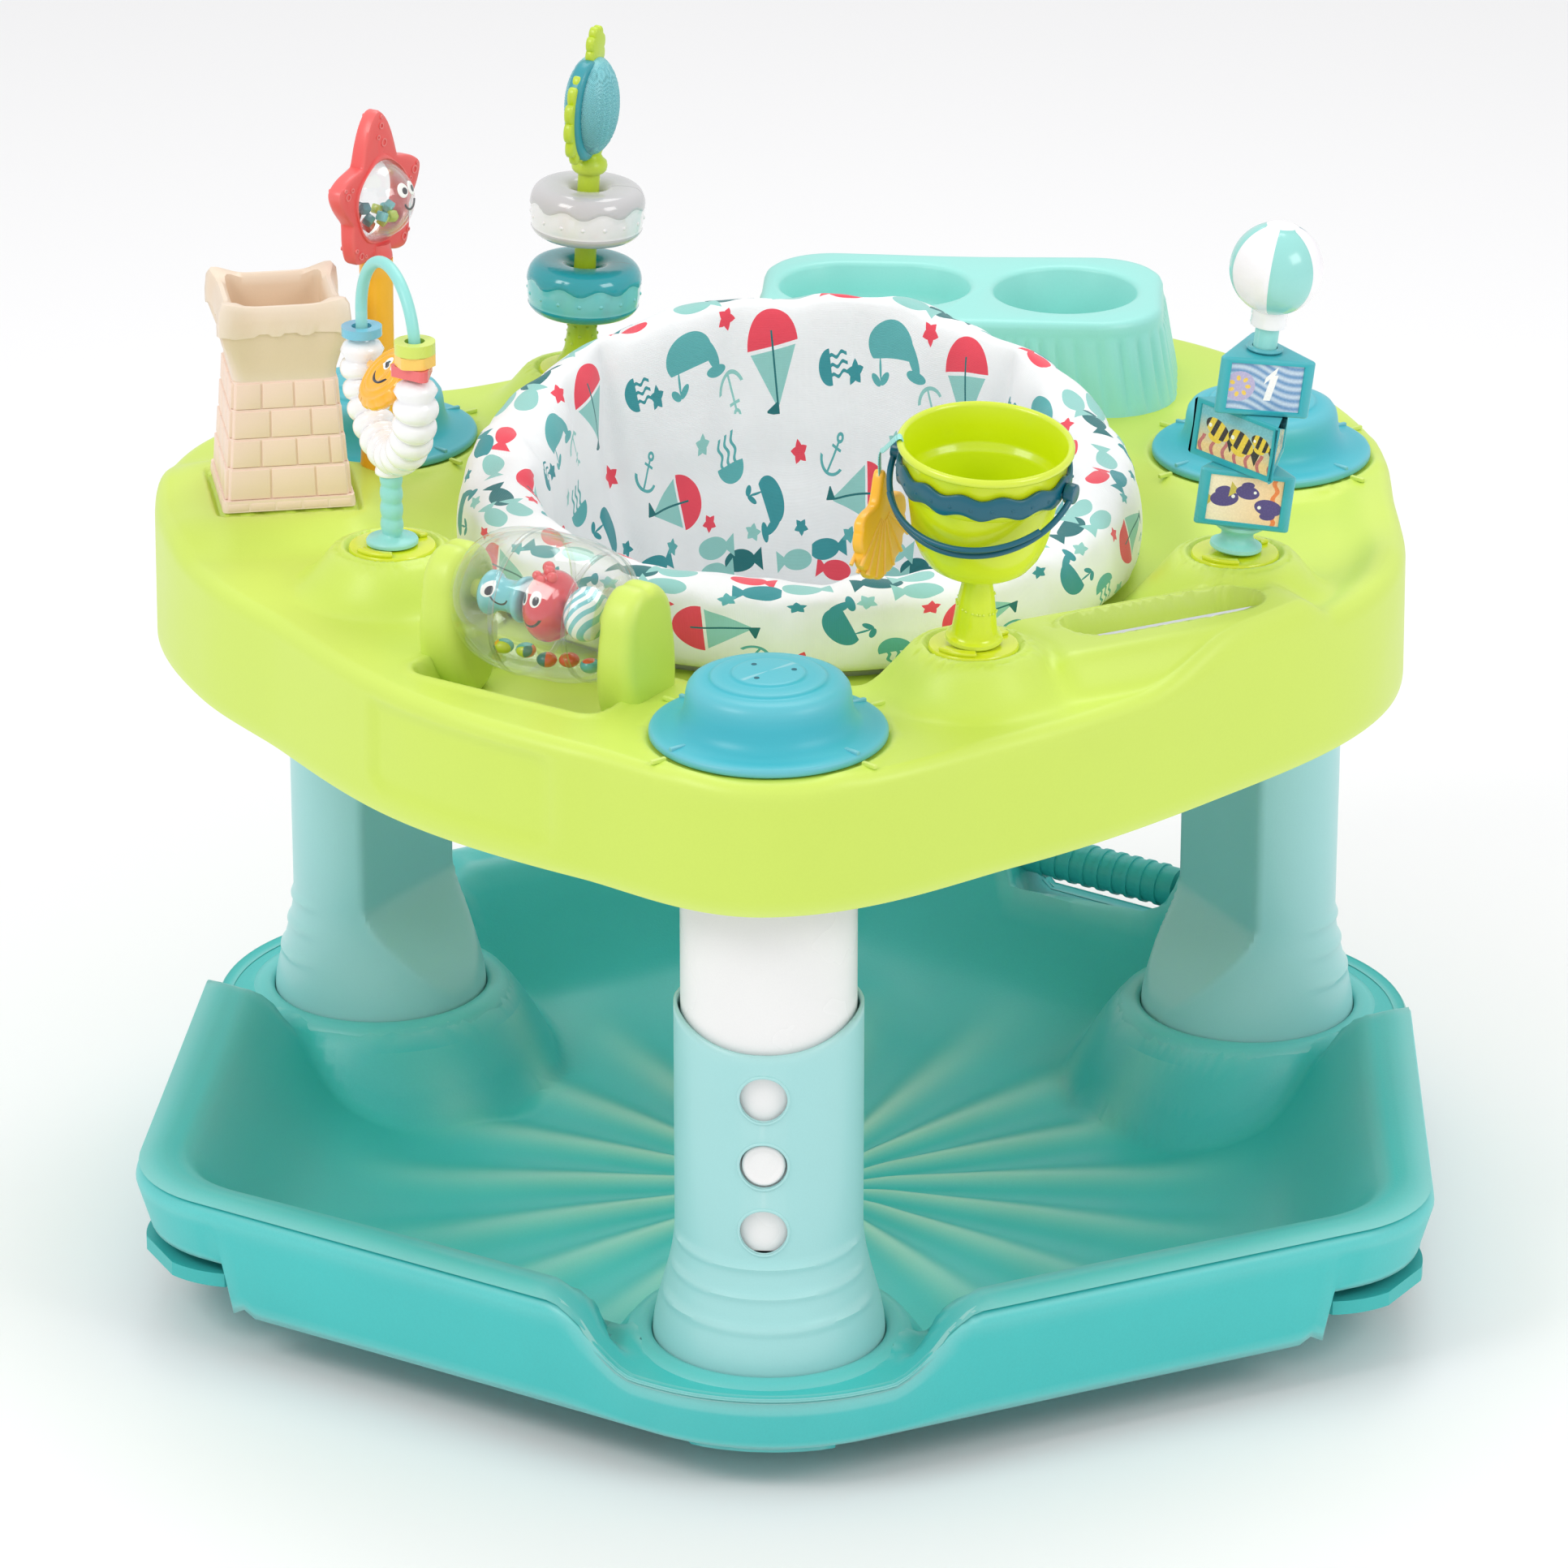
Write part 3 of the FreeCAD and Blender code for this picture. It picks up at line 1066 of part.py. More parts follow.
doc.recompute()
for thing in doc.Objects:
    if "Invalid" in thing.State or "Error" in thing.State:
        raise RuntimeError(f"{thing.Name} ({thing.Label}) failed: {thing.State}")
for name, thing in NODES.items():
    if thing.Shape.isNull() or not thing.Shape.isValid() or not thing.Shape.Solids:
        raise RuntimeError(f"{name} has no sound solid")
os.makedirs("parts", exist_ok=True)
for name, thing in NODES.items():
    thing.Shape.exportStep(f"parts/{name}.step")
print(len(NODES), "parts written")
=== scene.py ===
import bmesh
import bpy
import math
import random
from mathutils import Matrix, Vector, noise


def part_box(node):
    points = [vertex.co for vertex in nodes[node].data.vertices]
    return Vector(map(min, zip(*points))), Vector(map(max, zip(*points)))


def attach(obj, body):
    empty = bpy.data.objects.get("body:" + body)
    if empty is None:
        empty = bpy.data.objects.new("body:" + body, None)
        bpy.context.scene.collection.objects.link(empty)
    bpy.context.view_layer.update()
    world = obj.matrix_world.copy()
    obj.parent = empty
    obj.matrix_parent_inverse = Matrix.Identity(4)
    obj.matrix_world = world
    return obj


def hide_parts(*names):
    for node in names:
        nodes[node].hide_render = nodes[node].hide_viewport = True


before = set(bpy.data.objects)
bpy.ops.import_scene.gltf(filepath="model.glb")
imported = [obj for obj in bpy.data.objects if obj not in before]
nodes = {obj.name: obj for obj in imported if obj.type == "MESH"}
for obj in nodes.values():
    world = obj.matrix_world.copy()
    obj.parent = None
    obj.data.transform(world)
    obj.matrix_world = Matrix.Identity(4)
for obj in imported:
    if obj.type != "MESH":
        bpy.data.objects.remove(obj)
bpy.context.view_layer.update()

# ------------------------------------------------------------ studio
# A pale sweep under soft daylight boxes, and a long lens that stands a little above the toys
# and a little to the right of the front leg.
camera = bpy.data.objects.new("camera", bpy.data.cameras.new("camera"))
camera.data.lens = 170.63
camera.data.clip_end = 50
camera.location = (0.2075, -3.8392, 1.8339)
aim = Vector((-0.0086, 0, 0.2512))
camera.rotation_euler = (aim - camera.location).to_track_quat("-Z", "Y").to_euler()
bpy.context.scene.collection.objects.link(camera)
bpy.context.scene.camera = camera
bpy.context.scene.view_settings.view_transform = "Standard"


def softbox(name, place, target, width, watts, tint=(1, 1, 1)):
    lamp = bpy.data.lights.new(name, "AREA")
    lamp.shape, lamp.size, lamp.size_y = "RECTANGLE", width, width * 0.8
    lamp.energy, lamp.color = watts, tint
    box = bpy.data.objects.new(name, lamp)
    box.location = place
    box.rotation_euler = (Vector(target) - Vector(place)).to_track_quat("-Z", "Y").to_euler()
    bpy.context.scene.collection.objects.link(box)


softbox("key_box", (-1.9, -1.5, 2.4), (0, 0, 0.3), 1.3, 26, (1, 0.985, 0.96))
softbox("fill_box", (2.1, -1.3, 2.0), (0, 0, 0.3), 1.2, 17, (1, 0.99, 0.97))
softbox("top_box", (0.1, 1.1, 2.6), (0, 0, 0.3), 1.5, 16)

world = bpy.data.worlds.new("daylight")
world.use_nodes = True
world.node_tree.nodes["Background"].inputs["Color"].default_value = (1, 1, 1, 1)
world.node_tree.nodes["Background"].inputs["Strength"].default_value = 0.80
bpy.context.scene.world = world

floor_mesh = bmesh.new()
bmesh.ops.create_grid(floor_mesh, x_segments=1, y_segments=1, size=12)
floor = bpy.data.objects.new("floor", bpy.data.meshes.new("floor"))
floor_mesh.to_mesh(floor.data)
floor_mesh.free()
bpy.context.scene.collection.objects.link(floor)
floor_paint = bpy.data.materials.new("pale_sweep")
floor_paint.use_nodes = True
floor_paint.node_tree.nodes["Principled BSDF"].inputs["Base Color"].default_value = (0.93, 0.93, 0.94, 1)
floor_paint.node_tree.nodes["Principled BSDF"].inputs["Roughness"].default_value = 0.6
floor.data.materials.append(floor_paint)

# ------------------------------------------------------------ saucer base
# The teal saucer is one blow-moulded shell: a shallow pan with sunburst ribs, a fat rolled rim
# that dips at the legs and at the hand opening, and a skirt notched over each stabilizer.


def paint(red, green, blue):
    """A paint-chart colour, 0 to 255, as the renderer's linear one."""
    parts = [v / 255 for v in (red, green, blue)]
    return tuple(v / 12.92 if v <= 0.04045 else ((v + 0.055) / 1.055) ** 2.4 for v in parts) + (1,)


class Flow:
    """A socket in a material's nodes; arithmetic on it adds Math nodes."""

    def __init__(self, tree, socket=None):
        self.tree, self.socket = tree, socket

    def make(self, kind, settings=(), sockets=(), out=0):
        made = self.tree.nodes.new(kind)
        for key, value in dict(settings).items():
            if key == "stops":
                ramp = made.color_ramp.elements
                while len(ramp) < len(value):
                    ramp.new(0.5)
                for stop, (where, colour) in zip(ramp, value):
                    stop.position, stop.color = where, colour
            elif key == "interpolation":
                made.color_ramp.interpolation = value
            else:
                setattr(made, key, value)
        for key, value in dict(sockets).items():
            if isinstance(value, Flow):
                self.tree.links.new(value.socket, made.inputs[key])
            else:
                made.inputs[key].default_value = value
        return Flow(self.tree, made.outputs[out])

    def math(self, operation, *others, clamp=False):
        inputs = dict(enumerate((self,) + others))
        return self.make("ShaderNodeMath", {"operation": operation, "use_clamp": clamp}, inputs)

    def vector(self, operation, *others, out=0):
        inputs = dict(enumerate((self,) + others))
        return self.make("ShaderNodeVectorMath", {"operation": operation}, inputs, out)

    def __add__(self, other):
        return self.math("ADD", other)

    def __sub__(self, other):
        return self.math("SUBTRACT", other)

    def __mul__(self, other):
        return self.math("MULTIPLY", other)

    def __rsub__(self, other):
        return self.math("MULTIPLY_ADD", -1.0, other)

    def __lt__(self, other):
        return self.math("LESS_THAN", other)

    def __gt__(self, other):
        return self.math("GREATER_THAN", other)

    __radd__ = __add__
    __rmul__ = __mul__

    def tint(self, low, high):
        """The first colour where this is 0 and the second where it is 1."""
        return self.make("ShaderNodeMix", {"data_type": "RGBA"}, {0: self, 6: low, 7: high}, 2)

    def split(self):
        parts = self.make("ShaderNodeSeparateXYZ", (), {0: self})
        return [Flow(self.tree, parts.socket.node.outputs[axis]) for axis in range(3)]

    def spot(self, place, size, turn=0.0):
        """This position seen from a small frame of its own, in units of that frame's size."""
        return self.make("ShaderNodeMapping", {"vector_type": "TEXTURE"}, {
            "Vector": self, "Location": (*place, 0), "Rotation": (0, 0, math.radians(turn)),
            "Scale": (*size, 1)})


def new_material(name):
    material = bpy.data.materials.new(name)
    material.use_nodes = True
    skin = material.node_tree.nodes["Principled BSDF"]
    return material, skin, Flow(material.node_tree)


def plastic(name, colour, rough=0.36, grain=0.25, grain_size=0.9, coat=0.0, pattern=None, edge_highlight=0.12,
            mottle=0.06, frame_turn=None):
    """Moulded plastic: a fine spark-eroded grain, slow tone drift, and a painted highlight that pales the convex
    edges. A pattern takes the position in the piece's own frame and gives the colour instead."""
    material, skin, flow = new_material(name)
    where = flow.make("ShaderNodeTexCoord", out="Object")
    grit = flow.make("ShaderNodeTexNoise", (), {
        "Vector": where, "Scale": 1000 / grain_size, "Detail": 2.0, "Roughness": 0.6})
    drift = flow.make("ShaderNodeTexNoise", (), {"Vector": where, "Scale": 14.0, "Detail": 3.0})
    local = where
    if frame_turn is not None:
        spot, turn, _ = frame_turn.decompose()
        local = flow.make("ShaderNodeMapping", {"vector_type": "TEXTURE"}, {
            "Vector": where, "Location": spot * 0.001, "Rotation": turn.to_euler()})
    shade = pattern(local) if pattern else colour
    tone = (drift - 0.5) * mottle + (grit - 0.5) * (mottle * 0.8)
    bright = flow.make("ShaderNodeHueSaturation", (), {"Value": tone + 1.0, "Color": shade})
    # painted highlight: convex edges, found from the mesh's pointiness, are tinted pale where they would catch the
    # light
    edge = flow.make("ShaderNodeNewGeometry", out="Pointiness")
    edge_highlight_mask = flow.make("ShaderNodeValToRGB", {"stops": [(0.5, (0, 0, 0, 1)), (0.62, (1, 1, 1, 1))]}, {0: edge})
    bright = (edge_highlight_mask * edge_highlight).tint(bright, (0.95, 0.97, 0.95, 1))
    tree = material.node_tree
    tree.links.new(bright.socket, skin.inputs["Base Color"])
    tree.links.new(((drift - 0.5) * 0.22 + rough).socket, skin.inputs["Roughness"])
    bump = flow.make("ShaderNodeBump", (), {"Strength": grain, "Distance": 0.00012, "Height": grit})
    tree.links.new(bump.socket, skin.inputs["Normal"])
    skin.inputs["Coat Weight"].default_value = coat
    skin.inputs["Coat Roughness"].default_value = 0.08
    skin.inputs["IOR"].default_value = 1.49
    return material


def lay(bm, name, body, slot, *materials, replaces=(), sharp=35, smooth=0, wall=0, place=None):
    """Turns a bmesh in millimetres into a named piece that rides on a body."""
    bmesh.ops.remove_doubles(bm, verts=bm.verts, dist=0.0005)
    bmesh.ops.recalc_face_normals(bm, faces=bm.faces)
    bm.transform(Matrix.Scale(0.001, 4) @ (place or Matrix()))
    data = bpy.data.meshes.new(name)
    bm.to_mesh(data)
    bm.free()
    piece = bpy.data.objects.new(name, data)
    bpy.context.scene.collection.objects.link(piece)
    for material in materials:
        data.materials.append(material)
    data.shade_smooth()
    if sharp:
        data.set_sharp_from_angle(angle=math.radians(sharp))
    if wall:
        shell = piece.modifiers.new("wall", "SOLIDIFY")
        shell.thickness, shell.offset = wall * 0.001, -1
    if smooth:
        subdivide = piece.modifiers.new("rounding", "SUBSURF")
        subdivide.levels = subdivide.render_levels = smooth
    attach(piece, body)
    if replaces:
        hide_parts(*replaces)
    return piece


def spun(points, steps=96, bm=None):
    """A profile of (radius, height) points, turned once about the upright axis."""
    bm = bm or bmesh.new()
    line = [bm.verts.new((radius, 0, height)) for radius, height in points]
    edges = [bm.edges.new(pair) for pair in zip(line, line[1:])]
    bmesh.ops.spin(bm, geom=line + edges, cent=(0, 0, 0), axis=(0, 0, 1), angle=2 * math.pi, steps=steps,
                   use_merge=True, use_duplicate=False)
    bmesh.ops.remove_doubles(bm, verts=bm.verts, dist=0.0005)
    return bm


def ease(value, low, high):
    """0 below low, 1 above high, and a smooth step between them."""
    t = min(max((value - low) / (high - low), 0.0), 1.0)
    return t * t * (3 - 2 * t)


def swell(first, second, soft):
    """The higher of two heights, with a fillet where they meet."""
    share = min(max(0.5 + (first - second) / (2 * soft), 0.0), 1.0)
    return second + (first - second) * share + soft * share * (1 - share)


LEGS = {"front": -90, "right": 30, "left": 150}
CORNERS = {"right": -30, "back": 90, "left": -150}
LEG_CIRCLE = 294
RIM_TOP, SKIRT_LOW, NOTCH_TOP, SADDLE = 92, 28, 56, 60


def side_of(x, y, azimuth):
    """How far a point lies along and across a direction from the middle."""
    turn = math.radians(azimuth)
    return x * math.cos(turn) + y * math.sin(turn), y * math.cos(turn) - x * math.sin(turn)


def capsule_gap(point, start, end, first, last):
    """Distance from a point to the hull of two circles."""
    along = end - start
    length = along.length
    away = point - start
    side = abs(away.x * along.y - away.y * along.x) / length
    front = away.dot(along) / length
    lean = (first - last) / length
    flat = math.sqrt(1 - lean * lean)
    where = flat * front - lean * side
    if where < 0:
        return away.length - first
    if where > flat * length:
        return (point - end).length - last
    return flat * side + lean * front - first


def saucer_reach(azimuth):
    """The outline's distance from the middle: wide corners at the legs, tighter ones between."""
    way = Vector((math.cos(math.radians(azimuth)), math.sin(math.radians(azimuth))))
    rings = sorted([(heading, 262, 120) for heading in LEGS.values()]
                   + [(heading, 330, 70) for heading in CORNERS.values()])
    spots = [(Vector((far * math.cos(math.radians(heading)), far * math.sin(math.radians(heading)))), corner)
             for heading, far, corner in rings]
    reach = 420.0
    for _ in range(60):
        gap = min(capsule_gap(way * reach, spots[i][0], spots[i - 1][0], spots[i][1], spots[i - 1][1])
                  for i in range(6))
        reach -= gap
        if gap < 0.02:
            break
    return reach


saucer = spun([(step * 6.0, 0) for step in range(1, 53)] + [(320 + step, 0) for step in range(1, 24)], 360)
reach_at = {}
for vert in saucer.verts:
    reach = vert.co.xy.length
    azimuth = math.degrees(math.atan2(vert.co.y, vert.co.x))
    for heading in CORNERS.values():
        for edge in (7.15, -7.15):
            if abs((azimuth - heading - edge + 180) % 360 - 180) < 0.75:
                azimuth = heading + edge + math.copysign(0.06, (azimuth - heading - edge + 180) % 360 - 180)
    key = round(azimuth, 3)
    if key not in reach_at:
        reach_at[key] = saucer_reach(azimuth)
    outline = reach_at[key]
    turn = math.radians(azimuth)
    if reach <= 312.5:
        # the pan: flat middle, ribbed floor, sides that roll up to the rim
        share = reach / 312
        spread = share * (outline - 28)
        x, y = spread * math.cos(turn), spread * math.sin(turn)
        floor_reach = 0.60 * (outline - 28)
        climb = max(0.0, (spread - floor_reach) / (outline - 28 - floor_reach))
        height = 3 + 2.5 * ease(spread, 0, 150)
        height += (RIM_TOP - 5.5) * (climb ** 2.1 * 0.72 + 0.28 * ease(climb, 0.55, 1.0))
        ray = 0.5 + 0.5 * math.sin(turn * 18 + 0.4)
        height += 5.0 * ray ** 1.3 * ease(spread, 8, 60) * (1 - ease(climb, 0.1, 0.6))
    else:
        # the rim's roll, the skirt, and the lip turned in under it
        station = int(round(reach - 320))
        if station <= 5:
            out, height = (-28 + station * 5.2, RIM_TOP + 3.2 * math.sin(station / 5 * math.pi) - 2.4 * (1 - station / 5) ** 2)
            climb = 1.0
        elif station <= 11:
            arc = (station - 5) / 6 * math.pi / 2
            out, height = -2 - 9 + 9 * math.sin(arc) + 2, RIM_TOP - 9 + 9 * math.cos(arc)
        else:
            down = (station - 11) / 12
            out, height = -8 * down, RIM_TOP - 9 - (RIM_TOP - 9 - SKIRT_LOW) * down
        spread = outline + out
        x, y = spread * math.cos(turn), spread * math.sin(turn)
        climb = 1.0
    low = SKIRT_LOW
    for heading in CORNERS.values():
        along, across = side_of(x, y, heading)
        if along > 0 and abs(across) < 50.3:
            low = NOTCH_TOP
        hook = abs(across) - 50
        if along > 0 and 0 < hook < 12 and (across > 0) == (heading != -30):
            low = SKIRT_LOW - 0.1 + ease(hook, 5, 12) * 9
    top = RIM_TOP + 10
    for heading in LEGS.values():
        along, across = side_of(x, y, heading)
        if along > 180:
            dip = 1 - ease(abs(across), 66, 124)
            top = min(top, RIM_TOP - (RIM_TOP - SADDLE) * dip * ease(along, 250, 330) + 4 * (1 - dip))
            apart = math.hypot(along - LEG_CIRCLE, across)
            mound = 60.5 - 1.05 * max(0.0, apart - 74) - 0.02 * max(0.0, apart - 74) ** 2
            if reach <= 312.5:
                if apart < 110:
                    height = swell(mound, min(height, 60) if apart < 90 else height, 7)
                if apart < 65:
                    height = 18.8
    along, across = side_of(x, y, 60)
    if along > 250:
        dip = 1 - ease(abs(across), 44, 70)
        drop = ease(along, 296, 318)
        top = min(top, RIM_TOP + 10 - (RIM_TOP + 10 - 55) * dip * drop)
        lug = 24 * math.exp(-(((across + 72) / 14) ** 2 + ((along - 338) / 22) ** 2))
        height += lug if height > 60 else 0
        top += lug
    if reach > 312.5 and int(round(reach - 320)) > 11:
        down = (int(round(reach - 320)) - 11) / 12
        start = min(height if down == 0 else RIM_TOP - 9, top - 6)
        height = start + (low - start) * down
    else:
        height = min(height, top + 2 * math.sin((height - top) * 0.1)) if height > top else height
    vert.co = (x, y, height)


def saucer_tone(local):
    """Teal with a painted highlight that pales the rays' crests, most towards the pan's middle."""
    across, along, up = local.split()
    turn = along.math("ARCTAN2", across)
    reach = (across * across + along * along).math("SQRT")
    crest = (turn * 18.0 + 0.4).math("SINE") * 0.5 + 0.5
    pan = (reach * -5.5 + 1.45).math("MINIMUM", 1.0).math("MAXIMUM", 0.0) * (up < 0.05) * (up > 0.0)
    # painted highlight: the rib crests in the pan are tinted paler, fading out towards the rim
    pale = crest.math("POWER", 2.0) * pan
    return (pale * 0.75).tint(paint(66, 194, 192), paint(176, 228, 206))


saucer_skin = plastic("saucer_teal", paint(66, 194, 192), rough=0.38, grain=0.5, grain_size=1.3, mottle=0.12,
                      edge_highlight=0.3, pattern=saucer_tone)
hub_ring = [edge for edge in saucer.edges if edge.is_boundary and edge.verts[0].co.xy.length < 40]
bmesh.ops.contextual_create(saucer, geom=hub_ring)
pad_skin = plastic("pad_teal", paint(58, 182, 180), rough=0.42, grain=0.5, grain_size=1.3, mottle=0.1, edge_highlight=0)
lay(saucer, "saucer_shell", "base", "base_teal", saucer_skin, replaces=["base_saucer"], sharp=50, wall=3)

# Each leg stands in a round socket whose rolled lip stands just proud of the pan.
for side, azimuth in LEGS.items():
    place = Matrix.Rotation(math.radians(azimuth), 4, "Z") @ Matrix.Translation((LEG_CIRCLE, 0, 0))
    collar = spun([(62.4, 19), (62.4, 59.5), (63.4, 61.5), (66, 62.4), (70, 62), (74.5, 60), (77, 56.5),
                   (78, 50)], 96)
    lay(collar, "socket_lip_" + side, "base", "base_teal", saucer_skin, sharp=60, wall=1.6, place=place)
    cup = spun([(0.2, 37.8), (10.5, 37.8), (12, 36.3), (12, 21), (14, 19.6), (62, 19.2)], 64)
    lay(cup, "socket_floor_" + side, "base", "base_teal", saucer_skin, sharp=60, place=place)

for name in ["carry_grip"] + ["stabilizer_" + side for side in CORNERS]:
    nodes[name].data.materials.clear()
    nodes[name].data.materials.append(pad_skin)

# ------------------------------------------------------------ springs and pins
# Zinc-plated coil springs stand in the sockets under the legs, and plated pins carry the
# stabilizers. Fine drawing lines run round the wire.


def metal(name, colour, rough):
    material, skin, flow = new_material(name)
    where = flow.make("ShaderNodeTexCoord", out="Object")
    lines = flow.make("ShaderNodeTexNoise", (), {"Vector": where, "Scale": 1600.0, "Detail": 3.0})
    tree = material.node_tree
    tree.links.new(((lines - 0.5) * 0.3 + rough).socket, skin.inputs["Roughness"])
    tree.links.new(lines.tint(colour, paint(225, 228, 232)).socket, skin.inputs["Base Color"])
    bump = flow.make("ShaderNodeBump", (), {"Strength": 0.2, "Distance": 0.0001, "Height": lines})
    tree.links.new(bump.socket, skin.inputs["Normal"])
    skin.inputs["Metallic"].default_value = 1.0
    return material


zinc = metal("zinc_plate", paint(170, 174, 180), 0.32)
for name in ["stabilizer_pins"] + ["bounce_spring_" + side for side in LEGS]:
    nodes[name].data.materials.clear()
    nodes[name].data.materials.append(zinc)

# ------------------------------------------------------------ legs
# A pale aqua shell, round outside and flat towards the middle, flares into a ribbed foot. It
# has three height holes, and a white tube with a snap button slides in it.
shell_skin = plastic("leg_shell", paint(163, 217, 217), rough=0.34, grain=0.3)
tube_skin = plastic("leg_tube", paint(238, 238, 238), rough=0.26, grain=0.12, edge_highlight=0.0)
button_skin = plastic("snap_button", paint(240, 240, 240), rough=0.2, grain=0.08, edge_highlight=0.0)
HOLE_LEVELS = (139, 177, 215)


def foot_swell(level):
    """The leg's radius at a height: straight, then flaring to the foot."""
    flare = 12 * (1 - ease(level, 58, 128)) ** 1.25
    return 50 + flare


for side, azimuth in LEGS.items():
    place = Matrix.Rotation(math.radians(azimuth), 4, "Z") @ Matrix.Translation((LEG_CIRCLE, 0, 0))
    levels = [40, 52, 60, 66] + [66 + 2 * step for step in range(1, 34)] + [140, 165, 190, 215, 232, 239, 250]
    leg = spun([(50, level) for level in levels], 120)
    for vert in leg.verts:
        level = vert.co.z
        turn = math.atan2(vert.co.y, vert.co.x)
        outward = ease(math.cos(turn), 0.05, 0.45)
        radius = foot_swell(level)
        for rib in (118, 102, 85):
            radius += 1.5 * outward * math.exp(-((level - rib - 3 * (1 - math.cos(turn))) / 2.2) ** 2)
        radius -= 0.9 * outward * ease(level, 118, 112) * 0
        lean = ease(level, 125, 66)
        flat = 22 + (foot_swell(66) - 22) * (1 - ease(level, 60, 126)) ** 0.85
        back = -math.cos(turn)
        if back > 0.01:
            radius = min(radius, flat / back)
        x, y = radius * math.cos(turn), radius * math.sin(turn)
        if level > 238.5:
            rim = 240 + 10.5 * (abs(y) / 50) ** 2.4 if x > -12 else 250
            rim = max(rim, 250 * ease(-x, -6, 14))
            level = rim if level > 245 else rim - 5
        vert.co = (x, y, level)
    lay(leg, "leg_shell_" + side, "legs", "leg_aqua", shell_skin, replaces=["lower_leg_" + side], sharp=40,
        wall=2, place=place)
    shell = bpy.data.objects["leg_shell_" + side]
    punch = bmesh.new()
    for level in HOLE_LEVELS:
        bmesh.ops.create_cone(punch, cap_ends=True, segments=48, radius1=12.5, radius2=12.5, depth=60,
                              matrix=Matrix.Translation((50, 0, level)) @ Matrix.Rotation(math.pi / 2, 4, "Y"))
    punch.transform(Matrix.Scale(0.001, 4) @ place)
    cutter = bpy.data.objects.new("punch", bpy.data.meshes.new("punch"))
    punch.to_mesh(cutter.data)
    punch.free()
    bpy.context.scene.collection.objects.link(cutter)
    cut = shell.modifiers.new("holes", "BOOLEAN")
    cut.object, cut.operation, cut.solver = cutter, "DIFFERENCE", "EXACT"
    bpy.context.view_layer.update()
    done = bpy.data.meshes.new_from_object(shell.evaluated_get(bpy.context.evaluated_depsgraph_get()))
    shell.modifiers.clear()
    shell.data = done
    bpy.data.objects.remove(cutter)
    for level in HOLE_LEVELS:
        ring = spun([(12.5, 0.4), (12.7, 0.75), (13.4, 0.8), (14.0, 0.45), (14.2, -0.6)], 48)
        ring.transform(Matrix.Translation((0, 0, level)) @ Matrix.Rotation(math.pi / 2, 4, "Y"))
        for vert in ring.verts:
            vert.co.x += math.sqrt(50 ** 2 - vert.co.y ** 2)
        lay(ring, f"hole_ring_{side}_{level}", "legs", "leg_aqua", shell_skin, sharp=0, place=place)
    for node in ("upper_leg_" + side, "leg_button_" + side):
        nodes[node].data.materials.clear()
        nodes[node].data.materials.append(tube_skin if "upper" in node else button_skin)
    # the raised lip of the snap button
    lip = spun([(11.4, -1), (11.5, 0.4), (11, 1.0), (9.6, 1.05), (8.8, 0.5), (7, 0.42), (0.1, 0.6)], 48)
    lip.transform(Matrix.Translation((0, 0, 177)) @ Matrix.Rotation(math.pi / 2, 4, "Y"))
    for vert in lip.verts:
        vert.co.x += math.sqrt(46.4 ** 2 - vert.co.y ** 2) + 1.35
    lay(lip, "button_face_" + side, "leg_button_" + side, "button_white", button_skin, sharp=50, place=place)

# ------------------------------------------------------------ leg caps
# A turned blue cap locks each leg to the tray: a wide thin flange, a dome with two low steps,
# three vent holes, and tick marks that line up with ticks on the tray.
cap_skin = plastic("cap_blue", paint(62, 180, 196), rough=0.4, grain=0.4, grain_size=1.1, edge_highlight=0.2)
vent_dark = plastic("vent_shadow", paint(25, 95, 110), rough=0.6, edge_highlight=0.0)
for side, azimuth in LEGS.items():
    place = Matrix.Rotation(math.radians(azimuth), 4, "Z") @ Matrix.Translation((LEG_CIRCLE, 0, 0))
    cap = spun([(41, 400.4), (61.2, 400.4), (62, 401.2), (62, 403.4), (61.4, 404.6), (60, 405), (55, 405.6),
                (49.5, 407), (46.5, 409.2), (44.6, 412.6), (43.6, 417), (43, 423), (42.2, 426.6),
                (40.2, 429.4), (37, 430.8), (33, 431.2), (31.4, 431.4), (30.6, 431.9), (30, 432.7),
                (28.6, 433.1), (21, 433.3), (20, 433.5), (19.3, 434.1), (18.6, 434.7), (17.2, 434.9),
                (0.1, 435.2)], 128)
    lay(cap, "cap_" + side, "leg_cap_" + side, "cap_blue", cap_skin, replaces=["leg_cap_" + side],
        sharp=0, place=place)
    vents = bmesh.new()
    for x, y in ((10, -5.5), (-3, 13), (-9, -8)):
        spot = Matrix.Translation((x, y, 434.75))
        bmesh.ops.create_cone(vents, cap_ends=True, segments=20, radius1=1.7, radius2=1.4, depth=0.9, matrix=spot)
    lay(vents, "cap_vents_" + side, "leg_cap_" + side, "cap_blue", vent_dark, place=place)
    ticks = bmesh.new()
    tray_ticks = bmesh.new()
    for heading in (-52, 52, 128, -128):
        for marks, reach, length, level in ((ticks, 56.5, 9.5, 405.4), (tray_ticks, 68.5, 9, 401.2)):
            spot = Matrix.Rotation(math.radians(heading - azimuth - 90), 4, "Z") @ Matrix.Translation(
                (reach, 0, level))
            bmesh.ops.create_cube(marks, size=1, matrix=spot @ Matrix.Diagonal((length, 2.6, 2.4, 1)))
    for marks in (ticks, tray_ticks):
        bmesh.ops.bevel(marks, geom=marks.edges[:], offset=0.6, offset_type="OFFSET", segments=2,
                        profile=0.5, affect="EDGES", material=-1)
    lay(ticks, "cap_ticks_" + side, "leg_cap_" + side, "cap_blue", cap_skin, place=place)
    lay(tray_ticks, "tray_ticks_" + side, "tray", "tray_lime", plastic("tick_lime", paint(206, 228, 90)),
        place=place)

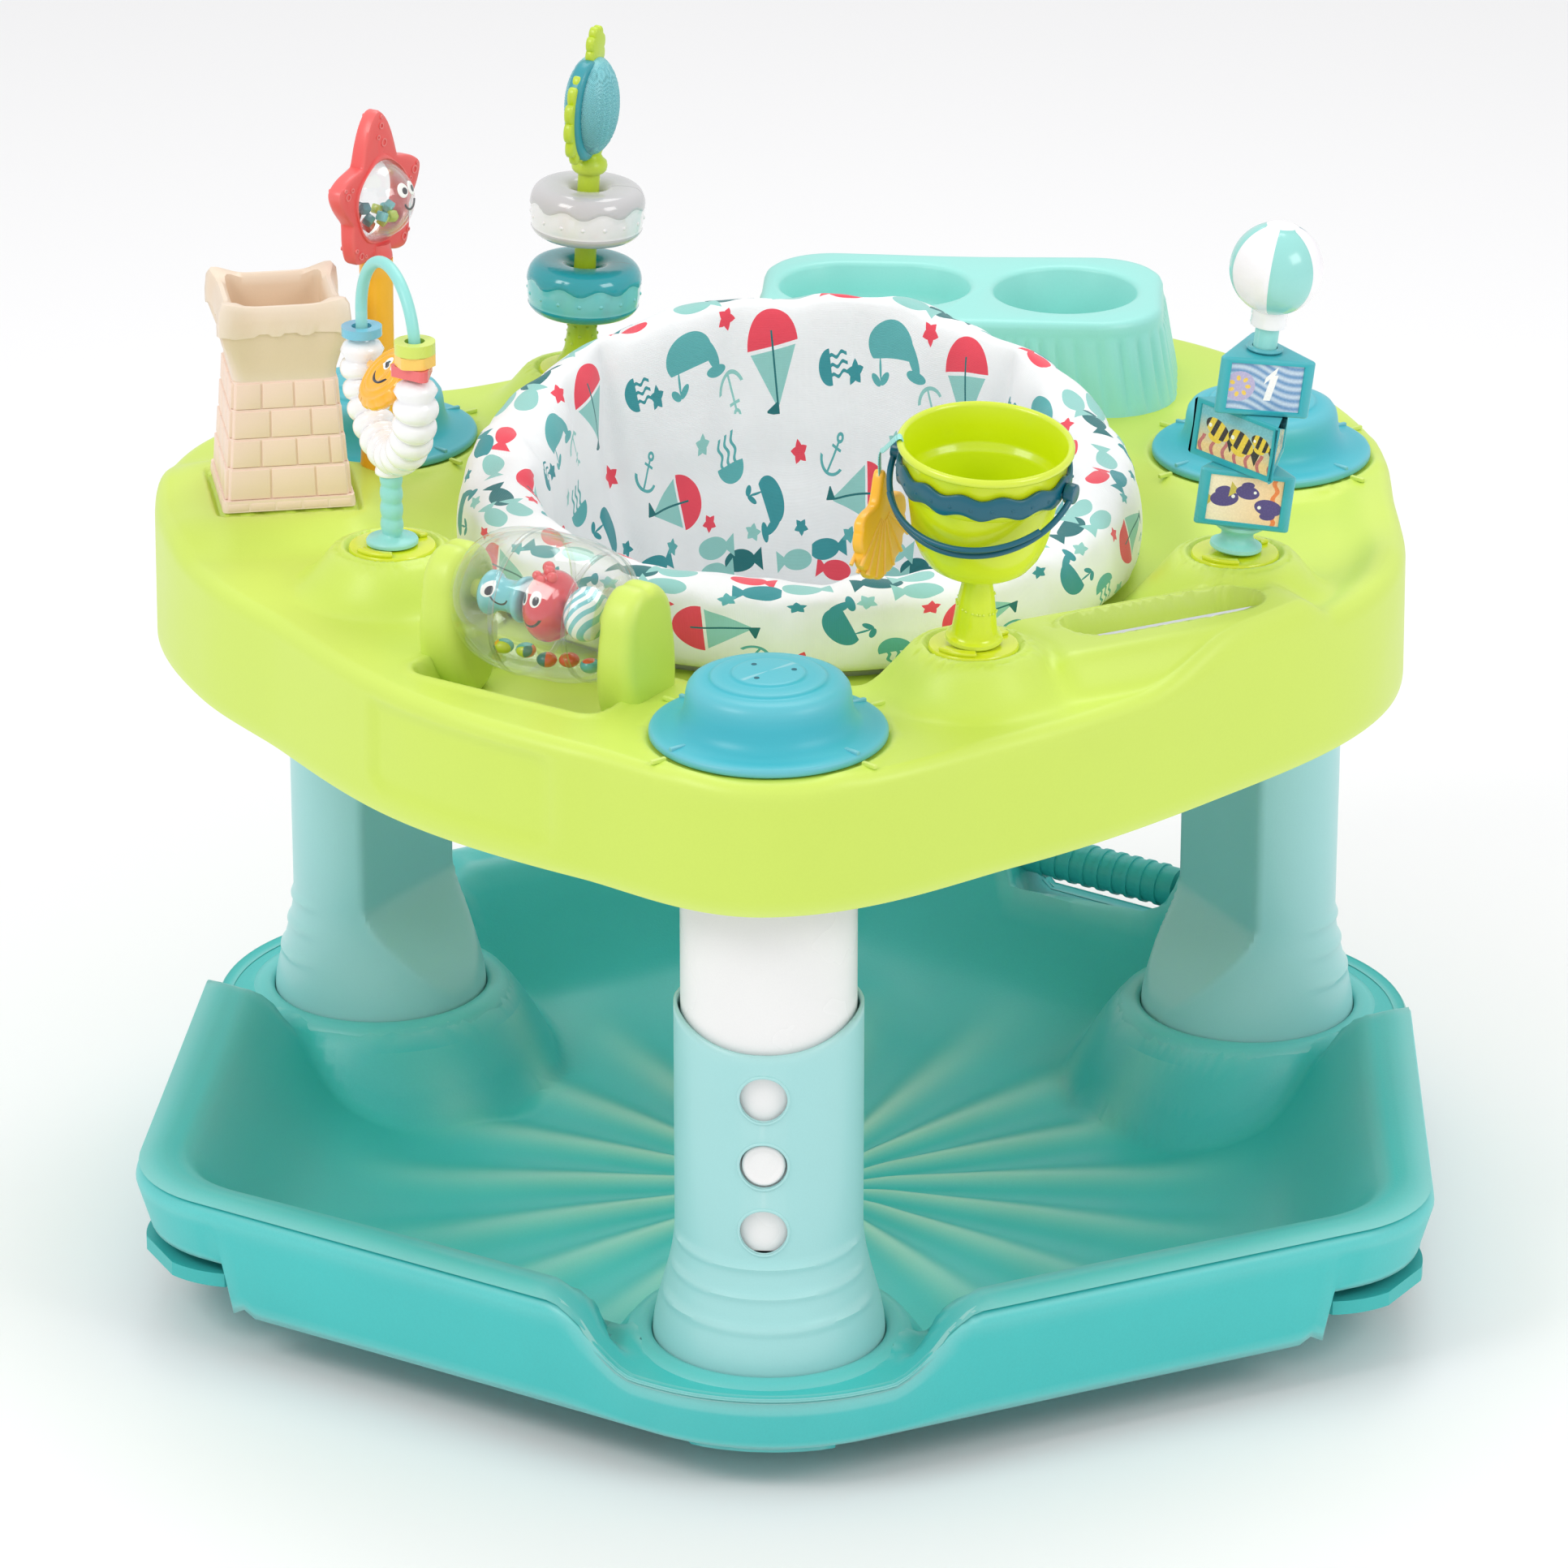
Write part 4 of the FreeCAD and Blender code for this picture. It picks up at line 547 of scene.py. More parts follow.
# ------------------------------------------------------------ tray
# The lime tray is one moulding: a rounded outline that swells at the legs, the castle and the
# snack tray, a dish round the seat, soft mounds for the toys, and a pocket for the drum.
tray_skin = plastic("tray_lime", paint(203, 226, 92), rough=0.38, grain=0.35, grain_size=1.2, mottle=0.05)
TRAY_OUTLINE = [(-90, 365), (-107, 333), (-128, 317), (-150, 311), (-166, 333), (-183, 361), (-200, 378),
                (-214, 362), (-229, 319), (-248, 324), (-268, 352), (-284, 388), (-298, 408), (-313, 396),
                (-330, 370), (-346, 340), (-370, 330), (-400, 302), (-426, 318)]
HUBS = {"arch": (-215.6, -91), "bucket": (103, -220), "blocks": (239.4, -76), "rings": (-138, 209)}
CASTLE, CASTLE_TURN = (-290, 30), 13
DRUM, DRUM_AZIMUTH = (-122, -207), -29.5
MIRROR, MIRROR_AZIMUTH = (206, -163), 29.6
DECK, DISH = 400, 385


def tray_reach(azimuth):
    """The tray's outline: a smooth curve through its named bulges and waists."""
    azimuth = -90 - (-90 - azimuth) % 360
    count = len(TRAY_OUTLINE)
    for index in range(count):
        start, first = TRAY_OUTLINE[index]
        end, second = TRAY_OUTLINE[(index + 1) % count]
        end -= 360 if index == count - 1 else 0
        if end <= azimuth <= start:
            before, zero = TRAY_OUTLINE[index - 1]
            before += 360 if index == 0 else 0
            after, third = TRAY_OUTLINE[(index + 2) % count]
            after -= 360 if index >= count - 2 else 0
            t = (azimuth - start) / (end - start)
            rise = (second - zero) / (end - before) * (end - start)
            fall = (third - first) / (after - start) * (end - start)
            return ((2 * t ** 3 - 3 * t ** 2 + 1) * first + (t ** 3 - 2 * t ** 2 + t) * rise
                    + (3 * t ** 2 - 2 * t ** 3) * second + (t ** 3 - t ** 2) * fall)
    return TRAY_OUTLINE[0][1]


def in_frame(x, y, spot, azimuth):
    return side_of(x - spot[0], y - spot[1], azimuth)


def box_gap(x, y, half_x, half_y, corner):
    """Distance outside a rounded rectangle, negative inside."""
    over_x, over_y = abs(x) - half_x + corner, abs(y) - half_y + corner
    return math.hypot(max(over_x, 0), max(over_y, 0)) + min(max(over_x, over_y), 0) - corner


def deck_height(x, y, edge):
    """The moulding's top at a place; edge is the distance in from the outline."""
    reach = math.hypot(x, y)
    height = DISH + (DECK - DISH) * ease(reach, 190, 232)
    along, across = in_frame(x, y, CASTLE, CASTLE_TURN)
    plateau = 11 * (1 - ease(box_gap(along, across, 52, 52, 20), -6, 34)) * ease(reach, 215, 250)
    height += plateau
    # low swales between the mounds, and the raised outer lip on the right
    turn = math.degrees(math.atan2(y, x))
    height -= 5 * ease(edge, 14, 40) * (1 - ease(edge, 60, 110)) * (ease(turn, -16, -4) * (1 - ease(turn, 12, 24)))
    height += 5 * (1 - ease(edge, 10, 30)) * (ease(turn, -50, -30) * (1 - ease(turn, -4, 8)))
    for spot in HUBS.values():
        apart = math.hypot(x - spot[0], y - spot[1])
        if apart > 110:
            continue
        slope = 424 - 0.35 * max(0.0, apart - 27) - 0.85 * max(0.0, apart - 33)
        if apart < 27:
            slope = 424
        if apart > 62:
            slope = 424 - 2 - 1.75 * 31 + 0.0
        height = swell(slope, height, 9) if apart > 30 else slope
        if apart < 30:
            height = 424 - 0.02 * (apart - 27) ** 2 * 12 * (apart > 27)
        height -= 2.6 * (1 - ease(apart, 24.6, 26.2))
    # the long mound of the mirror with its round-ended slot
    along, across = in_frame(x, y, MIRROR, MIRROR_AZIMUTH + 180)
    if abs(along) < 120 and -80 < across < 90:
        ends = 1 - ease(abs(along), 70, 108)
        crown = 418 + 0.2 * (across + 34)
        inner = 420 - 1.1 * max(0.0, -36 - across)
        outer = 431 - 1.25 * max(0.0, across - 18)
        mound = 396 + (-swell(swell(-crown, -inner, 6), -outer, 6) - 396) * ends
        if edge > 0:
            height = swell(mound, height, 6)
        slot_gap = math.hypot(max(abs(along) - 38, 0), across + 10) - 20
        bed = 397 + 0.45 * (across + 48) - 8
        height = bed + (height - bed) * ease(slot_gap, -2.0, 0.8)
        height -= 1.6 * math.exp(-((slot_gap - 5) / 1.4) ** 2) * (across < -10)
    # pocket of the drum
    along, across = in_frame(x, y, DRUM, DRUM_AZIMUTH)
    pocket = box_gap(along, across, 57.5, 42.5, 9)
    if pocket < 12:
        wall = ease(pocket, -3.5, 2.5)
        height = 378 + (height - 378) * wall + 1.2 * math.exp(-((pocket - 5) / 3) ** 2)
    # dark gap round the castle's foot
    along, across = in_frame(x, y, CASTLE, CASTLE_TURN)
    foot = box_gap(along, across, 39.5, 39.5, 5)
    if foot < 3:
        height -= 3.2 * (1 - ease(foot, -0.8, 1.6)) * ease(foot, -4.5, -2.5)
    # seats of the leg caps
    for heading in LEGS.values():
        along, across = side_of(x, y, heading)
        apart = math.hypot(along - LEG_CIRCLE, across)
        if apart < 72:
            height = DECK + (height - DECK) * ease(apart, 63, 72)
            height += 1.0 * math.exp(-((apart - 65.5) / 1.8) ** 2) - 0.6 * (1 - ease(apart, 62.5, 64))
    return height


tray = spun([(176 + step, 0) for step in range(60)] + [(240 + step, 0) for step in range(24)], 400)
tray_reaches = {}


def on_tray(vert):
    """Where a vertex of the flat ring goes: deck, rolled edge, skirt, or the lip under it."""
    reach = vert.co.xy.length
    azimuth = math.degrees(math.atan2(vert.co.y, vert.co.x))
    key = round(azimuth, 4)
    if key not in tray_reaches:
        tray_reaches[key] = tray_reach(azimuth)
    outline = tray_reaches[key]
    turn = math.radians(azimuth)
    bend = 9
    if reach < 237.5:
        share = (reach - 176) / 59
        spread = 176 + (outline - bend - 176) * share
        x, y = spread * math.cos(turn), spread * math.sin(turn)
        return (x, y, deck_height(x, y, outline - spread))
    spread = outline - bend
    x, y = spread * math.cos(turn), spread * math.sin(turn)
    edge_top = deck_height(x, y, bend)
    station = reach - 240
    if station <= 7.5:
        arc = max(station, 0.4) / 7 * math.pi / 2
        drop = 1 - math.cos(arc)
        spread += bend * math.sin(arc)
        level = edge_top - drop * (9 + 0.5 * max(0.0, edge_top - DECK))
    else:
        start = edge_top - 9 - 0.5 * max(0.0, edge_top - DECK)
        down = (station - 7) / 15
        spread = outline + 0.8 * down
        level = start - (start - 328) * min(down, 1.0)
        if station > 22.3:
            spread, level = outline - 2.4, 328.4
        # the embossed panel left of the front leg
        panel = box_gap((azimuth + 121.5) * 5.6, level - 366, 64, 26, 12)
        spread -= 2.6 * (1 - ease(panel, -2.2, 0.6)) * (1 - ease(level, 388, 391))
        label = box_gap((azimuth + 94) * 6.2, level - 343, 21, 12, 1)
        spread -= 0.5 * math.exp(-(label / 0.9) ** 2)
    return (spread * math.cos(turn), spread * math.sin(turn), level)


def fine_edges(bm, wanted):
    return [edge for edge in bm.edges if all(wanted(vert) for vert in edge.verts)]


def needs_detail(vert):
    x, y, _ = on_tray(vert)
    if vert.co.xy.length > 236:
        return False
    along, across = in_frame(x, y, DRUM, DRUM_AZIMUTH)
    near_pocket = -9 < box_gap(along, across, 57.5, 42.5, 9) < 9
    along, across = in_frame(x, y, MIRROR, MIRROR_AZIMUTH + 180)
    near_slot = abs(math.hypot(max(abs(along) - 40, 0), across + 12) - 17) < 7
    along, across = in_frame(x, y, CASTLE, CASTLE_TURN)
    near_castle = abs(box_gap(along, across, 39.5, 39.5, 5)) < 6
    near_hub = any(20 < math.hypot(x - spot[0], y - spot[1]) < 32 for spot in HUBS.values())
    near_cap = any(60 < math.hypot(side_of(x, y, heading)[0] - LEG_CIRCLE, side_of(x, y, heading)[1]) < 69
                   for heading in LEGS.values())
    return near_pocket or near_slot or near_castle or near_hub or near_cap


bmesh.ops.subdivide_edges(tray, edges=fine_edges(tray, needs_detail), cuts=1, use_grid_fill=True)
moved = [(vert, on_tray(vert)) for vert in tray.verts]
for vert, spot in moved:
    vert.co = spot
rim_edges = [edge for edge in tray.edges if edge.is_boundary and edge.verts[0].co.xy.length < 180]
drawn = bmesh.ops.extrude_edge_only(tray, edges=rim_edges)["geom"]
for vert in drawn:
    if isinstance(vert, bmesh.types.BMVert):
        vert.co.z -= 19
lay(tray, "tray_moulding", "tray", "tray_lime", tray_skin, replaces=["tray_shell"], sharp=60, wall=3)

# two thumb-shaped lugs rise from the pocket's ends and hold the drum's axle
for side in (-1, 1):
    lug = bmesh.new()
    disc = bmesh.ops.create_circle(lug, cap_ends=True, segments=48, radius=1)["verts"]
    for vert in disc:
        turn = math.atan2(vert.co.y, vert.co.x)
        across, up = math.cos(turn), math.sin(turn)
        low = up < 0
        vert.co = (0, across * (22 + (7 * (-up) ** 0.7 if low else 0)), 437 + (22.5 * up if not low else 62 * up))
    face = disc[0].link_faces[0]
    thick = bmesh.ops.extrude_face_region(lug, geom=[face])["geom"]
    for vert in thick:
        if isinstance(vert, bmesh.types.BMVert):
            vert.co.x += 22
    bmesh.ops.recalc_face_normals(lug, faces=lug.faces)
    hoops = [edge for edge in lug.edges if abs(edge.verts[0].co.x - edge.verts[1].co.x) < 0.1]
    bmesh.ops.bevel(lug, geom=hoops, offset=7.5, offset_type="OFFSET", segments=6, profile=0.5,
                    affect="EDGES", material=-1)
    for vert in lug.verts:
        nick = math.exp(-((vert.co.y / 3.2) ** 2)) * ease(vert.co.z, 452, 459)
        vert.co.z -= 2.2 * nick
        lean = ease(437 - vert.co.z, 0, 60)
        vert.co.x += (vert.co.x - 11) * 0.35 * lean
    shift = (DRUM[0], DRUM[1], 0)
    place = (Matrix.Translation(shift) @ Matrix.Rotation(math.radians(DRUM_AZIMUTH), 4, "Z")
             @ Matrix.Translation((side * 56.5 - 11, 0, 0)))
    lay(lug, "drum_lug_" + ("right" if side > 0 else "left"), "tray", "tray_lime", tray_skin, sharp=50,
        place=place)

# ------------------------------------------------------------ toy locks
# A yellow-green bayonet disc closes each mound; two hooked lugs curl over its face.
lock_skin = plastic("lock_yellow", paint(214, 226, 22), rough=0.22, grain=0.1, coat=0.3, edge_highlight=0.05)
for name, (x, y) in HUBS.items():
    disc = spun([(0.1, 424.2), (21.6, 424.2), (23.2, 423.9), (23.8, 423.0), (23.8, 421.4), (0.1, 421.4)], 96)
    for turn in (0.6, 0.6 + math.pi):
        hook = bmesh.new()
        path = [turn + step * 0.12 for step in range(10)]
        line = [hook.verts.new((16.8 * math.cos(a), 16.8 * math.sin(a), 424)) for a in path]
        outer = [hook.verts.new((22.2 * math.cos(a), 22.2 * math.sin(a), 424)) for a in path]
        for index in range(9):
            hook.faces.new((line[index], outer[index], outer[index + 1], line[index + 1]))
        up = bmesh.ops.extrude_face_region(hook, geom=hook.faces[:])["geom"]
        for vert in up:
            if isinstance(vert, bmesh.types.BMVert):
                vert.co.z += 2.4
        bmesh.ops.recalc_face_normals(hook, faces=hook.faces)
        sharp_edges = [e for e in hook.edges if len(e.link_faces) == 2 and e.calc_face_angle(0) > 0.9]
        bmesh.ops.bevel(hook, geom=sharp_edges, offset=1.0, offset_type="OFFSET", segments=3, profile=0.5,
                        affect="EDGES", material=-1)
        spare = bpy.data.meshes.new("hook")
        hook.to_mesh(spare)
        disc.from_mesh(spare)
        hook.free()
        bpy.data.meshes.remove(spare)
    lock = lay(disc, "lock_" + name, "tray", "lock_yellow", lock_skin, place=Matrix.Translation((x, y, 0)))
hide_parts("toy_locks")

# ------------------------------------------------------------ seat
# A padded roll of printed woven polyester sits on the swivel ring and is higher behind the
# child; the same cloth falls inside it as a sling with two leg openings. Stitched by machine.
DARK, TEAL, AQUA, MID, CORAL = (paint(20, 112, 116), paint(52, 150, 158), paint(148, 208, 202),
                                paint(92, 178, 180), paint(240, 72, 92))
TILE = 0.132        # the print repeats this often, in metres


def sea_print(cloth):
    """The printed motifs in one repeat of the cloth: boats, fish, whales, stars, anchors."""
    state = {"colour": paint(246, 248, 250)}
    tile = cloth.vector("FRACTION")

    def stamp(mask, colour):
        state["colour"] = mask.tint(state["colour"], colour)

    def oval(place, size, turn=0.0):
        return tile.spot(place, size, turn).vector("LENGTH", out=1) < 1.0

    def either(first, second):
        return first.math("MAXIMUM", second)

    def fish(place, colour, turn=0.0, size=0.086):
        frame_ = tile.spot(place, (size, size), turn)
        across, up, _ = frame_.split()
        body = frame_.spot((0, 0), (1.0, 0.56)).vector("LENGTH", out=1) < 1.0
        tail = (up.math("ABSOLUTE") < (across * -0.75 - 0.5)) * (across > -1.45)
        stamp(either(body, tail), colour)

    def star(place, colour, size, turn=0.0):
        across, up, _ = tile.spot(place, (size, size), turn).split()
        folded = across.math("ARCTAN2", up).math("PINGPONG", math.pi / 5)
        reach = (across * across + up * up).math("SQRT")
        stamp(reach * (folded * 1.15 + 0.95 + (1.0 - folded * 1.0) * 0.05) < 1.0, colour)

    def boat(place, turn, size=0.134):
        frame_ = tile.spot(place, (size, size), turn)
        across, up, _ = frame_.split()
        disc = frame_.spot((0, 0), (0.92, 0.92)).vector("LENGTH", out=1) < 1.0
        sail = (up > 0.05) * (across.math("ABSOLUTE") < (up * -0.62 + 0.86)) * (up < 1.3)
        stamp(disc * (up < -0.04), CORAL)
        stamp(sail, AQUA)
        pole = (across.math("ABSOLUTE") < 0.035) * (up > -0.4) * (up < 1.55)
        flag = (across > 0.0) * (across < 0.42) * ((up - 1.38).math("ABSOLUTE") < (across * -0.35 + 0.17))
        stamp(either(pole, flag), DARK)

    def whale(place, colour, turn=0.0, size=0.118):
        frame_ = tile.spot(place, (size, size), turn)
        across, up, _ = frame_.split()
        body = (frame_.spot((0, 0), (1.0, 0.6)).vector("LENGTH", out=1) < 1.0) * (up < 0.34)
        stem = frame_.spot((-1.0, 0.25), (0.2, 0.5), 28).vector("LENGTH", out=1) < 1.0
        fluke = frame_.spot((-1.12, 0.72), (0.42, 0.16), -8).vector("LENGTH", out=1) < 1.0
        left = frame_.spot((0.32, 0.85), (0.24, 0.12), 35).vector("LENGTH", out=1) < 1.0
        right = frame_.spot((0.7, 0.88), (0.24, 0.12), -35).vector("LENGTH", out=1) < 1.0
        spout = (frame_.spot((0.5, 0.6), (0.05, 0.3)).vector("LENGTH", out=1)) < 1.0
        stamp(either(either(body, stem), either(fluke, either(spout, either(left, right)))), colour)

    def jelly(place, colour, turn=0.0, size=0.068):
        frame_ = tile.spot(place, (size, size), turn)
        across, up, _ = frame_.split()
        bell = (frame_.vector("LENGTH", out=1) < 1.0) * (up > -0.1)
        wave = ((across + (up * 7.0).math("SINE") * 0.1) * 12.0).math("COSINE") > 0.35
        legs = wave * (across.math("ABSOLUTE") < 0.8) * (up < -0.1) * (up > -1.55)
        stamp(either(bell, legs), colour)

    def anchor(place, colour, turn=0.0, size=0.08):
        frame_ = tile.spot(place, (size, size), turn)
        across, up, _ = frame_.split()
        reach = frame_.vector("LENGTH", out=1)
        arms = ((reach - 0.95).math("ABSOLUTE") < 0.11) * (up < -0.25)
        shank = (across.math("ABSOLUTE") < 0.08) * (up.math("ABSOLUTE") < 1.0)
        bar = (across.math("ABSOLUTE") < 0.4) * ((up - 0.62).math("ABSOLUTE") < 0.08)
        eye = ((frame_.spot((0, 1.2), (1, 1)).vector("LENGTH", out=1) - 0.2).math("ABSOLUTE")) < 0.09
        stamp(either(either(arms, shank), either(bar, eye)), colour)

    boat((0.20, 0.80), 8)
    boat((0.72, 0.27), -84)
    whale((0.62, 0.78), MID, 6)
    whale((0.22, 0.30), TEAL, -72, 0.108)
    fish((0.40, 0.56), DARK, 4)
    fish((0.56, 0.60), AQUA, 2)
    fish((0.55, 0.49), AQUA, 0)
    fish((0.86, 0.60), CORAL, 172, 0.078)
    fish((0.93, 0.51), TEAL, 8, 0.082)
    fish((0.08, 0.56), AQUA, 184, 0.08)
    jelly((0.42, 0.16), MID, 16)
    jelly((0.92, 0.86), TEAL, -78, 0.055)
    anchor((0.40, 0.93), AQUA, 20, 0.062)
    anchor((0.90, 0.13), MID, 150, 0.06)
    star((0.42, 0.70), CORAL, 0.044, 10)
    star((0.80, 0.88), TEAL, 0.042, 40)
    star((0.32, 0.44), AQUA, 0.042, 25)
    star((0.07, 0.12), CORAL, 0.044, 50)
    star((0.06, 0.42), TEAL, 0.04, 5)
    star((0.57, 0.07), AQUA, 0.04, 30)
    star((0.56, 0.38), CORAL, 0.042, 60)
    star((0.80, 0.45), MID, 0.04, 15)
    return state["colour"]


def seat_cloth():
    material, skin, flow = new_material("seat_print")
    cloth = flow.make("ShaderNodeUVMap", {"uv_map": "cloth"})
    motifs = sea_print(cloth)
    where = flow.make("ShaderNodeTexCoord", out="Object")
    across, up, _ = cloth.split()
    threads = TILE / 0.0006
    weave = ((across * (2 * math.pi * threads)).math("SINE") + (up * (2 * math.pi * threads)).math("SINE")) * 0.25
    crease = flow.make("ShaderNodeTexNoise", (), {
        "Vector": where, "Scale": 26.0, "Detail": 4.0, "Roughness": 0.55, "Distortion": 0.6})
    small = flow.make("ShaderNodeTexNoise", (), {"Vector": where, "Scale": 160.0, "Detail": 3.0})
    # rows of stitches in teal thread along the roll's lower edge
    stitch = ((up - 0.075).math("ABSOLUTE") < 0.007) * ((across * (2 * math.pi * 26)).math("SINE") > -0.35)
    colour = stitch.tint(motifs, paint(70, 168, 166))
    # painted shade: the crease noise, which is also the bump's height, darkens the colour a little in the creases; the
    # finer noise is random tone
    soft = flow.make("ShaderNodeHueSaturation", (), {"Value": crease * 0.05 + small * 0.03 + 0.95, "Color": colour})
    tree = material.node_tree
    tree.links.new(soft.socket, skin.inputs["Base Color"])
    tree.links.new((small * 0.15 + 0.58).socket, skin.inputs["Roughness"])
    height = weave + crease * 9.0 + small * 0.9 - stitch * 0.8
    bump = flow.make("ShaderNodeBump", (), {"Strength": 0.5, "Distance": 0.0003, "Height": height})
    tree.links.new(bump.socket, skin.inputs["Normal"])
    skin.inputs["Sheen Weight"].default_value = 0.25
    skin.inputs["Sheen Roughness"].default_value = 0.4
    return material


def roll_top(turn):
    """The roll is low in front, a little higher at the sides and tall behind."""
    behind = 0.5 + 0.5 * math.sin(turn)
    return 437 + 50 * behind ** 2.3


seat_profile = []          # share of the roll's height, radius and level below the roll
for radius, share, level in ((118, 0, 254), (124, 0, 275), (131, 0, 300), (138, 0, 330), (145, 0, 360),
                             (150, 0, 380), (160, 0, 388), (174, 0, 388.5), (183, 0.02, 389),
                             (185.5, 0.12, 389), (185.6, 0.25, 389), (185.4, 0.4, 389), (184.6, 0.55, 389),
                             (183.0, 0.7, 389), (180.2, 0.83, 389), (175.5, 0.93, 389), (169.5, 0.985, 389),
                             (163, 1.0, 389), (157, 0.98, 389), (152, 0.92, 389), (148.6, 0.82, 389),
                             (146.2, 0.68, 389), (144.8, 0.5, 389), (143.8, 0.32, 389), (142.6, 0.15, 389),
                             (141, 0, 385), (138, 0, 368), (134, 0, 350), (129.5, 0, 330), (124.5, 0, 310),
                             (119, 0, 290), (113, 0, 272), (104, 0, 260.5), (88, 0, 255.6), (60, 0, 254.6),
                             (30, 0, 254.2), (0.2, 0, 254)):
    seat_profile.append((radius, share, level))
seat_profile += [(0.2, 0, 250.2), (30, 0, 250.2), (60, 0, 250.3), (88, 0, 250.6), (108, 0, 251.2)]
STATIONS = len(seat_profile)
seat = spun([(100 + 2 * index, 0) for index in range(STATIONS)], 200)
lengths = [0.0]
for (ra, sa, la), (rb, sb, lb) in zip(seat_profile, seat_profile[1:]):
    lengths.append(lengths[-1] + math.hypot(rb - ra, (lb - la) + (sb - sa) * 66))
loop_start = lengths[8]
station_of = seat.verts.layers.float.new("station")
for vert in seat.verts:
    station = int(round((vert.co.xy.length - 100) / 2))
    turn = math.atan2(vert.co.y, vert.co.x)
    radius, share, level = seat_profile[station]
    crown = roll_top(turn) - 389
    height = level + share * crown
    inside = ease(station, 17, 25) * (1 - ease(station, 31, 35))
    fold = math.sin(turn * 14 + 1.3 * math.sin(turn * 5)) + 0.6 * math.sin(turn * 23 + 2.1)
    radius += inside * (1.6 * fold + 2.6 * math.exp(-((turn - 2.4) / 0.06) ** 2))
    # thin behind the child, where the padding stops short of the cloth's edge
    thin = ease(math.sin(turn), 0.1, 0.85)
    if 18 < station < 26:
        radius += 9 * thin * math.sin((station - 18) / 8 * math.pi) ** 0.7
    if 9 <= station <= 14:
        radius -= 3.5 * thin * ease(station, 9, 14)
    # gathers where the roll is sewn to its edge, and slack dents over the top
    pucker = noise.noise(Vector((math.cos(turn) * 9, math.sin(turn) * 9, station * 0.22)))
    rolled = ease(station, 8, 10) * (1 - ease(station, 24, 27))
    radius += rolled * 3.0 * pucker
    height += rolled * 3.2 * noise.noise(Vector((math.cos(turn) * 5 + 7, math.sin(turn) * 5, station * 0.15)))
    vert.co = (radius * math.cos(turn), radius * math.sin(turn), height)
    vert[station_of] = lengths[station]
    if station == 0 or station == STATIONS - 1:
        vert[station_of] = lengths[station]
hem = [edge for edge in seat.edges if edge.is_boundary]
bmesh.ops.bridge_loops(seat, edges=[edge for edge in hem if edge.verts[0].co.xy.length > 50])
seat_piece = lay(seat, "seat_cushion", "seat", "seat_print", seat_cloth(), replaces=["seat_fabric"], sharp=0)

# the filling swells the roll under a light pressure while the sling hardly moves
rest = [vert.co.copy() for vert in seat_piece.data.vertices]
held = seat_piece.vertex_groups.new(name="held")
for vert in seat_piece.data.vertices:
    low = vert.co.z < 0.392 and vert.co.xy.length > 0.15
    held.add([vert.index], 1.0 if low else (0.35 if vert.co.z < 0.38 else 0.0), "REPLACE")
cloth = seat_piece.modifiers.new("stuffing", "CLOTH")
cloth.settings.use_pressure = True
cloth.settings.uniform_pressure_force = 4
cloth.settings.tension_stiffness = 12
cloth.settings.shrink_min = -0.035
cloth.settings.effector_weights.gravity = 0
cloth.settings.vertex_group_mass = "held"
cloth.settings.quality = 4
cloth.collision_settings.use_collision = False
cloth.point_cache.frame_start, cloth.point_cache.frame_end = 1, 18
for step in range(1, 19):
    bpy.context.scene.frame_set(step)
swollen = seat_piece.evaluated_get(bpy.context.evaluated_depsgraph_get()).to_mesh()
moves = [after.co - before for after, before in zip(swollen.vertices, rest)]
seat_piece.modifiers.clear()
for vert, before, move in zip(seat_piece.data.vertices, rest, moves):
    limit = 0.0065 if before.z > 0.392 else 0.002
    if before.xy.length > 0.180 or before.z > 0.48:
        limit = 0.003
    vert.co = before + move * min(1.0, limit / max(move.length, 1e-9))
bpy.context.scene.frame_set(1)

openings = bmesh.new()
for side in (-1, 1):
    tilt = Matrix.Translation((side * 60, -30, 258)) @ Matrix.Rotation(side * -0.35, 4, "Y")
    bmesh.ops.create_cone(openings, cap_ends=True, segments=48, radius1=44, radius2=44, depth=70, matrix=tilt)
openings.transform(Matrix.Scale(0.001, 4))
cutter = bpy.data.objects.new("openings", bpy.data.meshes.new("openings"))
openings.to_mesh(cutter.data)
openings.free()
bpy.context.scene.collection.objects.link(cutter)
cut = seat_piece.modifiers.new("openings", "BOOLEAN")
cut.object, cut.operation, cut.solver = cutter, "DIFFERENCE", "MANIFOLD"
bpy.context.view_layer.update()
seat_data = bpy.data.meshes.new_from_object(seat_piece.evaluated_get(bpy.context.evaluated_depsgraph_get()))
seat_piece.modifiers.clear()
seat_piece.data = seat_data
bpy.data.objects.remove(cutter)

# the cloth's own coordinates: round the seat, and along the sling and over the roll
cloth_map = seat_data.uv_layers.new(name="cloth")
stations = seat_data.attributes["station"].data
around = 8
for polygon in seat_data.polygons:
    middle = math.atan2(polygon.center.y, polygon.center.x)
    for loop in polygon.loop_indices:
        vert = seat_data.loops[loop].vertex_index
        spot = seat_data.vertices[vert].co
        turn = math.atan2(spot.y, spot.x)
        turn += 2 * math.pi * round((middle - turn) / (2 * math.pi))
        cloth_map.data[loop].uv = (turn / (2 * math.pi) * around,
                                   (stations[vert].value - loop_start) * 0.001 / TILE + 20)
seat_data.shade_smooth()
fine = seat_piece.modifiers.new("rounding", "SUBSURF")
fine.levels = fine.render_levels = 1
for name in ("seat_track", "seat_ring"):
    nodes[name].data.materials.clear()
    nodes[name].data.materials.append(tube_skin)

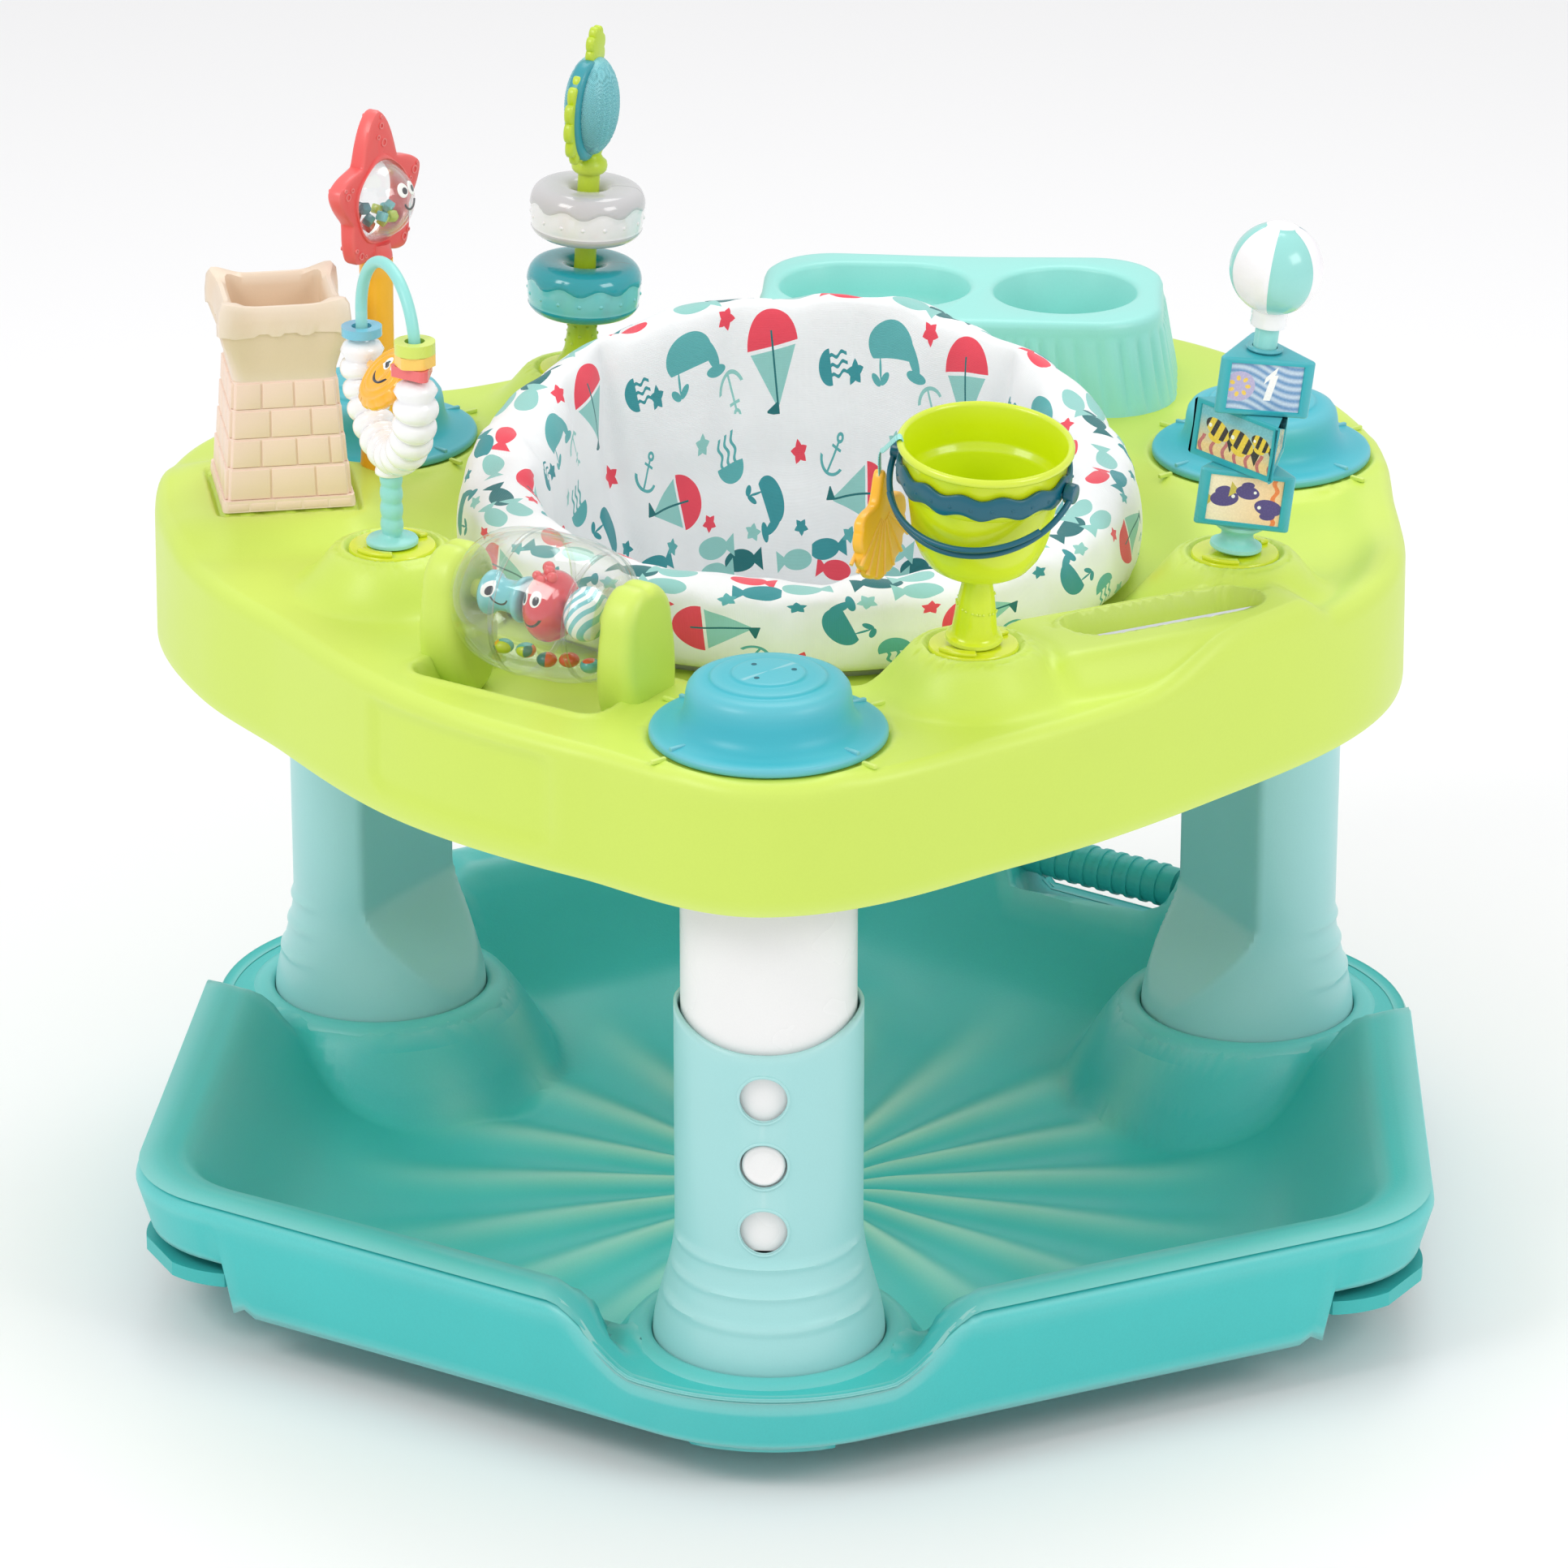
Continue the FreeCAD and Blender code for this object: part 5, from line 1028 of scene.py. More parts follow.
# ------------------------------------------------------------ snack tray
# A deep aqua moulding behind the seat with a cup well and a long snack well; upright flutes
# run round its side and stop under a plain rounded rim.
food_skin = plastic("snack_aqua", paint(150, 222, 214), rough=0.36, grain=0.3)
low_corner, high_corner = (corner * 1000 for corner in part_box("food_tray"))
middle_x, middle_y = (low_corner.x + high_corner.x) / 2, (low_corner.y + high_corner.y) / 2
half_x, half_y = (high_corner.x - low_corner.x) / 2, (high_corner.y - low_corner.y) / 2
food = bmesh.new()
ring = bmesh.ops.create_circle(food, cap_ends=True, segments=576, radius=1)["verts"]


def raised(bm, face, first):
    """Draws a face out by one step and returns the new one; the first stays as the bottom."""
    made = bmesh.ops.extrude_face_region(bm, geom=[face])["geom"]
    if not first:
        bmesh.ops.delete(bm, geom=[face], context="FACES_ONLY")
    return [item for item in made if isinstance(item, bmesh.types.BMFace)][0]


def on_oblong(turn, wide, deep, corner):
    """Where a ray from the middle meets a rounded rectangle."""
    reach = wide + deep
    for _ in range(40):
        gap = box_gap(reach * math.cos(turn), reach * math.sin(turn), wide, deep, corner)
        reach -= gap
        if gap < 0.01:
            break
    return reach


outline = {index: on_oblong(2 * math.pi * index / 576, half_x, half_y, 40) for index in range(576)}
steps = [(5, 397), (6.5, 398.5), (5, 408), (2.2, 422), (-1.0, 440), (-2.6, 444), (-3.2, 447), (-3.4, 450.5),
         (-4.6, 453.2), (-6.8, 454.7), (-9.5, 455)]
face = ring[0].link_faces[0]
loop = sorted(ring, key=lambda vert: (math.atan2(vert.co.y, vert.co.x) + 0.001) % (2 * math.pi))
for number, (grow, level) in enumerate(steps):
    if number:
        face = raised(food, face, number == 1)
        loop = sorted(face.verts, key=lambda vert: (math.atan2(vert.co.y, vert.co.x) + 0.001) % (2 * math.pi))
    for index, vert in enumerate(loop):
        turn = 2 * math.pi * index / 576
        flute = -2.0 * math.exp(-((index % 8 - 4) / 1.5) ** 2) * (404 < level < 441)
        reach = outline[index] + grow + flute
        vert.co = (reach * math.cos(turn), reach * math.sin(turn), level)
food_piece = lay(food, "snack_tray", "tray", "food_aqua", food_skin, replaces=["food_tray"], sharp=40,
                 place=Matrix.Translation((middle_x, middle_y, 0)))


def well(across, deep, corner, x, y, depth):
    """The room in a well: a rounded slot with leaning walls and a filleted floor."""
    room = bmesh.new()
    ring = bmesh.ops.create_circle(room, cap_ends=True, segments=128, radius=1)["verts"]
    face = ring[0].link_faces[0]
    levels = [(-7, -depth), (-3.5, -depth + 1), (-1, -depth + 4), (0, -depth + 9), (2.5, -2.6), (3.4, -1.2),
              (5.2, -0.25), (8, 0.4), (8.5, 6)]
    for number, (grow, level) in enumerate(levels):
        if number:
            face = raised(room, face, number == 1)
        loop = sorted(face.verts, key=lambda vert: (math.atan2(vert.co.y, vert.co.x) + 0.001) % (2 * math.pi))
        for index, vert in enumerate(loop):
            turn = 2 * math.pi * index / 128
            reach = on_oblong(turn, across, deep, corner) + grow
            vert.co = (reach * math.cos(turn), reach * math.sin(turn), 455 + level)
    bmesh.ops.recalc_face_normals(room, faces=room.faces)
    room.transform(Matrix.Scale(0.001, 4) @ Matrix.Translation((x, y, 0)))
    cutter = bpy.data.objects.new("well", bpy.data.meshes.new("well"))
    room.to_mesh(cutter.data)
    room.free()
    bpy.context.scene.collection.objects.link(cutter)
    return cutter


for cutter in (well(39, 39, 38.9, 140, middle_y, 44), well(53, 36, 35.9, 29, middle_y + 4, 26)):
    cut = food_piece.modifiers.new("well", "BOOLEAN")
    cut.object, cut.operation, cut.solver = cutter, "DIFFERENCE", "MANIFOLD"
    bpy.context.view_layer.update()
    food_data = bpy.data.meshes.new_from_object(food_piece.evaluated_get(bpy.context.evaluated_depsgraph_get()))
    food_piece.modifiers.clear()
    food_piece.data = food_data
    bpy.data.objects.remove(cutter)
food_data.shade_smooth()
food_data.set_sharp_from_angle(angle=math.radians(40))

# ------------------------------------------------------------ castle
# A sand-coloured tower of four stepped brick courses on a plain footing. Its flared head is a
# separate cap with corner brackets, a stepped seam and a hollow square top.
sand = plastic("castle_sand", paint(240, 206, 182), rough=0.4, grain=0.3, edge_highlight=0.3)
sand_top = plastic("castle_head", paint(228, 206, 180), rough=0.34, grain=0.25, edge_highlight=0.3)
castle_place = Matrix.Translation((*CASTLE, 0)) @ Matrix.Rotation(math.radians(CASTLE_TURN), 4, "Z")


def blunt(bm, edges, size, segments=3):
    bmesh.ops.bevel(bm, geom=edges, offset=size, offset_type="OFFSET", segments=segments, profile=0.5,
                    affect="EDGES", material=-1)


def taper(bm, low_half, high_half, low, high, corner=2.0):
    """A square block that narrows upwards, with blunt upright corners and a rounded top edge."""
    made = bmesh.ops.create_cube(bm, size=2)["verts"]
    for vert in made:
        half = high_half if vert.co.z > 0 else low_half
        vert.co = (vert.co.x * half, vert.co.y * half, high if vert.co.z > 0 else low)
    edges = {edge for vert in made for edge in vert.link_edges}
    blunt(bm, [edge for edge in edges if abs(edge.verts[0].co.z - edge.verts[1].co.z) > 1], corner, 4)


tower = bmesh.new()
taper(tower, 36.9, 36.4, 411.1, 417.5, 3)
courses = [(35.0, 34.0, 417.5, 435.6), (33.2, 32.2, 435.6, 452.0), (31.6, 30.8, 452.0, 468.4),
           (30.2, 29.4, 468.4, 484)]
for low_half, high_half, low, high in courses:
    taper(tower, low_half - 0.7, high_half - 0.7, low, high, 4)
for row, (low_half, high_half, low, high) in enumerate([(36.9, 36.4, 411.6, 417)] + courses):
    cuts = [0.36, 0.72] if row % 2 else [0.28, 0.58, 0.86]
    cuts = [0.2, 0.4, 0.6, 0.8] if row == 0 else cuts
    stops = [0.0] + cuts + [1.0]
    for quarter in range(4):
        spin = Matrix.Rotation(quarter * math.pi / 2, 4, "Z")
        for first, last in zip(stops, stops[1:]):
            made = bmesh.ops.create_cube(tower, size=2)["verts"]
            for vert in made:
                half = high_half if vert.co.z > 0 else low_half
                left = -half + 2 * half * first + (0.45 if first else 2.4)
                right = -half + 2 * half * last - (0.45 if last < 1 else 2.4)
                across = right if vert.co.x > 0 else left
                out = half + 0.25 if vert.co.y < 0 else half - 4
                vert.co = spin @ Vector((across, -out, (high - 0.9) if vert.co.z > 0 else low + 0.3))
            edges = {edge for vert in made for edge in vert.link_edges}
            blunt(tower, list(edges), 0.55, 2)
lay(tower, "castle_bricks", "tray", "castle_sand", sand, replaces=["castle_tower"], sharp=50,
    place=castle_place)

head = bmesh.new()
outer = bmesh.ops.create_circle(head, cap_ends=True, segments=96, radius=1)["verts"]
face = outer[0].link_faces[0]
head_steps = [(28.6, 484, 0), (29.2, 490, 0), (30.2, 498, 0.35), (31.6, 506, 0.8), (32.6, 511, 1), (33.9, 511.3, 1),
              (34, 513, 1), (34, 519, 1), (33.2, 524.5, 1), (31.2, 527.6, 1), (28.8, 527.6, 1), (26.8, 525.5, 1),
              (26, 521, 1), (26, 508, 0), (25.6, 498.5, 0)]
for number, (half, level, knob) in enumerate(head_steps):
    if number:
        face = raised(head, face, number == 1)
    loop = sorted(face.verts, key=lambda vert: (math.atan2(vert.co.y, vert.co.x) + 0.001) % (2 * math.pi))
    for index, vert in enumerate(loop):
        turn = 2 * math.pi * index / 96
        corner = 5 if level < 527 or half > 27 else 7
        reach = on_oblong(turn, half, half, corner)
        diagonal = math.exp(-(((turn % (math.pi / 2)) - math.pi / 4) / 0.17) ** 2)
        lift = 3.6 * diagonal * (519 < level < 528.5)
        if half > 28.7:
            reach += knob * 5.0 * diagonal
        step = 0
        if 511 <= level <= 512:
            step = 1.6 if int((turn / (math.pi / 2) * 7)) % 2 else 0
        vert.co = (reach * math.cos(turn), reach * math.sin(turn), level + lift + step)
lay(head, "castle_parapet_cap", "tray", "castle_sand", sand_top, replaces=["castle_parapet"], sharp=38,
    place=castle_place)

# ------------------------------------------------------------ mirror
# A strip of metallised acrylic lies in the mound's slot.
mirror, skin, flow = new_material("acrylic_mirror")
where = flow.make("ShaderNodeTexCoord", out="Object")
haze = flow.make("ShaderNodeTexNoise", (), {"Vector": where, "Scale": 60.0, "Detail": 3.0})
mirror.node_tree.links.new((haze * 0.05 + 0.02).socket, skin.inputs["Roughness"])
mirror.node_tree.links.new(haze.tint(paint(224, 230, 232), paint(240, 244, 246)).socket, skin.inputs["Base Color"])
skin.inputs["Metallic"].default_value = 1.0
nodes["mirror_plate"].data.materials.clear()
nodes["mirror_plate"].data.materials.append(mirror)

# ------------------------------------------------------------ drum
# A clear barrel blown in two halves turns on an axle between the pocket's lugs. Three painted
# figures sit on the axle inside it and loose pieces tumble in its bottom.
def clear_plastic(name, tone):
    """Thin clear styrene: it shows only where it mirrors the room, most at a glancing angle."""
    material, skin, flow = new_material(name)
    glance = flow.make("ShaderNodeLayerWeight", {}, {"Blend": 0.5}, out=1)
    where = flow.make("ShaderNodeTexCoord", out="Object")
    haze = flow.make("ShaderNodeTexNoise", (), {"Vector": where, "Scale": 45.0, "Detail": 2.0})
    shine = glance.math("POWER", 3.0) * 0.6 + (haze * 0.04 + 0.03)
    material.node_tree.links.new(shine.socket, skin.inputs["Alpha"])
    material.node_tree.links.new((haze * 0.06 + 0.02).socket, skin.inputs["Roughness"])
    skin.inputs["Base Color"].default_value = tone
    skin.inputs["Metallic"].default_value = 1.0
    return material


clear = clear_plastic("clear_styrene", (0.86, 0.9, 0.89, 1))
seam_clear = clear_plastic("clear_seam", (0.72, 0.78, 0.78, 1))
drum_place = (Matrix.Translation((-122, -207, 435.5)) @ Matrix.Rotation(math.radians(-29.5), 4, "Z")
              @ Matrix.Rotation(math.radians(90), 4, "Y"))


def barrel(level, wall=0.0):
    return (39.1 - wall) * (1 - (abs(level) / (52 - wall)) ** 3.2) ** 0.4545


outside = [(barrel(level), level) for level in range(-45, 46, 3)]
inside = [(barrel(level, 2.2), level * 0.96) for level in range(45, -46, -3)]
glass = spun([(7, -44)] + [(18, -43.6), (22, -44.6)] + outside + [(22, 44.6), (18, 43.6), (7, 44), (7, 42),
             (18, 41.8)] + inside + [(18, -41.8), (7, -42), (7, -44)], 120)
lay(glass, "drum_glass", "drum", "clear", clear, replaces=["drum_shell"], sharp=30, place=drum_place)
seams = bmesh.new()
for level in (-9, 34):
    spun([(barrel(level) - 0.4, level - 1.6), (barrel(level) + 0.5, level - 1.3), (barrel(level) + 0.8, level),
          (barrel(level) + 0.5, level + 1.3), (barrel(level) - 0.4, level + 1.6),
          (barrel(level) - 0.4, level - 1.6)], 120, seams)
lay(seams, "drum_seams", "drum", "clear", seam_clear, sharp=0, place=drum_place)


def face_on(local, colour, eyes, smile, size=0.001, ink=paint(30, 30, 45)):
    """Two printed eyes and a smile; the places are in millimetres across and up the face."""
    for place in eyes:
        white = local.spot((place[0] * size, place[1] * size), (3.3 * size, 3.9 * size))
        colour = (white.vector("LENGTH", out=1) < 1.0).tint(colour, paint(252, 252, 250))
        pupil = local.spot(((place[0] + 0.5) * size, (place[1] - 0.6) * size), (1.8 * size, 2.3 * size))
        colour = (pupil.vector("LENGTH", out=1) < 1.0).tint(colour, ink)
    grin = local.spot((smile[0] * size, smile[1] * size), (smile[2] * size, smile[2] * size))
    _, up, _ = grin.split()
    line = ((grin.vector("LENGTH", out=1) - 1.0).math("ABSOLUTE") < 0.09) * (up < -0.42)
    return line.tint(colour, ink)


def facing(local, across, up, toward):
    """The position turned so that its first two numbers lie across and up the printed side."""
    turned = flow_axes(local, across, up)
    return turned, (local.vector("DOT_PRODUCT", toward, out=1) > 0.0)


def flow_axes(local, across, up):
    first = local.vector("DOT_PRODUCT", across, out=1)
    second = local.vector("DOT_PRODUCT", up, out=1)
    return local.make("ShaderNodeCombineXYZ", (), {0: first, 1: second})


def printed(base, across, up, toward, eyes, smile, centre=(0, 0)):
    """A pattern of one tone with a face printed on the side that looks toward a direction."""
    def pattern(local):
        flat = flow_axes(local, across, up).spot((centre[0] * 0.001, centre[1] * 0.001), (1, 1))
        front = local.vector("DOT_PRODUCT", toward, out=1) > 0.0
        return front.tint(base, face_on(flat, base, eyes, smile))
    return pattern


def bands(local):
    across, up, along = local.split()
    wave = ((along * 1000 + across * 620 + (up * 300).math("SINE") * 1.6) * 1.15).math("SINE") > 0.0
    return wave.tint(paint(248, 250, 250), paint(120, 200, 208))


AQUA_TOY = paint(118, 200, 208)
pipe = spun([(0.1, -38), (7, -38), (10.5, -37.4), (12, -35.8), (12.2, -34), (11, -31.8), (9.2, -29.6), (8.6, -26),
             (8.8, -21), (10, -17.5), (12, -15.2), (12.6, -13.4), (11.6, -11.6), (8, -10.6), (0.1, -10.4)], 64)
lay(pipe, "drum_pipe_fish", "drum", "figure_red", plastic(
    "pipe_fish", AQUA_TOY, rough=0.2, grain=0.1, coat=0.5, frame_turn=drum_place, pattern=printed(
        AQUA_TOY, (0, 0, 1), (-1, 0, 0), (0, -1, 0), [(-31, 5)], (-24, 4, 6))),
    replaces=["drum_figures"], sharp=0, place=drum_place)
crab = spun([(19.3 * math.sin(math.pi * step / 22) + 0.05, 3.5 - 13.6 * math.cos(math.pi * step / 22))
             for step in range(23)], 72)
RED_TOY = paint(222, 52, 66)
lay(crab, "drum_red_ball", "drum", "figure_red", plastic(
    "red_ball", RED_TOY, rough=0.16, grain=0.08, coat=0.7, frame_turn=drum_place, pattern=printed(
        RED_TOY, (0, 0, 1), (-1, 0, 0), (0, -1, 0), [(-4, 8), (4.5, 9)], (1, 2, 8))), sharp=0, place=drum_place)
crest = bmesh.new()
for number, (level, turn) in enumerate([(-2, -0.3), (3, 0.05), (8, 0.3), (3, 0.5), (-1, 0.35)]):
    at = Matrix.Rotation(turn, 4, "Z") @ Matrix.Translation((-19.5, 0, level))
    bmesh.ops.create_uvsphere(crest, u_segments=20, v_segments=12, radius=3.4 - 0.2 * number, matrix=at)
lay(crest, "drum_crest", "drum", "figure_red", plastic("red_crest", paint(232, 70, 74), rough=0.22, grain=0.1,
                                                      coat=0.4), sharp=0, place=drum_place)
shell = spun([(14.8 * math.sin(math.pi * step / 18) * (1.15 - 0.018 * step) + 0.05,
               26.5 - 11.5 * math.cos(math.pi * step / 18)) for step in range(19)], 64)
lay(shell, "drum_striped_shell", "drum", "figure_red", plastic(
    "striped_shell", paint(240, 248, 248), rough=0.2, grain=0.1, coat=0.5, pattern=bands,
    frame_turn=drum_place), sharp=0, place=drum_place)


def confetti(local):
    cell = local.make("ShaderNodeTexVoronoi", {}, {"Vector": local, "Scale": 75.0, "Randomness": 0.8}, out=1)
    red, green, _ = cell.make("ShaderNodeSeparateColor", {}, {0: cell}).node_parts()
    return red.make("ShaderNodeValToRGB", {"interpolation": "CONSTANT", "stops": [
        (0.0, paint(20, 110, 125)), (0.28, paint(250, 176, 40)), (0.46, paint(198, 214, 40)),
        (0.64, paint(226, 74, 62)), (0.82, paint(60, 170, 176))]}, {0: red})


def node_parts(self):
    return [Flow(self.tree, socket) for socket in list(self.socket.node.outputs)[:3]]


Flow.node_parts = node_parts
nodes["drum_beads"].data.materials.clear()
nodes["drum_beads"].data.materials.append(plastic("loose_pieces", RED_TOY, rough=0.25, grain=0.3, coat=0.3,
                                                  pattern=confetti, edge_highlight=0))
axle = plastic("axle_lime", paint(206, 222, 70), rough=0.3)
nodes["drum_axle"].data.materials.clear()
nodes["drum_axle"].data.materials.append(axle)

# ------------------------------------------------------------ star rattle
# A coral star with engraved bubbles, its long arm upwards, holds a clear dome on each side with
# loose pieces inside and a printed face. It turns by hand on a yellow stem beside the castle.
star_place = Matrix.Translation((-240, 74, 0)) @ Matrix.Rotation(math.radians(60), 4, "Z")
flat = star_place @ Matrix.Translation((0, 0, 566)) @ Matrix.Rotation(math.radians(90), 4, "X")
coral = plastic("star_coral", paint(238, 92, 90), rough=0.32, grain=0.3)
ARMS = [52, 40, 39, 39, 40]
section = [(0.0, -3.2), (0.02, -5.6), (0.06, -6.3), (0.12, -6.1), (0.16, -5.0), (0.6, -4.9), (0.88, -4.6),
           (0.97, -3.9), (1.0, -2.4), (1.0, 2.4), (0.97, 3.9), (0.88, 4.6), (0.6, 4.9), (0.16, 5.0), (0.12, 6.1),
           (0.06, 6.3), (0.02, 5.6), (0.0, 3.2), (0.0, -3.2)]
star = spun([(10 + 100 * share, level) for share, level in section], 200)
for vert in star.verts:
    turn = math.atan2(vert.co.y, vert.co.x)
    share = (vert.co.xy.length - 10) / 100
    around = ((turn - math.pi / 2) / math.radians(72)) % 5
    arm = ARMS[int(round(around)) % 5]
    near = 1 - 2 * math.sqrt((around - round(around)) ** 2 + 0.0025) + 0.09
    reach = 27.5 + (arm - 27.5) * (0.72 * near ** 1.7 + 0.28 * (0.5 - 0.5 * math.cos(math.pi * near)))
    out = 22.6 + (reach - 22.6) * share
    vert.co = (out * math.cos(turn), out * math.sin(turn), vert.co.z)
lay(star, "star_plate", "star", "star_coral", coral, replaces=["star_body"], sharp=45, place=flat)


def ringlets(bm, spots, height=4.9):
    """Small raised rings, as engraved bubbles look."""
    for x, y, radius in spots:
        made = bmesh.ops.create_circle(bm, segments=20, radius=radius)["verts"]
        edges = list({edge for vert in made for edge in vert.link_edges})
        inner = bmesh.ops.create_circle(bm, segments=20, radius=radius - 0.8)["verts"]
        edges += list({edge for vert in inner for edge in vert.link_edges})
        bmesh.ops.translate(bm, verts=made + inner, vec=(x, y, height - 0.3))
        top = bmesh.ops.bridge_loops(bm, edges=edges)["faces"]
        grown = bmesh.ops.extrude_face_region(bm, geom=top)["geom"]
        bmesh.ops.translate(bm, verts=[item for item in grown if isinstance(item, bmesh.types.BMVert)],
                            vec=(0, 0, 0.8))


bubbles = bmesh.new()
BUBBLES = [(1, 43, 1.9), (-2, 37, 1.5), (3, 33, 2.4), (1.5, 48, 1.1), (31, 10, 2.4), (27, 6, 1.4), (34, 13, 1.1),
           (-31, 10, 2.2), (-27, 13, 1.4), (-33, 14, 1.2), (20, -26, 2.3), (24, -23, 1.3), (-20, -27, 2.2),
           (-16, -28, 1.2), (-24, -23, 1.3)]
ringlets(bubbles, BUBBLES)
back = bmesh.new()
ringlets(back, BUBBLES)
back.transform(Matrix.Rotation(math.pi, 4, "Y"))
lay(bubbles, "star_bubbles_front", "star", "star_coral", coral, sharp=40, place=flat)
lay(back, "star_bubbles_back", "star", "star_coral", coral, sharp=40, place=flat)
foot = spun([(0.1, 531.7), (9, 532), (9.4, 533), (9.2, 535), (8.6, 537), (8.2, 541), (0.1, 541)], 48)
lay(foot, "star_foot", "star", "star_coral", coral, sharp=40, place=star_place)
dome = spun([(22.4 * math.cos(turn) + 0.02, 22.4 * math.sin(turn))
             for turn in (math.pi * (step / 32 - 0.5) for step in range(33))], 72)
inner = [(20.9 * math.cos(turn) + 0.02, 20.9 * math.sin(turn))
         for turn in (math.pi * (step / 32 - 0.5) for step in range(33))]
spun(inner, 72, dome)
lay(dome, "star_domes", "star", "clear", clear, replaces=["star_rattle"], sharp=0, place=flat)
for name, tone, places in (
        ("teal", paint(24, 120, 132), [(-10, -9, 3), (-6, -4, -5), (-12, -2, 2)]),
        ("lime", paint(192, 214, 62), [(2, -12, 4), (6, -8, -3), (8, -11, 6)]),
        ("red", paint(214, 70, 66), [(-6, -14, 0), (-13, -7, -4), (-1, -15, -5)]),
        ("aqua", paint(110, 196, 202), [(9, -6, 3), (-3, -8, 7), (12, -9, -2)])):
    bits = bmesh.new()
    for number, spot in enumerate(places):
        made = bmesh.ops.create_cube(bits, size=5.4)["verts"]
        bmesh.ops.rotate(bits, verts=made, cent=(0, 0, 0),
                         matrix=Matrix.Rotation(0.7 + 1.3 * number, 3, (1, 0.4 * number + 0.2, 0.6)))
        bmesh.ops.translate(bits, verts=made, vec=spot)
    blunt(bits, list(bits.edges), 1.0, 2)
    lay(bits, "star_bits_" + name, "star", "bead_mix", plastic("star_bit_" + name, tone, rough=0.25, coat=0.3),
        sharp=40, place=flat)
marks = bmesh.new()
for x, y, radius in ((-1, 9, 4.2), (8, 8, 4.2)):
    direction = Vector((x, y, math.sqrt(22.5 ** 2 - x * x - y * y))).normalized()
    at = direction.to_track_quat("Z", "Y").to_matrix().to_4x4()
    at.translation = direction * 22.2
    bmesh.ops.create_cone(marks, cap_ends=True, segments=28, radius1=radius, radius2=radius * 0.9, depth=0.5,
                          matrix=at)
lay(marks, "star_eye_whites", "star", "ball_white", plastic("eye_white", paint(250, 250, 246), rough=0.3), sharp=40,
    place=flat)
marks = bmesh.new()
for x, y, radius in ((0, 8.4, 2.1), (9, 7.4, 2.1)):
    direction = Vector((x, y, math.sqrt(22.5 ** 2 - x * x - y * y))).normalized()
    at = direction.to_track_quat("Z", "Y").to_matrix().to_4x4()
    at.translation = direction * 22.45
    bmesh.ops.create_cone(marks, cap_ends=True, segments=24, radius1=radius, radius2=radius * 0.9, depth=0.5,
                          matrix=at)
for step in range(15):
    turn = math.radians(205 + 9.3 * step)
    x, y = 4.5 + 6.5 * math.cos(turn), 3.5 + 6.5 * math.sin(turn)
    direction = Vector((x, y, math.sqrt(22.5 ** 2 - x * x - y * y))).normalized()
    bmesh.ops.create_icosphere(marks, subdivisions=1, radius=0.75, matrix=Matrix.Translation(direction * 22.2))
lay(marks, "star_face_ink", "star", "band_petrol", plastic("face_ink", paint(40, 36, 48), rough=0.3), sharp=40,
    place=flat)
stem_yellow = plastic("star_stem_yellow", paint(252, 186, 36), rough=0.3, grain=0.3)
nodes["star_stem"].data.materials.clear()
nodes["star_stem"].data.materials.append(stem_yellow)

# ------------------------------------------------------------ arch toy
# A glossy white worm bends into a U on a scalloped aqua grip. A wire hoop joins its two ends and
# carries four flat beads, and a smiling disc spins between its arms.
arch_place = Matrix.Translation((*HUBS["arch"], 0)) @ Matrix.Rotation(math.radians(-61.5), 4, "Z")
aqua_soft = plastic("grip_aqua", paint(146, 218, 212), rough=0.34, grain=0.35)
grip = spun([(0.1, 424.8), (12.8, 424.8), (14, 425.4), (14.2, 427), (13.4, 428.2), (8.4, 428.8), (6.9, 430)]
            + [(6.4 + 0.9 * abs(math.sin((level - 431) * math.pi / 9)), level) for level in range(431, 466)]
            + [(7.6, 466.5), (7.6, 470), (0.1, 470)], 64)
for vert in grip.verts:
    if 430 < vert.co.z < 466:
        side = abs(vert.co.x) / max(vert.co.xy.length, 0.01)
        vert.co.x *= 1.0 + 0.12 * side
        vert.co.y *= 0.82
lay(grip, "arch_grip", "tray", "stem_aqua", aqua_soft, replaces=["arch_stem"], sharp=50, place=arch_place)

SEGMENTS = 12
worm_line = [(0.05, -11.5), (6, -11), (10, -8.6), (12, -5)]
for index in range(SEGMENTS):
    for step in range(9):
        share = (index + step / 8) / SEGMENTS
        if step == 8 and index < SEGMENTS - 1:
            continue
        bulge = 12.6 - 1.1 * math.sin(math.pi * share)
        worm_line.append((bulge * (0.74 + 0.26 * math.sin(math.pi * step / 8) ** 0.6), 100 * share))
worm_line += [(12, 105), (10, 108.6), (6, 111), (0.05, 111.5)]
worm = spun(worm_line, 48)
for vert in worm.verts:
    beyond = min(vert.co.z, 0) + max(vert.co.z - 100, 0)
    swing = math.pi * min(max(vert.co.z, 0), 100) / 100
    spot = Vector((-37.5 * math.cos(swing), 0, 519 - 42 * math.sin(swing)))
    along = Vector((37.5 * math.sin(swing), 0, -42 * math.cos(swing))).normalized()
    across = Vector((-along.z, 0, along.x))
    vert.co = spot + across * vert.co.x + Vector((0, 1, 0)) * vert.co.y + along * beyond
white = plastic("worm_white", paint(246, 246, 248), rough=0.16, grain=0.05, coat=0.6, mottle=0.02, edge_highlight=0)
lay(worm, "worm_body", "tray", "worm_white", white, replaces=["worm"], sharp=0, place=arch_place)
neck = spun([(0.1, 464.6), (7.8, 464.6), (8.6, 465.4), (8.6, 467), (8, 469), (8.6, 472), (10, 475), (10, 478),
             (0.1, 478)], 64)
lay(neck, "worm_neck", "tray", "worm_white", white, sharp=50, place=arch_place)
face_place = arch_place @ Matrix.Translation((0, 0, 519)) @ Matrix.Rotation(math.radians(45), 4, "X")
SUN = paint(254, 182, 28)
sun_line = [(0.05, 4.2)]
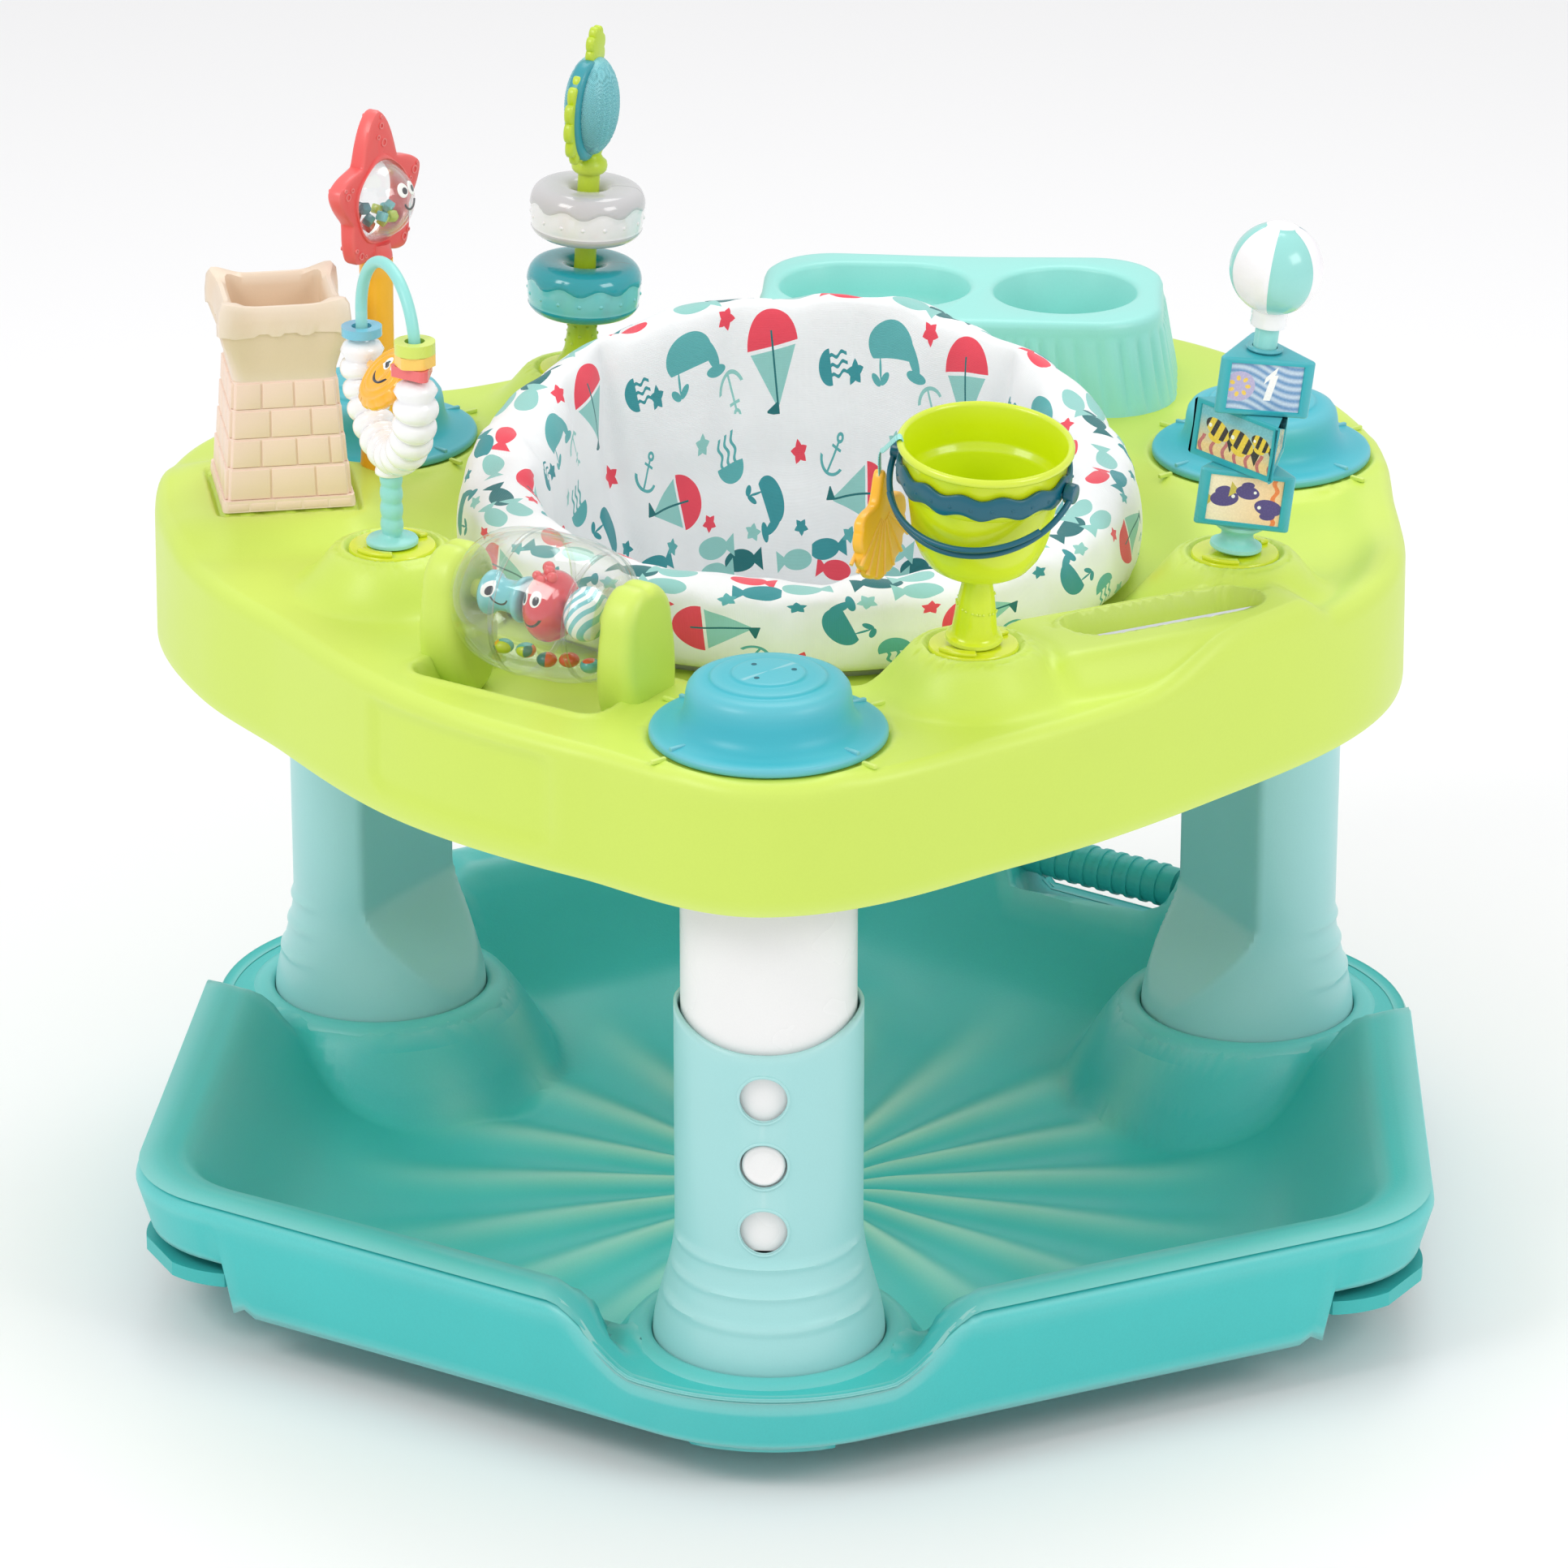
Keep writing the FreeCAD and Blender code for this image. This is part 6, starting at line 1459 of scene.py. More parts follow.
for radius, level in ((5, 4.9), (6, 5.6), (6.6, 5.7), (7.2, 5.2), (10.8, 4.9), (11.4, 5.4), (12.2, 5.4), (12.8, 4.8),
                      (15.5, 4.1), (16.2, 4.5), (17, 4.4), (17.6, 3.7), (19.6, 2.8), (20.4, 1.2), (20.5, 0)):
    sun_line.append((radius, level))
sun_line += [(radius, -level) for radius, level in reversed(sun_line[:-1])]
sun = spun(sun_line, 144)
for vert in sun.verts:
    turn = math.atan2(vert.co.y, vert.co.x)
    if vert.co.xy.length > 17.3:
        wave = 1 - 0.035 * (1 - abs(math.cos(turn * 8)) ** 0.7)
        vert.co.x *= wave
        vert.co.y *= wave
for side in (-1, 1):
    bmesh.ops.create_cone(sun, cap_ends=True, segments=24, radius1=2.4, radius2=2.4, depth=6, matrix=(
        Matrix.Translation((side * 22.4, 0, 0)) @ Matrix.Rotation(math.pi / 2, 4, "Y")))
lay(sun, "smiling_disc", "sun_disc", "shell_yellow", plastic(
    "disc_yellow", SUN, rough=0.2, grain=0.15, coat=0.5, frame_turn=face_place, pattern=printed(
        SUN, (1, 0, 0), (0, 1, 0), (0, 0, 1), [(-2, 6), (6.5, 7.5)], (0.5, 2, 8))),
    replaces=["sun_disc"], sharp=50, place=face_place)
for name, material in (
        ("arch_wire", aqua_soft), ("arch_ring_blue", plastic("bead_sky", paint(76, 184, 214), rough=0.25, coat=0.3)),
        ("arch_triangle_red", plastic("bead_red", paint(232, 66, 70), rough=0.25, coat=0.3)),
        ("arch_hexagon_yellow", plastic("bead_yellow", paint(252, 196, 20), rough=0.25, coat=0.3)),
        ("arch_ring_lime", plastic("bead_lime", paint(204, 222, 30), rough=0.25, coat=0.3))):
    nodes[name].data.materials.clear()
    nodes[name].data.materials.append(material)

# ------------------------------------------------------------ ring toy
# A lime stem leans a little and carries two hollow rattle rings, each moulded in two halves
# with a wavy band of drops, and a fish with a chevron-scaled body between lime fins.
def hub_place(name, lean, azimuth=0.0):
    heading = math.radians(azimuth)
    axis = Vector((-math.sin(heading), math.cos(heading), 0))
    return Matrix.Translation((*HUBS[name], 425)) @ Matrix.Rotation(math.radians(lean), 4, axis)


def drops(bm, radius, level, count, size, start=0.0):
    for number in range(count):
        at = Matrix.Rotation(start + 2 * math.pi * number / count, 4, "Z") @ Matrix.Translation((radius, 0, level))
        bmesh.ops.create_uvsphere(bm, u_segments=12, v_segments=8, radius=size, matrix=at)


ring_place = hub_place("rings", 3)
lime = plastic("stem_lime", paint(190, 214, 34), rough=0.3, grain=0.3)
stem = spun([(0.1, 0.3), (13.4, 0.3), (14, 0.8), (13.6, 2.6), (12.4, 4), (11.2, 6), (9.8, 10), (8.8, 18), (8.1, 26),
             (7.4, 28.6), (6.3, 29.2), (6.3, 115.6), (4, 116), (4, 125), (0.1, 125)], 64)
for level, radius in ((9, 9.6), (14, 8.9), (19, 8.5), (24, 8.0)):
    drops(stem, radius, level, 7, 1.1, level)
lay(stem, "ring_stem", "tray", "tray_lime", lime, replaces=["ring_stem_lime"], sharp=40, place=ring_place)


def rattle_ring(name, node, body, low, top_tone, band_tone, slot):
    """A hollow ring in two tones: the top's wavy lip overlaps a paler band of drops."""
    line = []
    for step in range(64):
        turn = 2 * math.pi * step / 64
        line.append((20.2 + 13.3 * math.copysign(abs(math.cos(turn)) ** 0.62, math.cos(turn)),
                     low + 18 + 15.5 * math.copysign(abs(math.sin(turn)) ** 0.78, math.sin(turn))))
    ring = spun(line + line[:1], 192)
    for vert in ring.verts:
        turn = math.atan2(vert.co.y, vert.co.x)
        out = vert.co.xy.length
        if out < 26:
            continue
        lip = low + 23 + 1.7 * math.sin(turn * 9)
        step_in = 0.85 * (ease(vert.co.z, low + 8.4, low + 9.6) - ease(vert.co.z, lip - 0.6, lip + 0.6))
        vert.co.x *= (out - step_in) / out
        vert.co.y *= (out - step_in) / out

    def two_tones(local):
        across, along, up = local.split()
        turn = along.math("ARCTAN2", across)
        lip_level = (turn * 9.0).math("SINE") * 0.0017 + (low + 23) * 0.001
        band = (up < lip_level) * (up > (low + 9) * 0.001)
        seam = (along.math("ABSOLUTE") < 0.00035) * (across > 0.0)
        shade = band.tint(top_tone, band_tone)
        return (seam * 0.45).tint(shade, paint(60, 60, 60))

    lay(ring, name, body, slot, plastic(name + "_tones", top_tone, rough=0.15, grain=0.06, coat=0.6,
                                       pattern=two_tones, frame_turn=ring_place, edge_highlight=0, mottle=0.03),
        replaces=[node], sharp=0, place=ring_place)
    bumps = bmesh.new()
    drops(bumps, 31.9, low + 15.5, 16, 1.4)
    lay(bumps, name + "_drops", body, slot, plastic(name + "_drop", band_tone, rough=0.15, coat=0.6, edge_highlight=0),
        sharp=0, place=ring_place)


rattle_ring("lower_ring", "rattle_ring_lower", "rattle_ring_lower", 29.4, paint(34, 160, 172),
            paint(120, 206, 210), "ring_aqua")
rattle_ring("upper_ring", "rattle_ring_upper", "rattle_ring_upper", 75.4, paint(200, 198, 200),
            paint(240, 238, 240), "ring_grey")
fish = spun([(math.cos(turn) + 0.001, math.sin(turn)) for turn in (math.pi * (step / 120 - 0.5)
                                                                   for step in range(121))], 160)
for vert in fish.verts:
    turn, lift = math.atan2(vert.co.y, vert.co.x), vert.co.z
    column = (turn / (2 * math.pi) * 26) % 2
    chevron = (lift * 30 + 4.2 * abs(column - 1) * 0.8) % 1.0 if abs(lift) < 0.93 else 0.5
    relief = 1 + 0.06 * (abs(chevron - 0.5) * 2 - 0.5)
    vert.co = (vert.co.x * 15.5 * relief, vert.co.y * 24 * relief, 156 + vert.co.z * 29)


def scales(local):
    """Chevrons in two tones of aqua, in columns round the body, as they are moulded."""
    across, along, up = local.split()
    column = (along.math("ARCTAN2", across) * (26 / (2 * math.pi)) + 26.0).math("PINGPONG", 1.0)
    rows = ((up - 0.156) * (30 / 0.029) + column * 3.36).math("FRACT")
    return ((rows - 0.5).math("ABSOLUTE") * 2.0).tint(paint(92, 178, 192), paint(150, 216, 220))


lay(fish, "fish_body", "fish", "ring_aqua", plastic("fish_aqua", paint(124, 200, 208), rough=0.34, grain=0.3,
                                                    edge_highlight=0.0, pattern=scales, frame_turn=ring_place),
    replaces=["fish"], sharp=0, place=ring_place)


def fin(bm, centre, reach, height, thick, lobes, azimuth, start, stop, depth=0.16):
    """A flat fin: a scalloped fan that stands out along an azimuth."""
    made = bmesh.ops.create_circle(bm, cap_ends=True, segments=120, radius=1)["verts"]
    face = made[0].link_faces[0]
    for vert in made:
        turn = math.atan2(vert.co.y, vert.co.x)
        scallop = 1 - depth * (1 - abs(math.sin(turn * lobes / 2)) ** 0.7)
        inside = ease(math.cos(turn), start, stop)
        swell_out = scallop * inside + 0.8 * (1 - inside)
        vert.co = (centre[0] + reach * math.cos(turn) * swell_out, 0, centre[1] + height * math.sin(turn) * swell_out)
    grown = bmesh.ops.extrude_face_region(bm, geom=[face])["geom"]
    corners = [item for item in grown if isinstance(item, bmesh.types.BMVert)]
    bmesh.ops.translate(bm, verts=corners, vec=(0, thick, 0))
    every = made + corners
    bmesh.ops.translate(bm, verts=every, vec=(0, -thick / 2, 0))
    rims = {edge for vert in every for edge in vert.link_edges if any(len(face.verts) > 50 for face in edge.link_faces)}
    blunt(bm, list(rims), thick * 0.3, 3)
    bm.transform(Matrix.Rotation(azimuth, 4, "Z"))


for name, centre, reach, height, lobes in (("side", (17, 152), 15, 27, 12), ("top", (-1, 189), 9, 14, 8)):
    fins = bmesh.new()
    fin(fins, centre, reach, height, 5.2, lobes, math.radians(-112), -2, -1)
    lay(fins, "fish_fin_" + name, "fish", "tray_lime", lime, sharp=40, place=ring_place)
band = bmesh.new()
fin(band, (9, 155), 18.5, 29.5, 9, 2, math.radians(-112), -2, -1, 0)
lay(band, "fish_band", "fish", "ring_aqua", plastic("fish_teal", paint(36, 150, 164), rough=0.3, grain=0.2),
    sharp=40, place=ring_place)
neck = spun([(0.1, 116.4), (8.6, 116.4), (10, 118), (10.4, 120.5), (9.8, 123), (7.6, 125), (6.6, 127), (7.4, 130),
             (0.1, 132)], 64)
lay(neck, "fish_neck", "fish", "tray_lime", lime, sharp=40, place=ring_place)

# ------------------------------------------------------------ picture blocks
# Three turquoise three-sided blocks spin on an aqua spindle, each face a glued picture in a
# moulded frame, and a small beach ball spins on top.
block_place = hub_place("blocks", 6.5)
spindle = spun([(0.1, 1.4), (13.4, 1.4), (14.2, 2.2), (14, 4), (11, 5.4), (9, 7.6), (8.6, 9.6), (9.4, 11.6),
                (12.4, 13.6), (14, 14.8), (14.2, 16.4), (13.4, 17.4), (6.6, 17.8), (6.4, 139.6), (0.1, 140)], 72)
lay(spindle, "block_spindle", "tray", "stem_aqua", aqua_soft, replaces=["block_stem_aqua"], sharp=40,
    place=block_place)


def two_tone(mask, first, second):
    return mask.tint(first, second)


def gentle(flat, low, high, span):
    _, up, _ = flat.split()
    return (up * (1 / span) + 0.5).tint(low, high)


def blob(flat, spot, size, turn=0.0):
    return flat.spot((spot[0] * 0.001, spot[1] * 0.001), (size[0] * 0.001, size[1] * 0.001), turn)


def swimmer(flat, colour, spot, size, turn, body, fins_tone, stripes=None):
    """A generic fish: an oval, a forked tail and a fin, with an eye; some have stripes."""
    shape = blob(flat, spot, (size, size), turn)
    across, up, _ = shape.split()
    tail = (up.math("ABSOLUTE") < (across * -0.9 - 0.65)) * (across > -1.5)
    colour = tail.tint(colour, fins_tone)
    fins_shape = (shape.spot((-0.1, 0.62), (0.55, 0.3), 12).vector("LENGTH", out=1) < 1.0)
    colour = fins_shape.tint(colour, body)
    inside = shape.spot((0, 0), (1.0, 0.6)).vector("LENGTH", out=1) < 1.0
    tone = body
    if stripes:
        tone = ((across * 8.5).math("SINE") > 0.1).tint(body, stripes)
    colour = inside.tint(colour, tone)
    eye = shape.spot((0.62, 0.12), (0.13, 0.13)).vector("LENGTH", out=1) < 1.0
    return eye.tint(colour, paint(250, 250, 240))


def purple_fish(flat):
    across, up, _ = flat.split()
    colour = (across * 30 + 0.45).math("MAXIMUM", 0.0).tint(paint(250, 236, 204), paint(246, 206, 150))
    weed = ((across * 900 + (up * 700).math("SINE") * 0.9).math("SINE") > 0.45) * (across > 0.011)
    colour = weed.tint(colour, paint(240, 132, 56))
    for spot, size, turn in (((-11, 0), 7.6, 8), ((1, 4.5), 6.4, -6), ((13, -3), 7.6, 172)):
        colour = swimmer(flat, colour, spot, size, turn, paint(76, 62, 130), paint(206, 190, 70))
    return colour


def striped_fish(flat):
    across, up, _ = flat.split()
    colour = (up * 60 + 0.5).math("MAXIMUM", 0.0).tint(paint(238, 208, 146), paint(120, 190, 204))
    weed = ((across * 800 + (up * 500).math("SINE")).math("SINE") > 0.6) * (up < -0.003)
    colour = weed.tint(colour, paint(196, 112, 110))
    for spot, size, turn in (((-12, 2), 8.5, 158), ((4, 0), 9.0, 160), ((17, 3), 6.5, 164)):
        colour = swimmer(flat, colour, spot, size, turn, paint(236, 206, 64), paint(40, 40, 36), paint(46, 42, 40))
    return colour


def numeral(flat):
    across, up, _ = flat.split()
    waves = ((up * 1400 + (across * 130).math("SINE") * 4.0 + across * 260).math("SINE")) * 0.5 + 0.5
    colour = waves.tint(paint(104, 150, 196), paint(196, 214, 232))
    ball = blob(flat, (-14, 0), (8.4, 8.4)).vector("LENGTH", out=1)
    colour = (ball < 1.0).tint(colour, paint(186, 178, 214))
    for number in range(7):
        turn = 2 * math.pi * number / 7
        dot = blob(flat, (-14 + 4.6 * math.cos(turn), 4.6 * math.sin(turn)), (1.5, 1.1), math.degrees(turn))
        colour = (dot.vector("LENGTH", out=1) < 1.0).tint(colour, paint(242, 204, 84))
    slanted = blob(flat, (3, 0), (1, 1))
    x, y, _ = slanted.split()
    leaning = (x - y * 0.2)
    stroke = (leaning.math("ABSOLUTE") < 1.9) * (y.math("ABSOLUTE") < 7.2)
    flag = ((leaning + y * -0.75 + 7.2).math("ABSOLUTE") < 1.5) * (leaning < 0.4) * (leaning > -4.4)
    return stroke.math("MAXIMUM", flag).tint(colour, paint(250, 250, 248))


def picture(name, pattern):
    """A printed paper label under a clear film, drawn on the face's own coordinates."""
    material, skin, flow = new_material(name)
    flat = flow.make("ShaderNodeUVMap", {"uv_map": "label"})
    where = flow.make("ShaderNodeTexCoord", out="Object")
    ink = flow.make("ShaderNodeTexNoise", (), {"Vector": where, "Scale": 900.0, "Detail": 2.0})
    tree = material.node_tree
    toned = flow.make("ShaderNodeHueSaturation", (), {"Value": ink * 0.16 + 0.92, "Color": pattern(flat)})
    tree.links.new(toned.socket, skin.inputs["Base Color"])
    tree.links.new((ink * 0.1 + 0.22).socket, skin.inputs["Roughness"])
    bump = flow.make("ShaderNodeBump", (), {"Strength": 0.1, "Distance": 0.00005, "Height": ink})
    tree.links.new(bump.socket, skin.inputs["Normal"])
    skin.inputs["Coat Weight"].default_value = 0.4
    return material


turquoise = plastic("block_turquoise", paint(44, 172, 184), rough=0.3, grain=0.3)
for number, (name, turn, art) in enumerate((("low", 92, picture("purple_fish_label", purple_fish)),
                                            ("middle", -68, picture("striped_fish_label", striped_fish)),
                                            ("top", 100, picture("numeral_label", numeral)))):
    block = bmesh.new()
    low = 18 + 32.3 * number
    bmesh.ops.create_cone(block, cap_ends=True, segments=3, radius1=1, radius2=1, depth=32,
                          matrix=Matrix.Translation((0, 0, low + 16)))
    for vert in block.verts:
        heading = math.atan2(vert.co.y, vert.co.x)
        vert.co.x, vert.co.y = 31.6 * math.cos(heading), 31.6 * math.sin(heading)
    first = next(vert for vert in block.verts)
    spin = Matrix.Rotation(math.radians(turn) - math.atan2(first.co.y, first.co.x), 4, "Z")
    block.transform(spin)
    blunt(block, [edge for edge in block.edges if abs(edge.verts[0].co.z - edge.verts[1].co.z) > 1], 4.6, 6)
    walls = [face for face in block.faces if abs(face.normal.z) < 0.1 and face.calc_area() > 900]
    bmesh.ops.inset_individual(block, faces=walls, thickness=3.9, depth=0)
    bmesh.ops.inset_individual(block, faces=walls, thickness=0.5, depth=-0.9)
    uv = block.loops.layers.uv.new("label")
    for face in block.faces:
        if face in walls:
            face.material_index = 1
            across = Vector((-face.normal.y, face.normal.x, 0)).normalized()
            middle = face.calc_center_median()
            for loop in face.loops:
                gap = loop.vert.co - middle
                loop[uv].uv = (gap.dot(across) * 0.001, gap.z * 0.001)
    rims = [edge for edge in block.edges if edge.calc_face_angle(0) > 1.2
            and all(face.material_index == 0 for face in edge.link_faces)
            and min(abs(vert.co.z - low) for vert in edge.verts) < 0.01
            or edge.calc_face_angle(0) > 1.2 and min(abs(vert.co.z - low - 32) for vert in edge.verts) < 0.01]
    blunt(block, rims, 1.3, 3)
    block_node = "picture_block_" + name
    lay(block, "block_" + name, block_node, "block_teal", turquoise, art, replaces=[block_node], sharp=35,
        place=block_place)
collar = spun([(6.9, 115.2), (9.4, 115.2), (10, 116), (9.6, 117), (6.9, 117), (6.9, 115.2)], 48)
lay(collar, "block_collar", "picture_block_top", "block_teal", turquoise, sharp=40, place=block_place)


def gores(local):
    across, along, up = local.split()
    turn = (along.math("ARCTAN2", across) + math.pi) * (3 / math.pi)
    shade = turn.make("ShaderNodeValToRGB", {"interpolation": "CONSTANT", "stops": [
        (0.0, paint(246, 244, 248)), (1 / 6, paint(150, 216, 210)), (2 / 6, paint(246, 244, 248)),
        (3 / 6, paint(36, 130, 146)), (4 / 6, paint(246, 244, 248)), (5 / 6, paint(150, 216, 210))]},
        {0: turn * (1 / 6)})
    cap = (across * across + along * along) < 0.0085 ** 2
    return (cap * (up > 0.17)).tint(shade, paint(250, 248, 250))


ball = spun([(25 * math.cos(turn) + 0.01, 161 + 25 * math.sin(turn)) for turn in
             (math.pi * (step / 64 - 0.5) for step in range(65))], 144)
for vert in ball.verts:
    around = (math.atan2(vert.co.y, vert.co.x) / (math.pi / 3)) % 1
    groove = 0.35 * math.exp(-(min(around, 1 - around) / 0.025) ** 2) * (vert.co.xy.length > 8.5)
    cap = 0.5 * (vert.co.xy.length < 8.6) * (vert.co.z > 170)
    centre = Vector((0, 0, 161))
    vert.co = centre + (vert.co - centre) * (1 + (cap - groove) / 25)
lay(ball, "striped_ball", "beach_ball", "ball_white", plastic(
    "ball_gores", paint(246, 244, 248), rough=0.2, grain=0.1, coat=0.4, pattern=gores, edge_highlight=0,
    frame_turn=block_place @ Matrix.Rotation(math.radians(20), 4, "Z")),
    replaces=["beach_ball"], sharp=60, place=block_place @ Matrix.Rotation(math.radians(20), 4, "Z"))
foot = spun([(6.9, 128.8), (9.4, 128.8), (9.8, 130), (9.4, 134), (9.8, 135), (9.8, 139), (6.9, 140.5), (6.9, 128.8)],
            64)
lay(foot, "ball_collar", "beach_ball", "ball_white", white, sharp=40, place=block_place)

# ------------------------------------------------------------ bucket
# A lime pail on a bumpy stem: stepped wall, rolled rim, a wavy petrol band with drops, and a
# petrol bail. A shell teether hangs from an aqua ribbon tied over its rim.
pail_place = hub_place("bucket", 8, -69)
pail_skin = plastic("pail_lime", paint(212, 230, 14), rough=0.24, grain=0.15, coat=0.3)
pail = spun([(0.1, 46), (21, 46), (24.5, 46.8), (27.6, 49), (31.6, 54.6), (34.4, 61), (36, 67), (39.3, 88), (39.6, 91),
             (41.4, 92.6), (42.2, 94.4), (43, 112), (43.6, 113.2), (45.2, 113.6), (46, 114.6), (46.1, 116.2),
             (45.4, 117.5), (44.2, 118), (42.9, 117.4), (42.2, 116), (41.2, 97), (40.6, 95), (38.2, 93), (37.6, 91),
             (34.2, 67), (31.6, 58), (28.6, 53), (25, 50.4), (19, 49.6), (0.1, 49.6)], 144)
lay(pail, "pail", "tray", "tray_lime", pail_skin, replaces=["bucket"], sharp=40, place=pail_place)
stalk = spun([(0.1, 1.8), (14.6, 1.8), (15.2, 2.6), (14.8, 4.2), (12.8, 5.4), (12, 7), (11.2, 14), (10.3, 22),
              (9.4, 28), (8.4, 33), (8, 38), (8.6, 43), (12, 46.4), (0.1, 46.6)], 72)
for number in range(26):
    level = 19 + 9.5 * ((number * 0.618) % 1)
    at = (Matrix.Rotation(number * 2.4, 4, "Z") @ Matrix.Translation((10.9 - (level - 19) * 0.15, 0, level)))
    bmesh.ops.create_icosphere(stalk, subdivisions=2, radius=0.75, matrix=at)
lay(stalk, "pail_stalk", "tray", "tray_lime", pail_skin, replaces=["bucket_stem"], sharp=40, place=pail_place)
petrol = plastic("band_petrol", paint(4, 92, 112), rough=0.3, grain=0.2, coat=0.1, mottle=0.03, edge_highlight=0)
band_line = [(43.0, 95), (44.6, 95), (45.3, 96), (45.6, 98), (45.7, 100.5), (45.6, 103), (45.3, 105), (44.6, 106),
             (43.2, 106), (43.0, 95)]
band = spun(band_line, 216)
for vert in band.verts:
    turn = math.atan2(vert.co.y, vert.co.x)
    vert.co.z += (1.3 * math.sin(turn * 13) + 0.25) * ease(abs(vert.co.z - 100.5), 0, 4.5)
drops(band, 45.4, 100.4, 26, 0.9)
lay(band, "pail_band", "tray", "band_petrol", petrol, replaces=["bucket_band"], sharp=40, place=pail_place)


def bow(bm, radius, wire, start, stop, place):
    """A round bar bent into part of a circle, with closed ends."""
    made = bmesh.ops.create_circle(bm, cap_ends=True, segments=20, radius=wire)["verts"]
    face = made[0].link_faces[0]
    for vert in made:
        vert.co = (radius + vert.co.x, 0, vert.co.y)
    bmesh.ops.rotate(bm, verts=made, cent=(0, 0, 0), matrix=Matrix.Rotation(start, 3, "Z"))
    spinning = bmesh.ops.spin(bm, geom=[face], cent=(0, 0, 0), axis=(0, 0, 1), angle=stop - start, steps=72,
                              use_merge=False, use_duplicate=False)
    ends = {vert for vert in made}
    known = getattr(bow, "known", set())
    fresh = [vert for vert in bm.verts if vert not in known]
    bmesh.ops.transform(bm, matrix=place, verts=fresh)
    bow.known = set(bm.verts)


bail_place = (Matrix.Translation((0, 0, 100)) @ Matrix.Rotation(math.radians(-22), 4, "Z")
              @ Matrix.Rotation(math.radians(35), 4, "X"))
bail = bmesh.new()
bow(bail, 49.9, 1.7, math.pi, 2 * math.pi, bail_place)
bow(bail, 50.2, 1.5, math.pi * 1.18, math.pi * 1.82, bail_place @ Matrix.Rotation(math.radians(-7), 4, "X"))
for side in (0, 1):
    at = (Matrix.Translation((0, 0, 100)) @ Matrix.Rotation(math.radians(-22 + 180 * side), 4, "Z")
          @ Matrix.Translation((48.9, 0, 0)) @ Matrix.Rotation(math.pi / 2, 4, "Y"))
    made = bmesh.ops.create_cone(bail, cap_ends=True, segments=40, radius1=5.6, radius2=5.3, depth=5.4,
                                 matrix=at)["verts"]
    rims = {edge for vert in made for edge in vert.link_edges if any(len(face.verts) > 20
                                                                   for face in edge.link_faces)}
    blunt(bail, list(rims), 0.8, 3)
lay(bail, "pail_bail", "bucket_bail", "band_petrol", petrol, replaces=["bucket_bail"], sharp=40, place=pail_place)

hang = Matrix.Translation((53.5, -220, 484)) @ Matrix.Rotation(math.radians(157), 4, "Z")
teether = bmesh.new()
made = bmesh.ops.create_circle(teether, cap_ends=True, segments=160, radius=1)["verts"]
face = made[0].link_faces[0]
for vert in made:
    turn = math.atan2(vert.co.y, vert.co.x)
    fan = ease(-math.sin(turn), -0.75, 0.15)
    scallop = 1 - 0.075 * (1 - abs(math.cos(turn * 6.5)) ** 0.6) * fan
    narrow = 1 - 0.42 * ease(math.sin(turn), 0.35, 1.0) * (1 - 0.55 * math.exp(-(math.cos(turn) / 0.16) ** 2))
    reach = (27.5 * scallop) * (narrow if math.sin(turn) > 0 else 1) + 10 * math.exp(
        -((turn - math.pi / 2) / 0.34) ** 2)
    vert.co = (0, reach * math.cos(turn), reach * math.sin(turn) + 3)
grown = bmesh.ops.extrude_face_region(teether, geom=[face])["geom"]
corners = [item for item in grown if isinstance(item, bmesh.types.BMVert)]
bmesh.ops.translate(teether, verts=corners, vec=(6.4, 0, 0))
bmesh.ops.translate(teether, verts=list(teether.verts), vec=(-3.2, 0, 0))
blunt(teether, [edge for edge in teether.edges if any(len(face.verts) > 50 for face in edge.link_faces)], 2.0, 4)
for side in (-1, 1):
    for number in range(-3, 4):
        ridge = bmesh.ops.create_cone(teether, cap_ends=True, segments=12, radius1=1.1, radius2=0.7, depth=30,
                                      matrix=Matrix.Translation((side * 2.9, 0, 14)) @ Matrix.Rotation(
                                          math.radians(number * 17), 4, "X") @ Matrix.Translation((0, 0, -21)))
amber = plastic("shell_amber", paint(255, 188, 22), rough=0.3, grain=0.25, coat=0.15)
lay(teether, "teether_shell", "shell_teether", "shell_yellow", amber, replaces=["shell_teether"], sharp=45,
    place=hang)
ribbon, skin, flow = new_material("ribbon_aqua")
where = flow.make("ShaderNodeTexCoord", out="Object")
rib = flow.make("ShaderNodeTexWave", {"wave_type": "BANDS", "bands_direction": "Z"}, {"Vector": where, "Scale": 260.0})
ribbon.node_tree.links.new(rib.tint(paint(120, 200, 196), paint(158, 226, 220)).socket, skin.inputs["Base Color"])
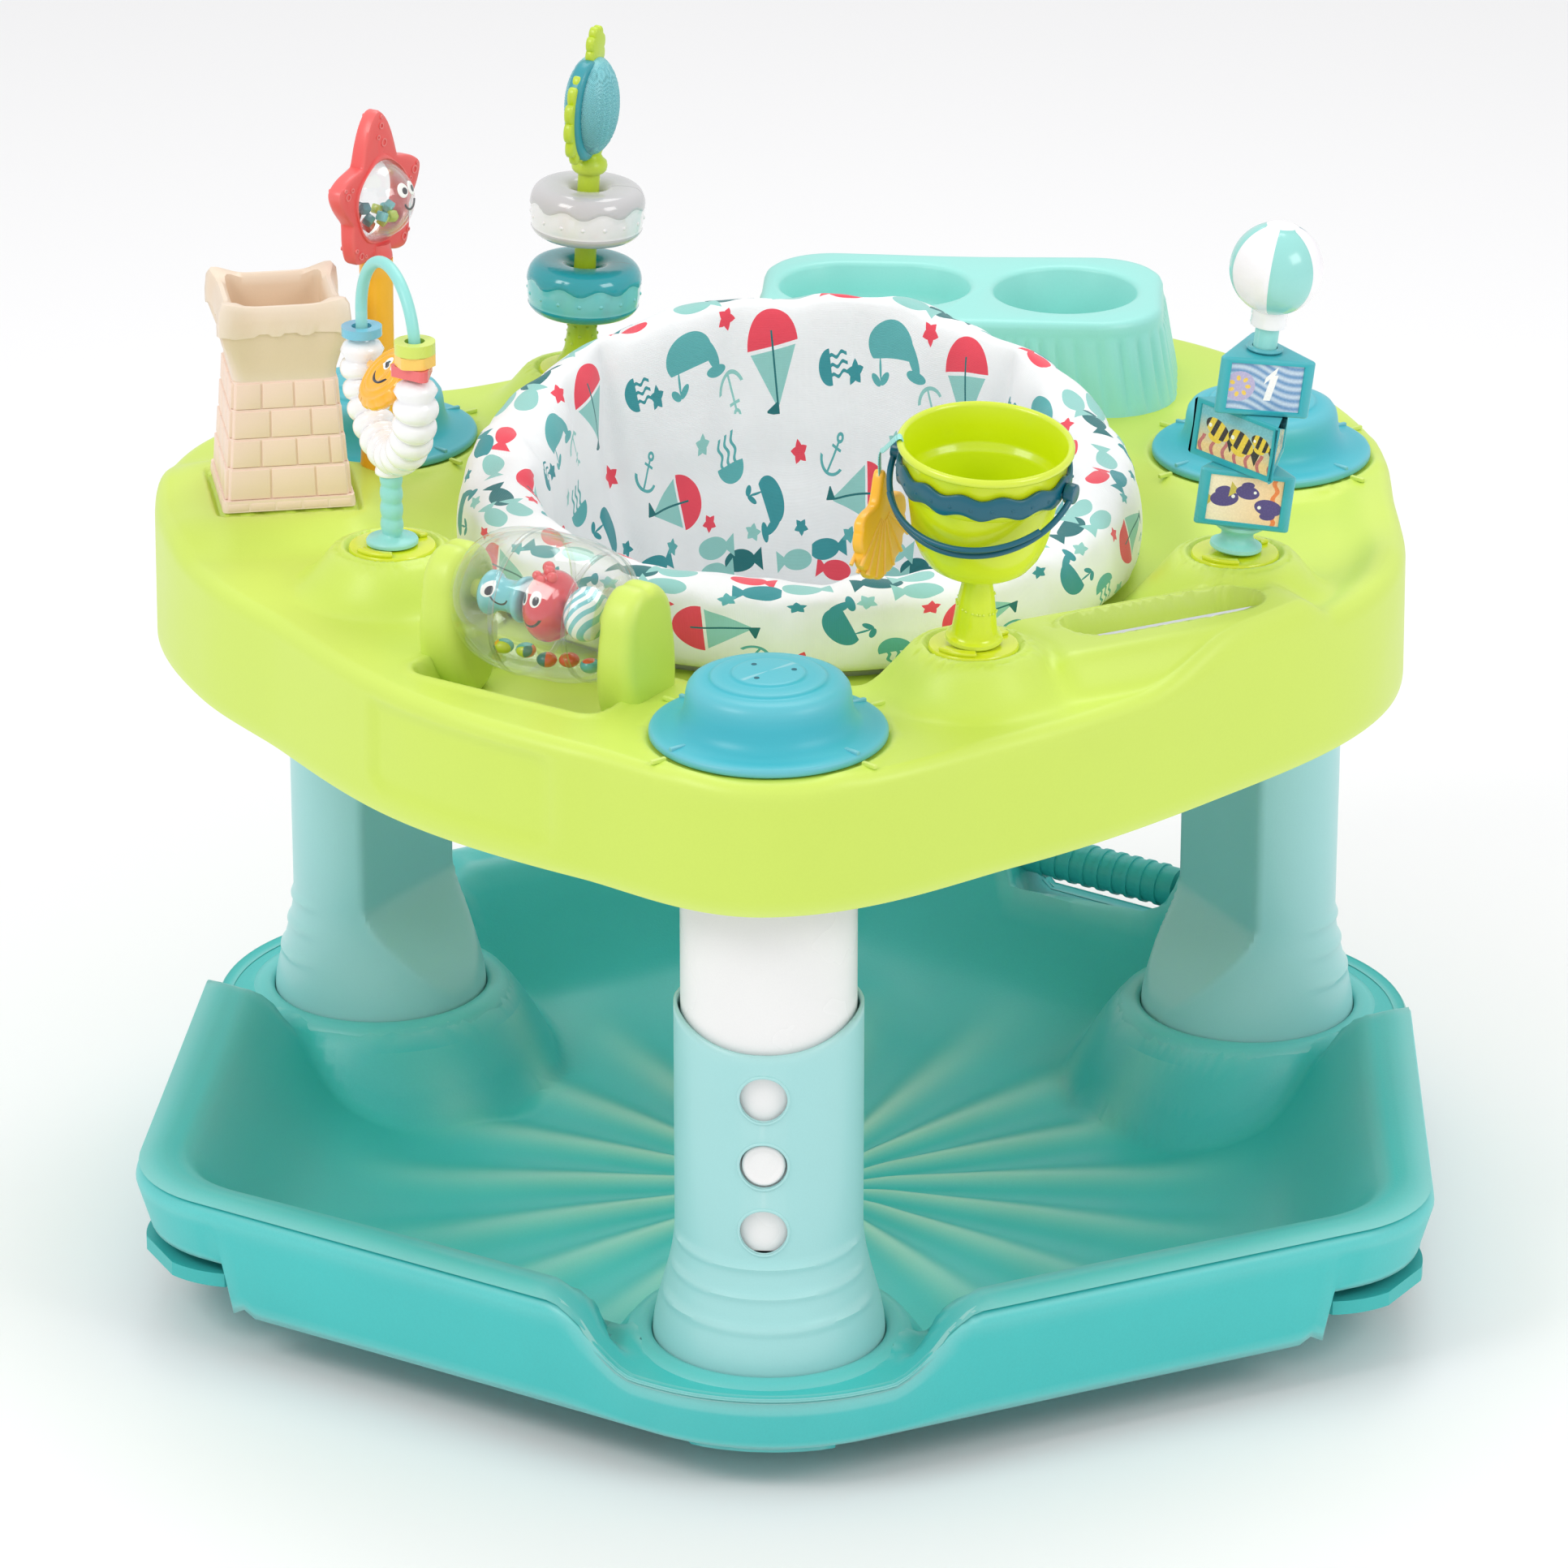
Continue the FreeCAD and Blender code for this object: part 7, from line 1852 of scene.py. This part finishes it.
ribbon.node_tree.links.new((rib * 0.1 + 0.5).socket, skin.inputs["Roughness"])
bump = flow.make("ShaderNodeBump", (), {"Strength": 0.5, "Distance": 0.0002, "Height": rib})
ribbon.node_tree.links.new(bump.socket, skin.inputs["Normal"])
skin.inputs["Sheen Weight"].default_value = 0.2


def strip(name, body, points, width, thick, azimuth, soft=2):
    """A flat ribbon through a few points, given as (out from the first, level)."""
    tape = bmesh.new()
    heading = Vector((math.cos(azimuth), math.sin(azimuth), 0))
    across = Vector((-heading.y, heading.x, 0))
    rows = []
    for x, y, level in points:
        middle = Vector((x, y, level))
        rows.append([tape.verts.new(middle + across * side * width / 2) for side in (-1, 1)])
    edges = []
    edge = tape.edges.new(rows[0])
    for first, second in zip(rows, rows[1:]):
        tape.faces.new((first[0], first[1], second[1], second[0]))
    piece = lay(tape, name, body, "shell_yellow", ribbon, sharp=0)
    shell = piece.modifiers.new("thickness", "SOLIDIFY")
    shell.thickness, shell.offset = thick * 0.001, 0
    subdivide = piece.modifiers.new("rounding", "SUBSURF")
    subdivide.levels = subdivide.render_levels = soft
    return piece


rim_spot = pail_place @ Vector((45.4 * math.cos(math.radians(184)), 45.4 * math.sin(math.radians(184)), 118.4))
inner_spot = pail_place @ Vector((40.0 * math.cos(math.radians(184)), 40.0 * math.sin(math.radians(184)), 104))
over = pail_place @ Vector((43.6 * math.cos(math.radians(184)), 43.6 * math.sin(math.radians(184)), 120.2))
hinge_top = Vector((53.5, -220, 528))
strip("ribbon_over_rim", "tray", [
    tuple(inner_spot), tuple(inner_spot.lerp(over, 0.6)), tuple(over), tuple(rim_spot + Vector((-2.2, 0, -1.5))),
    tuple(rim_spot.lerp(hinge_top, 0.75) + Vector((-0.6, 0, -1))), tuple(hinge_top + Vector((0, 0, 1.5)))],
    9, 1.0, math.radians(184))
strip("ribbon_to_teether", "shell_teether", [
    (53.5, -220, 529.5), (53.2, -220, 524), (53.5, -220, 519), (53.7, -220, 514)], 7, 1.4, math.radians(172))
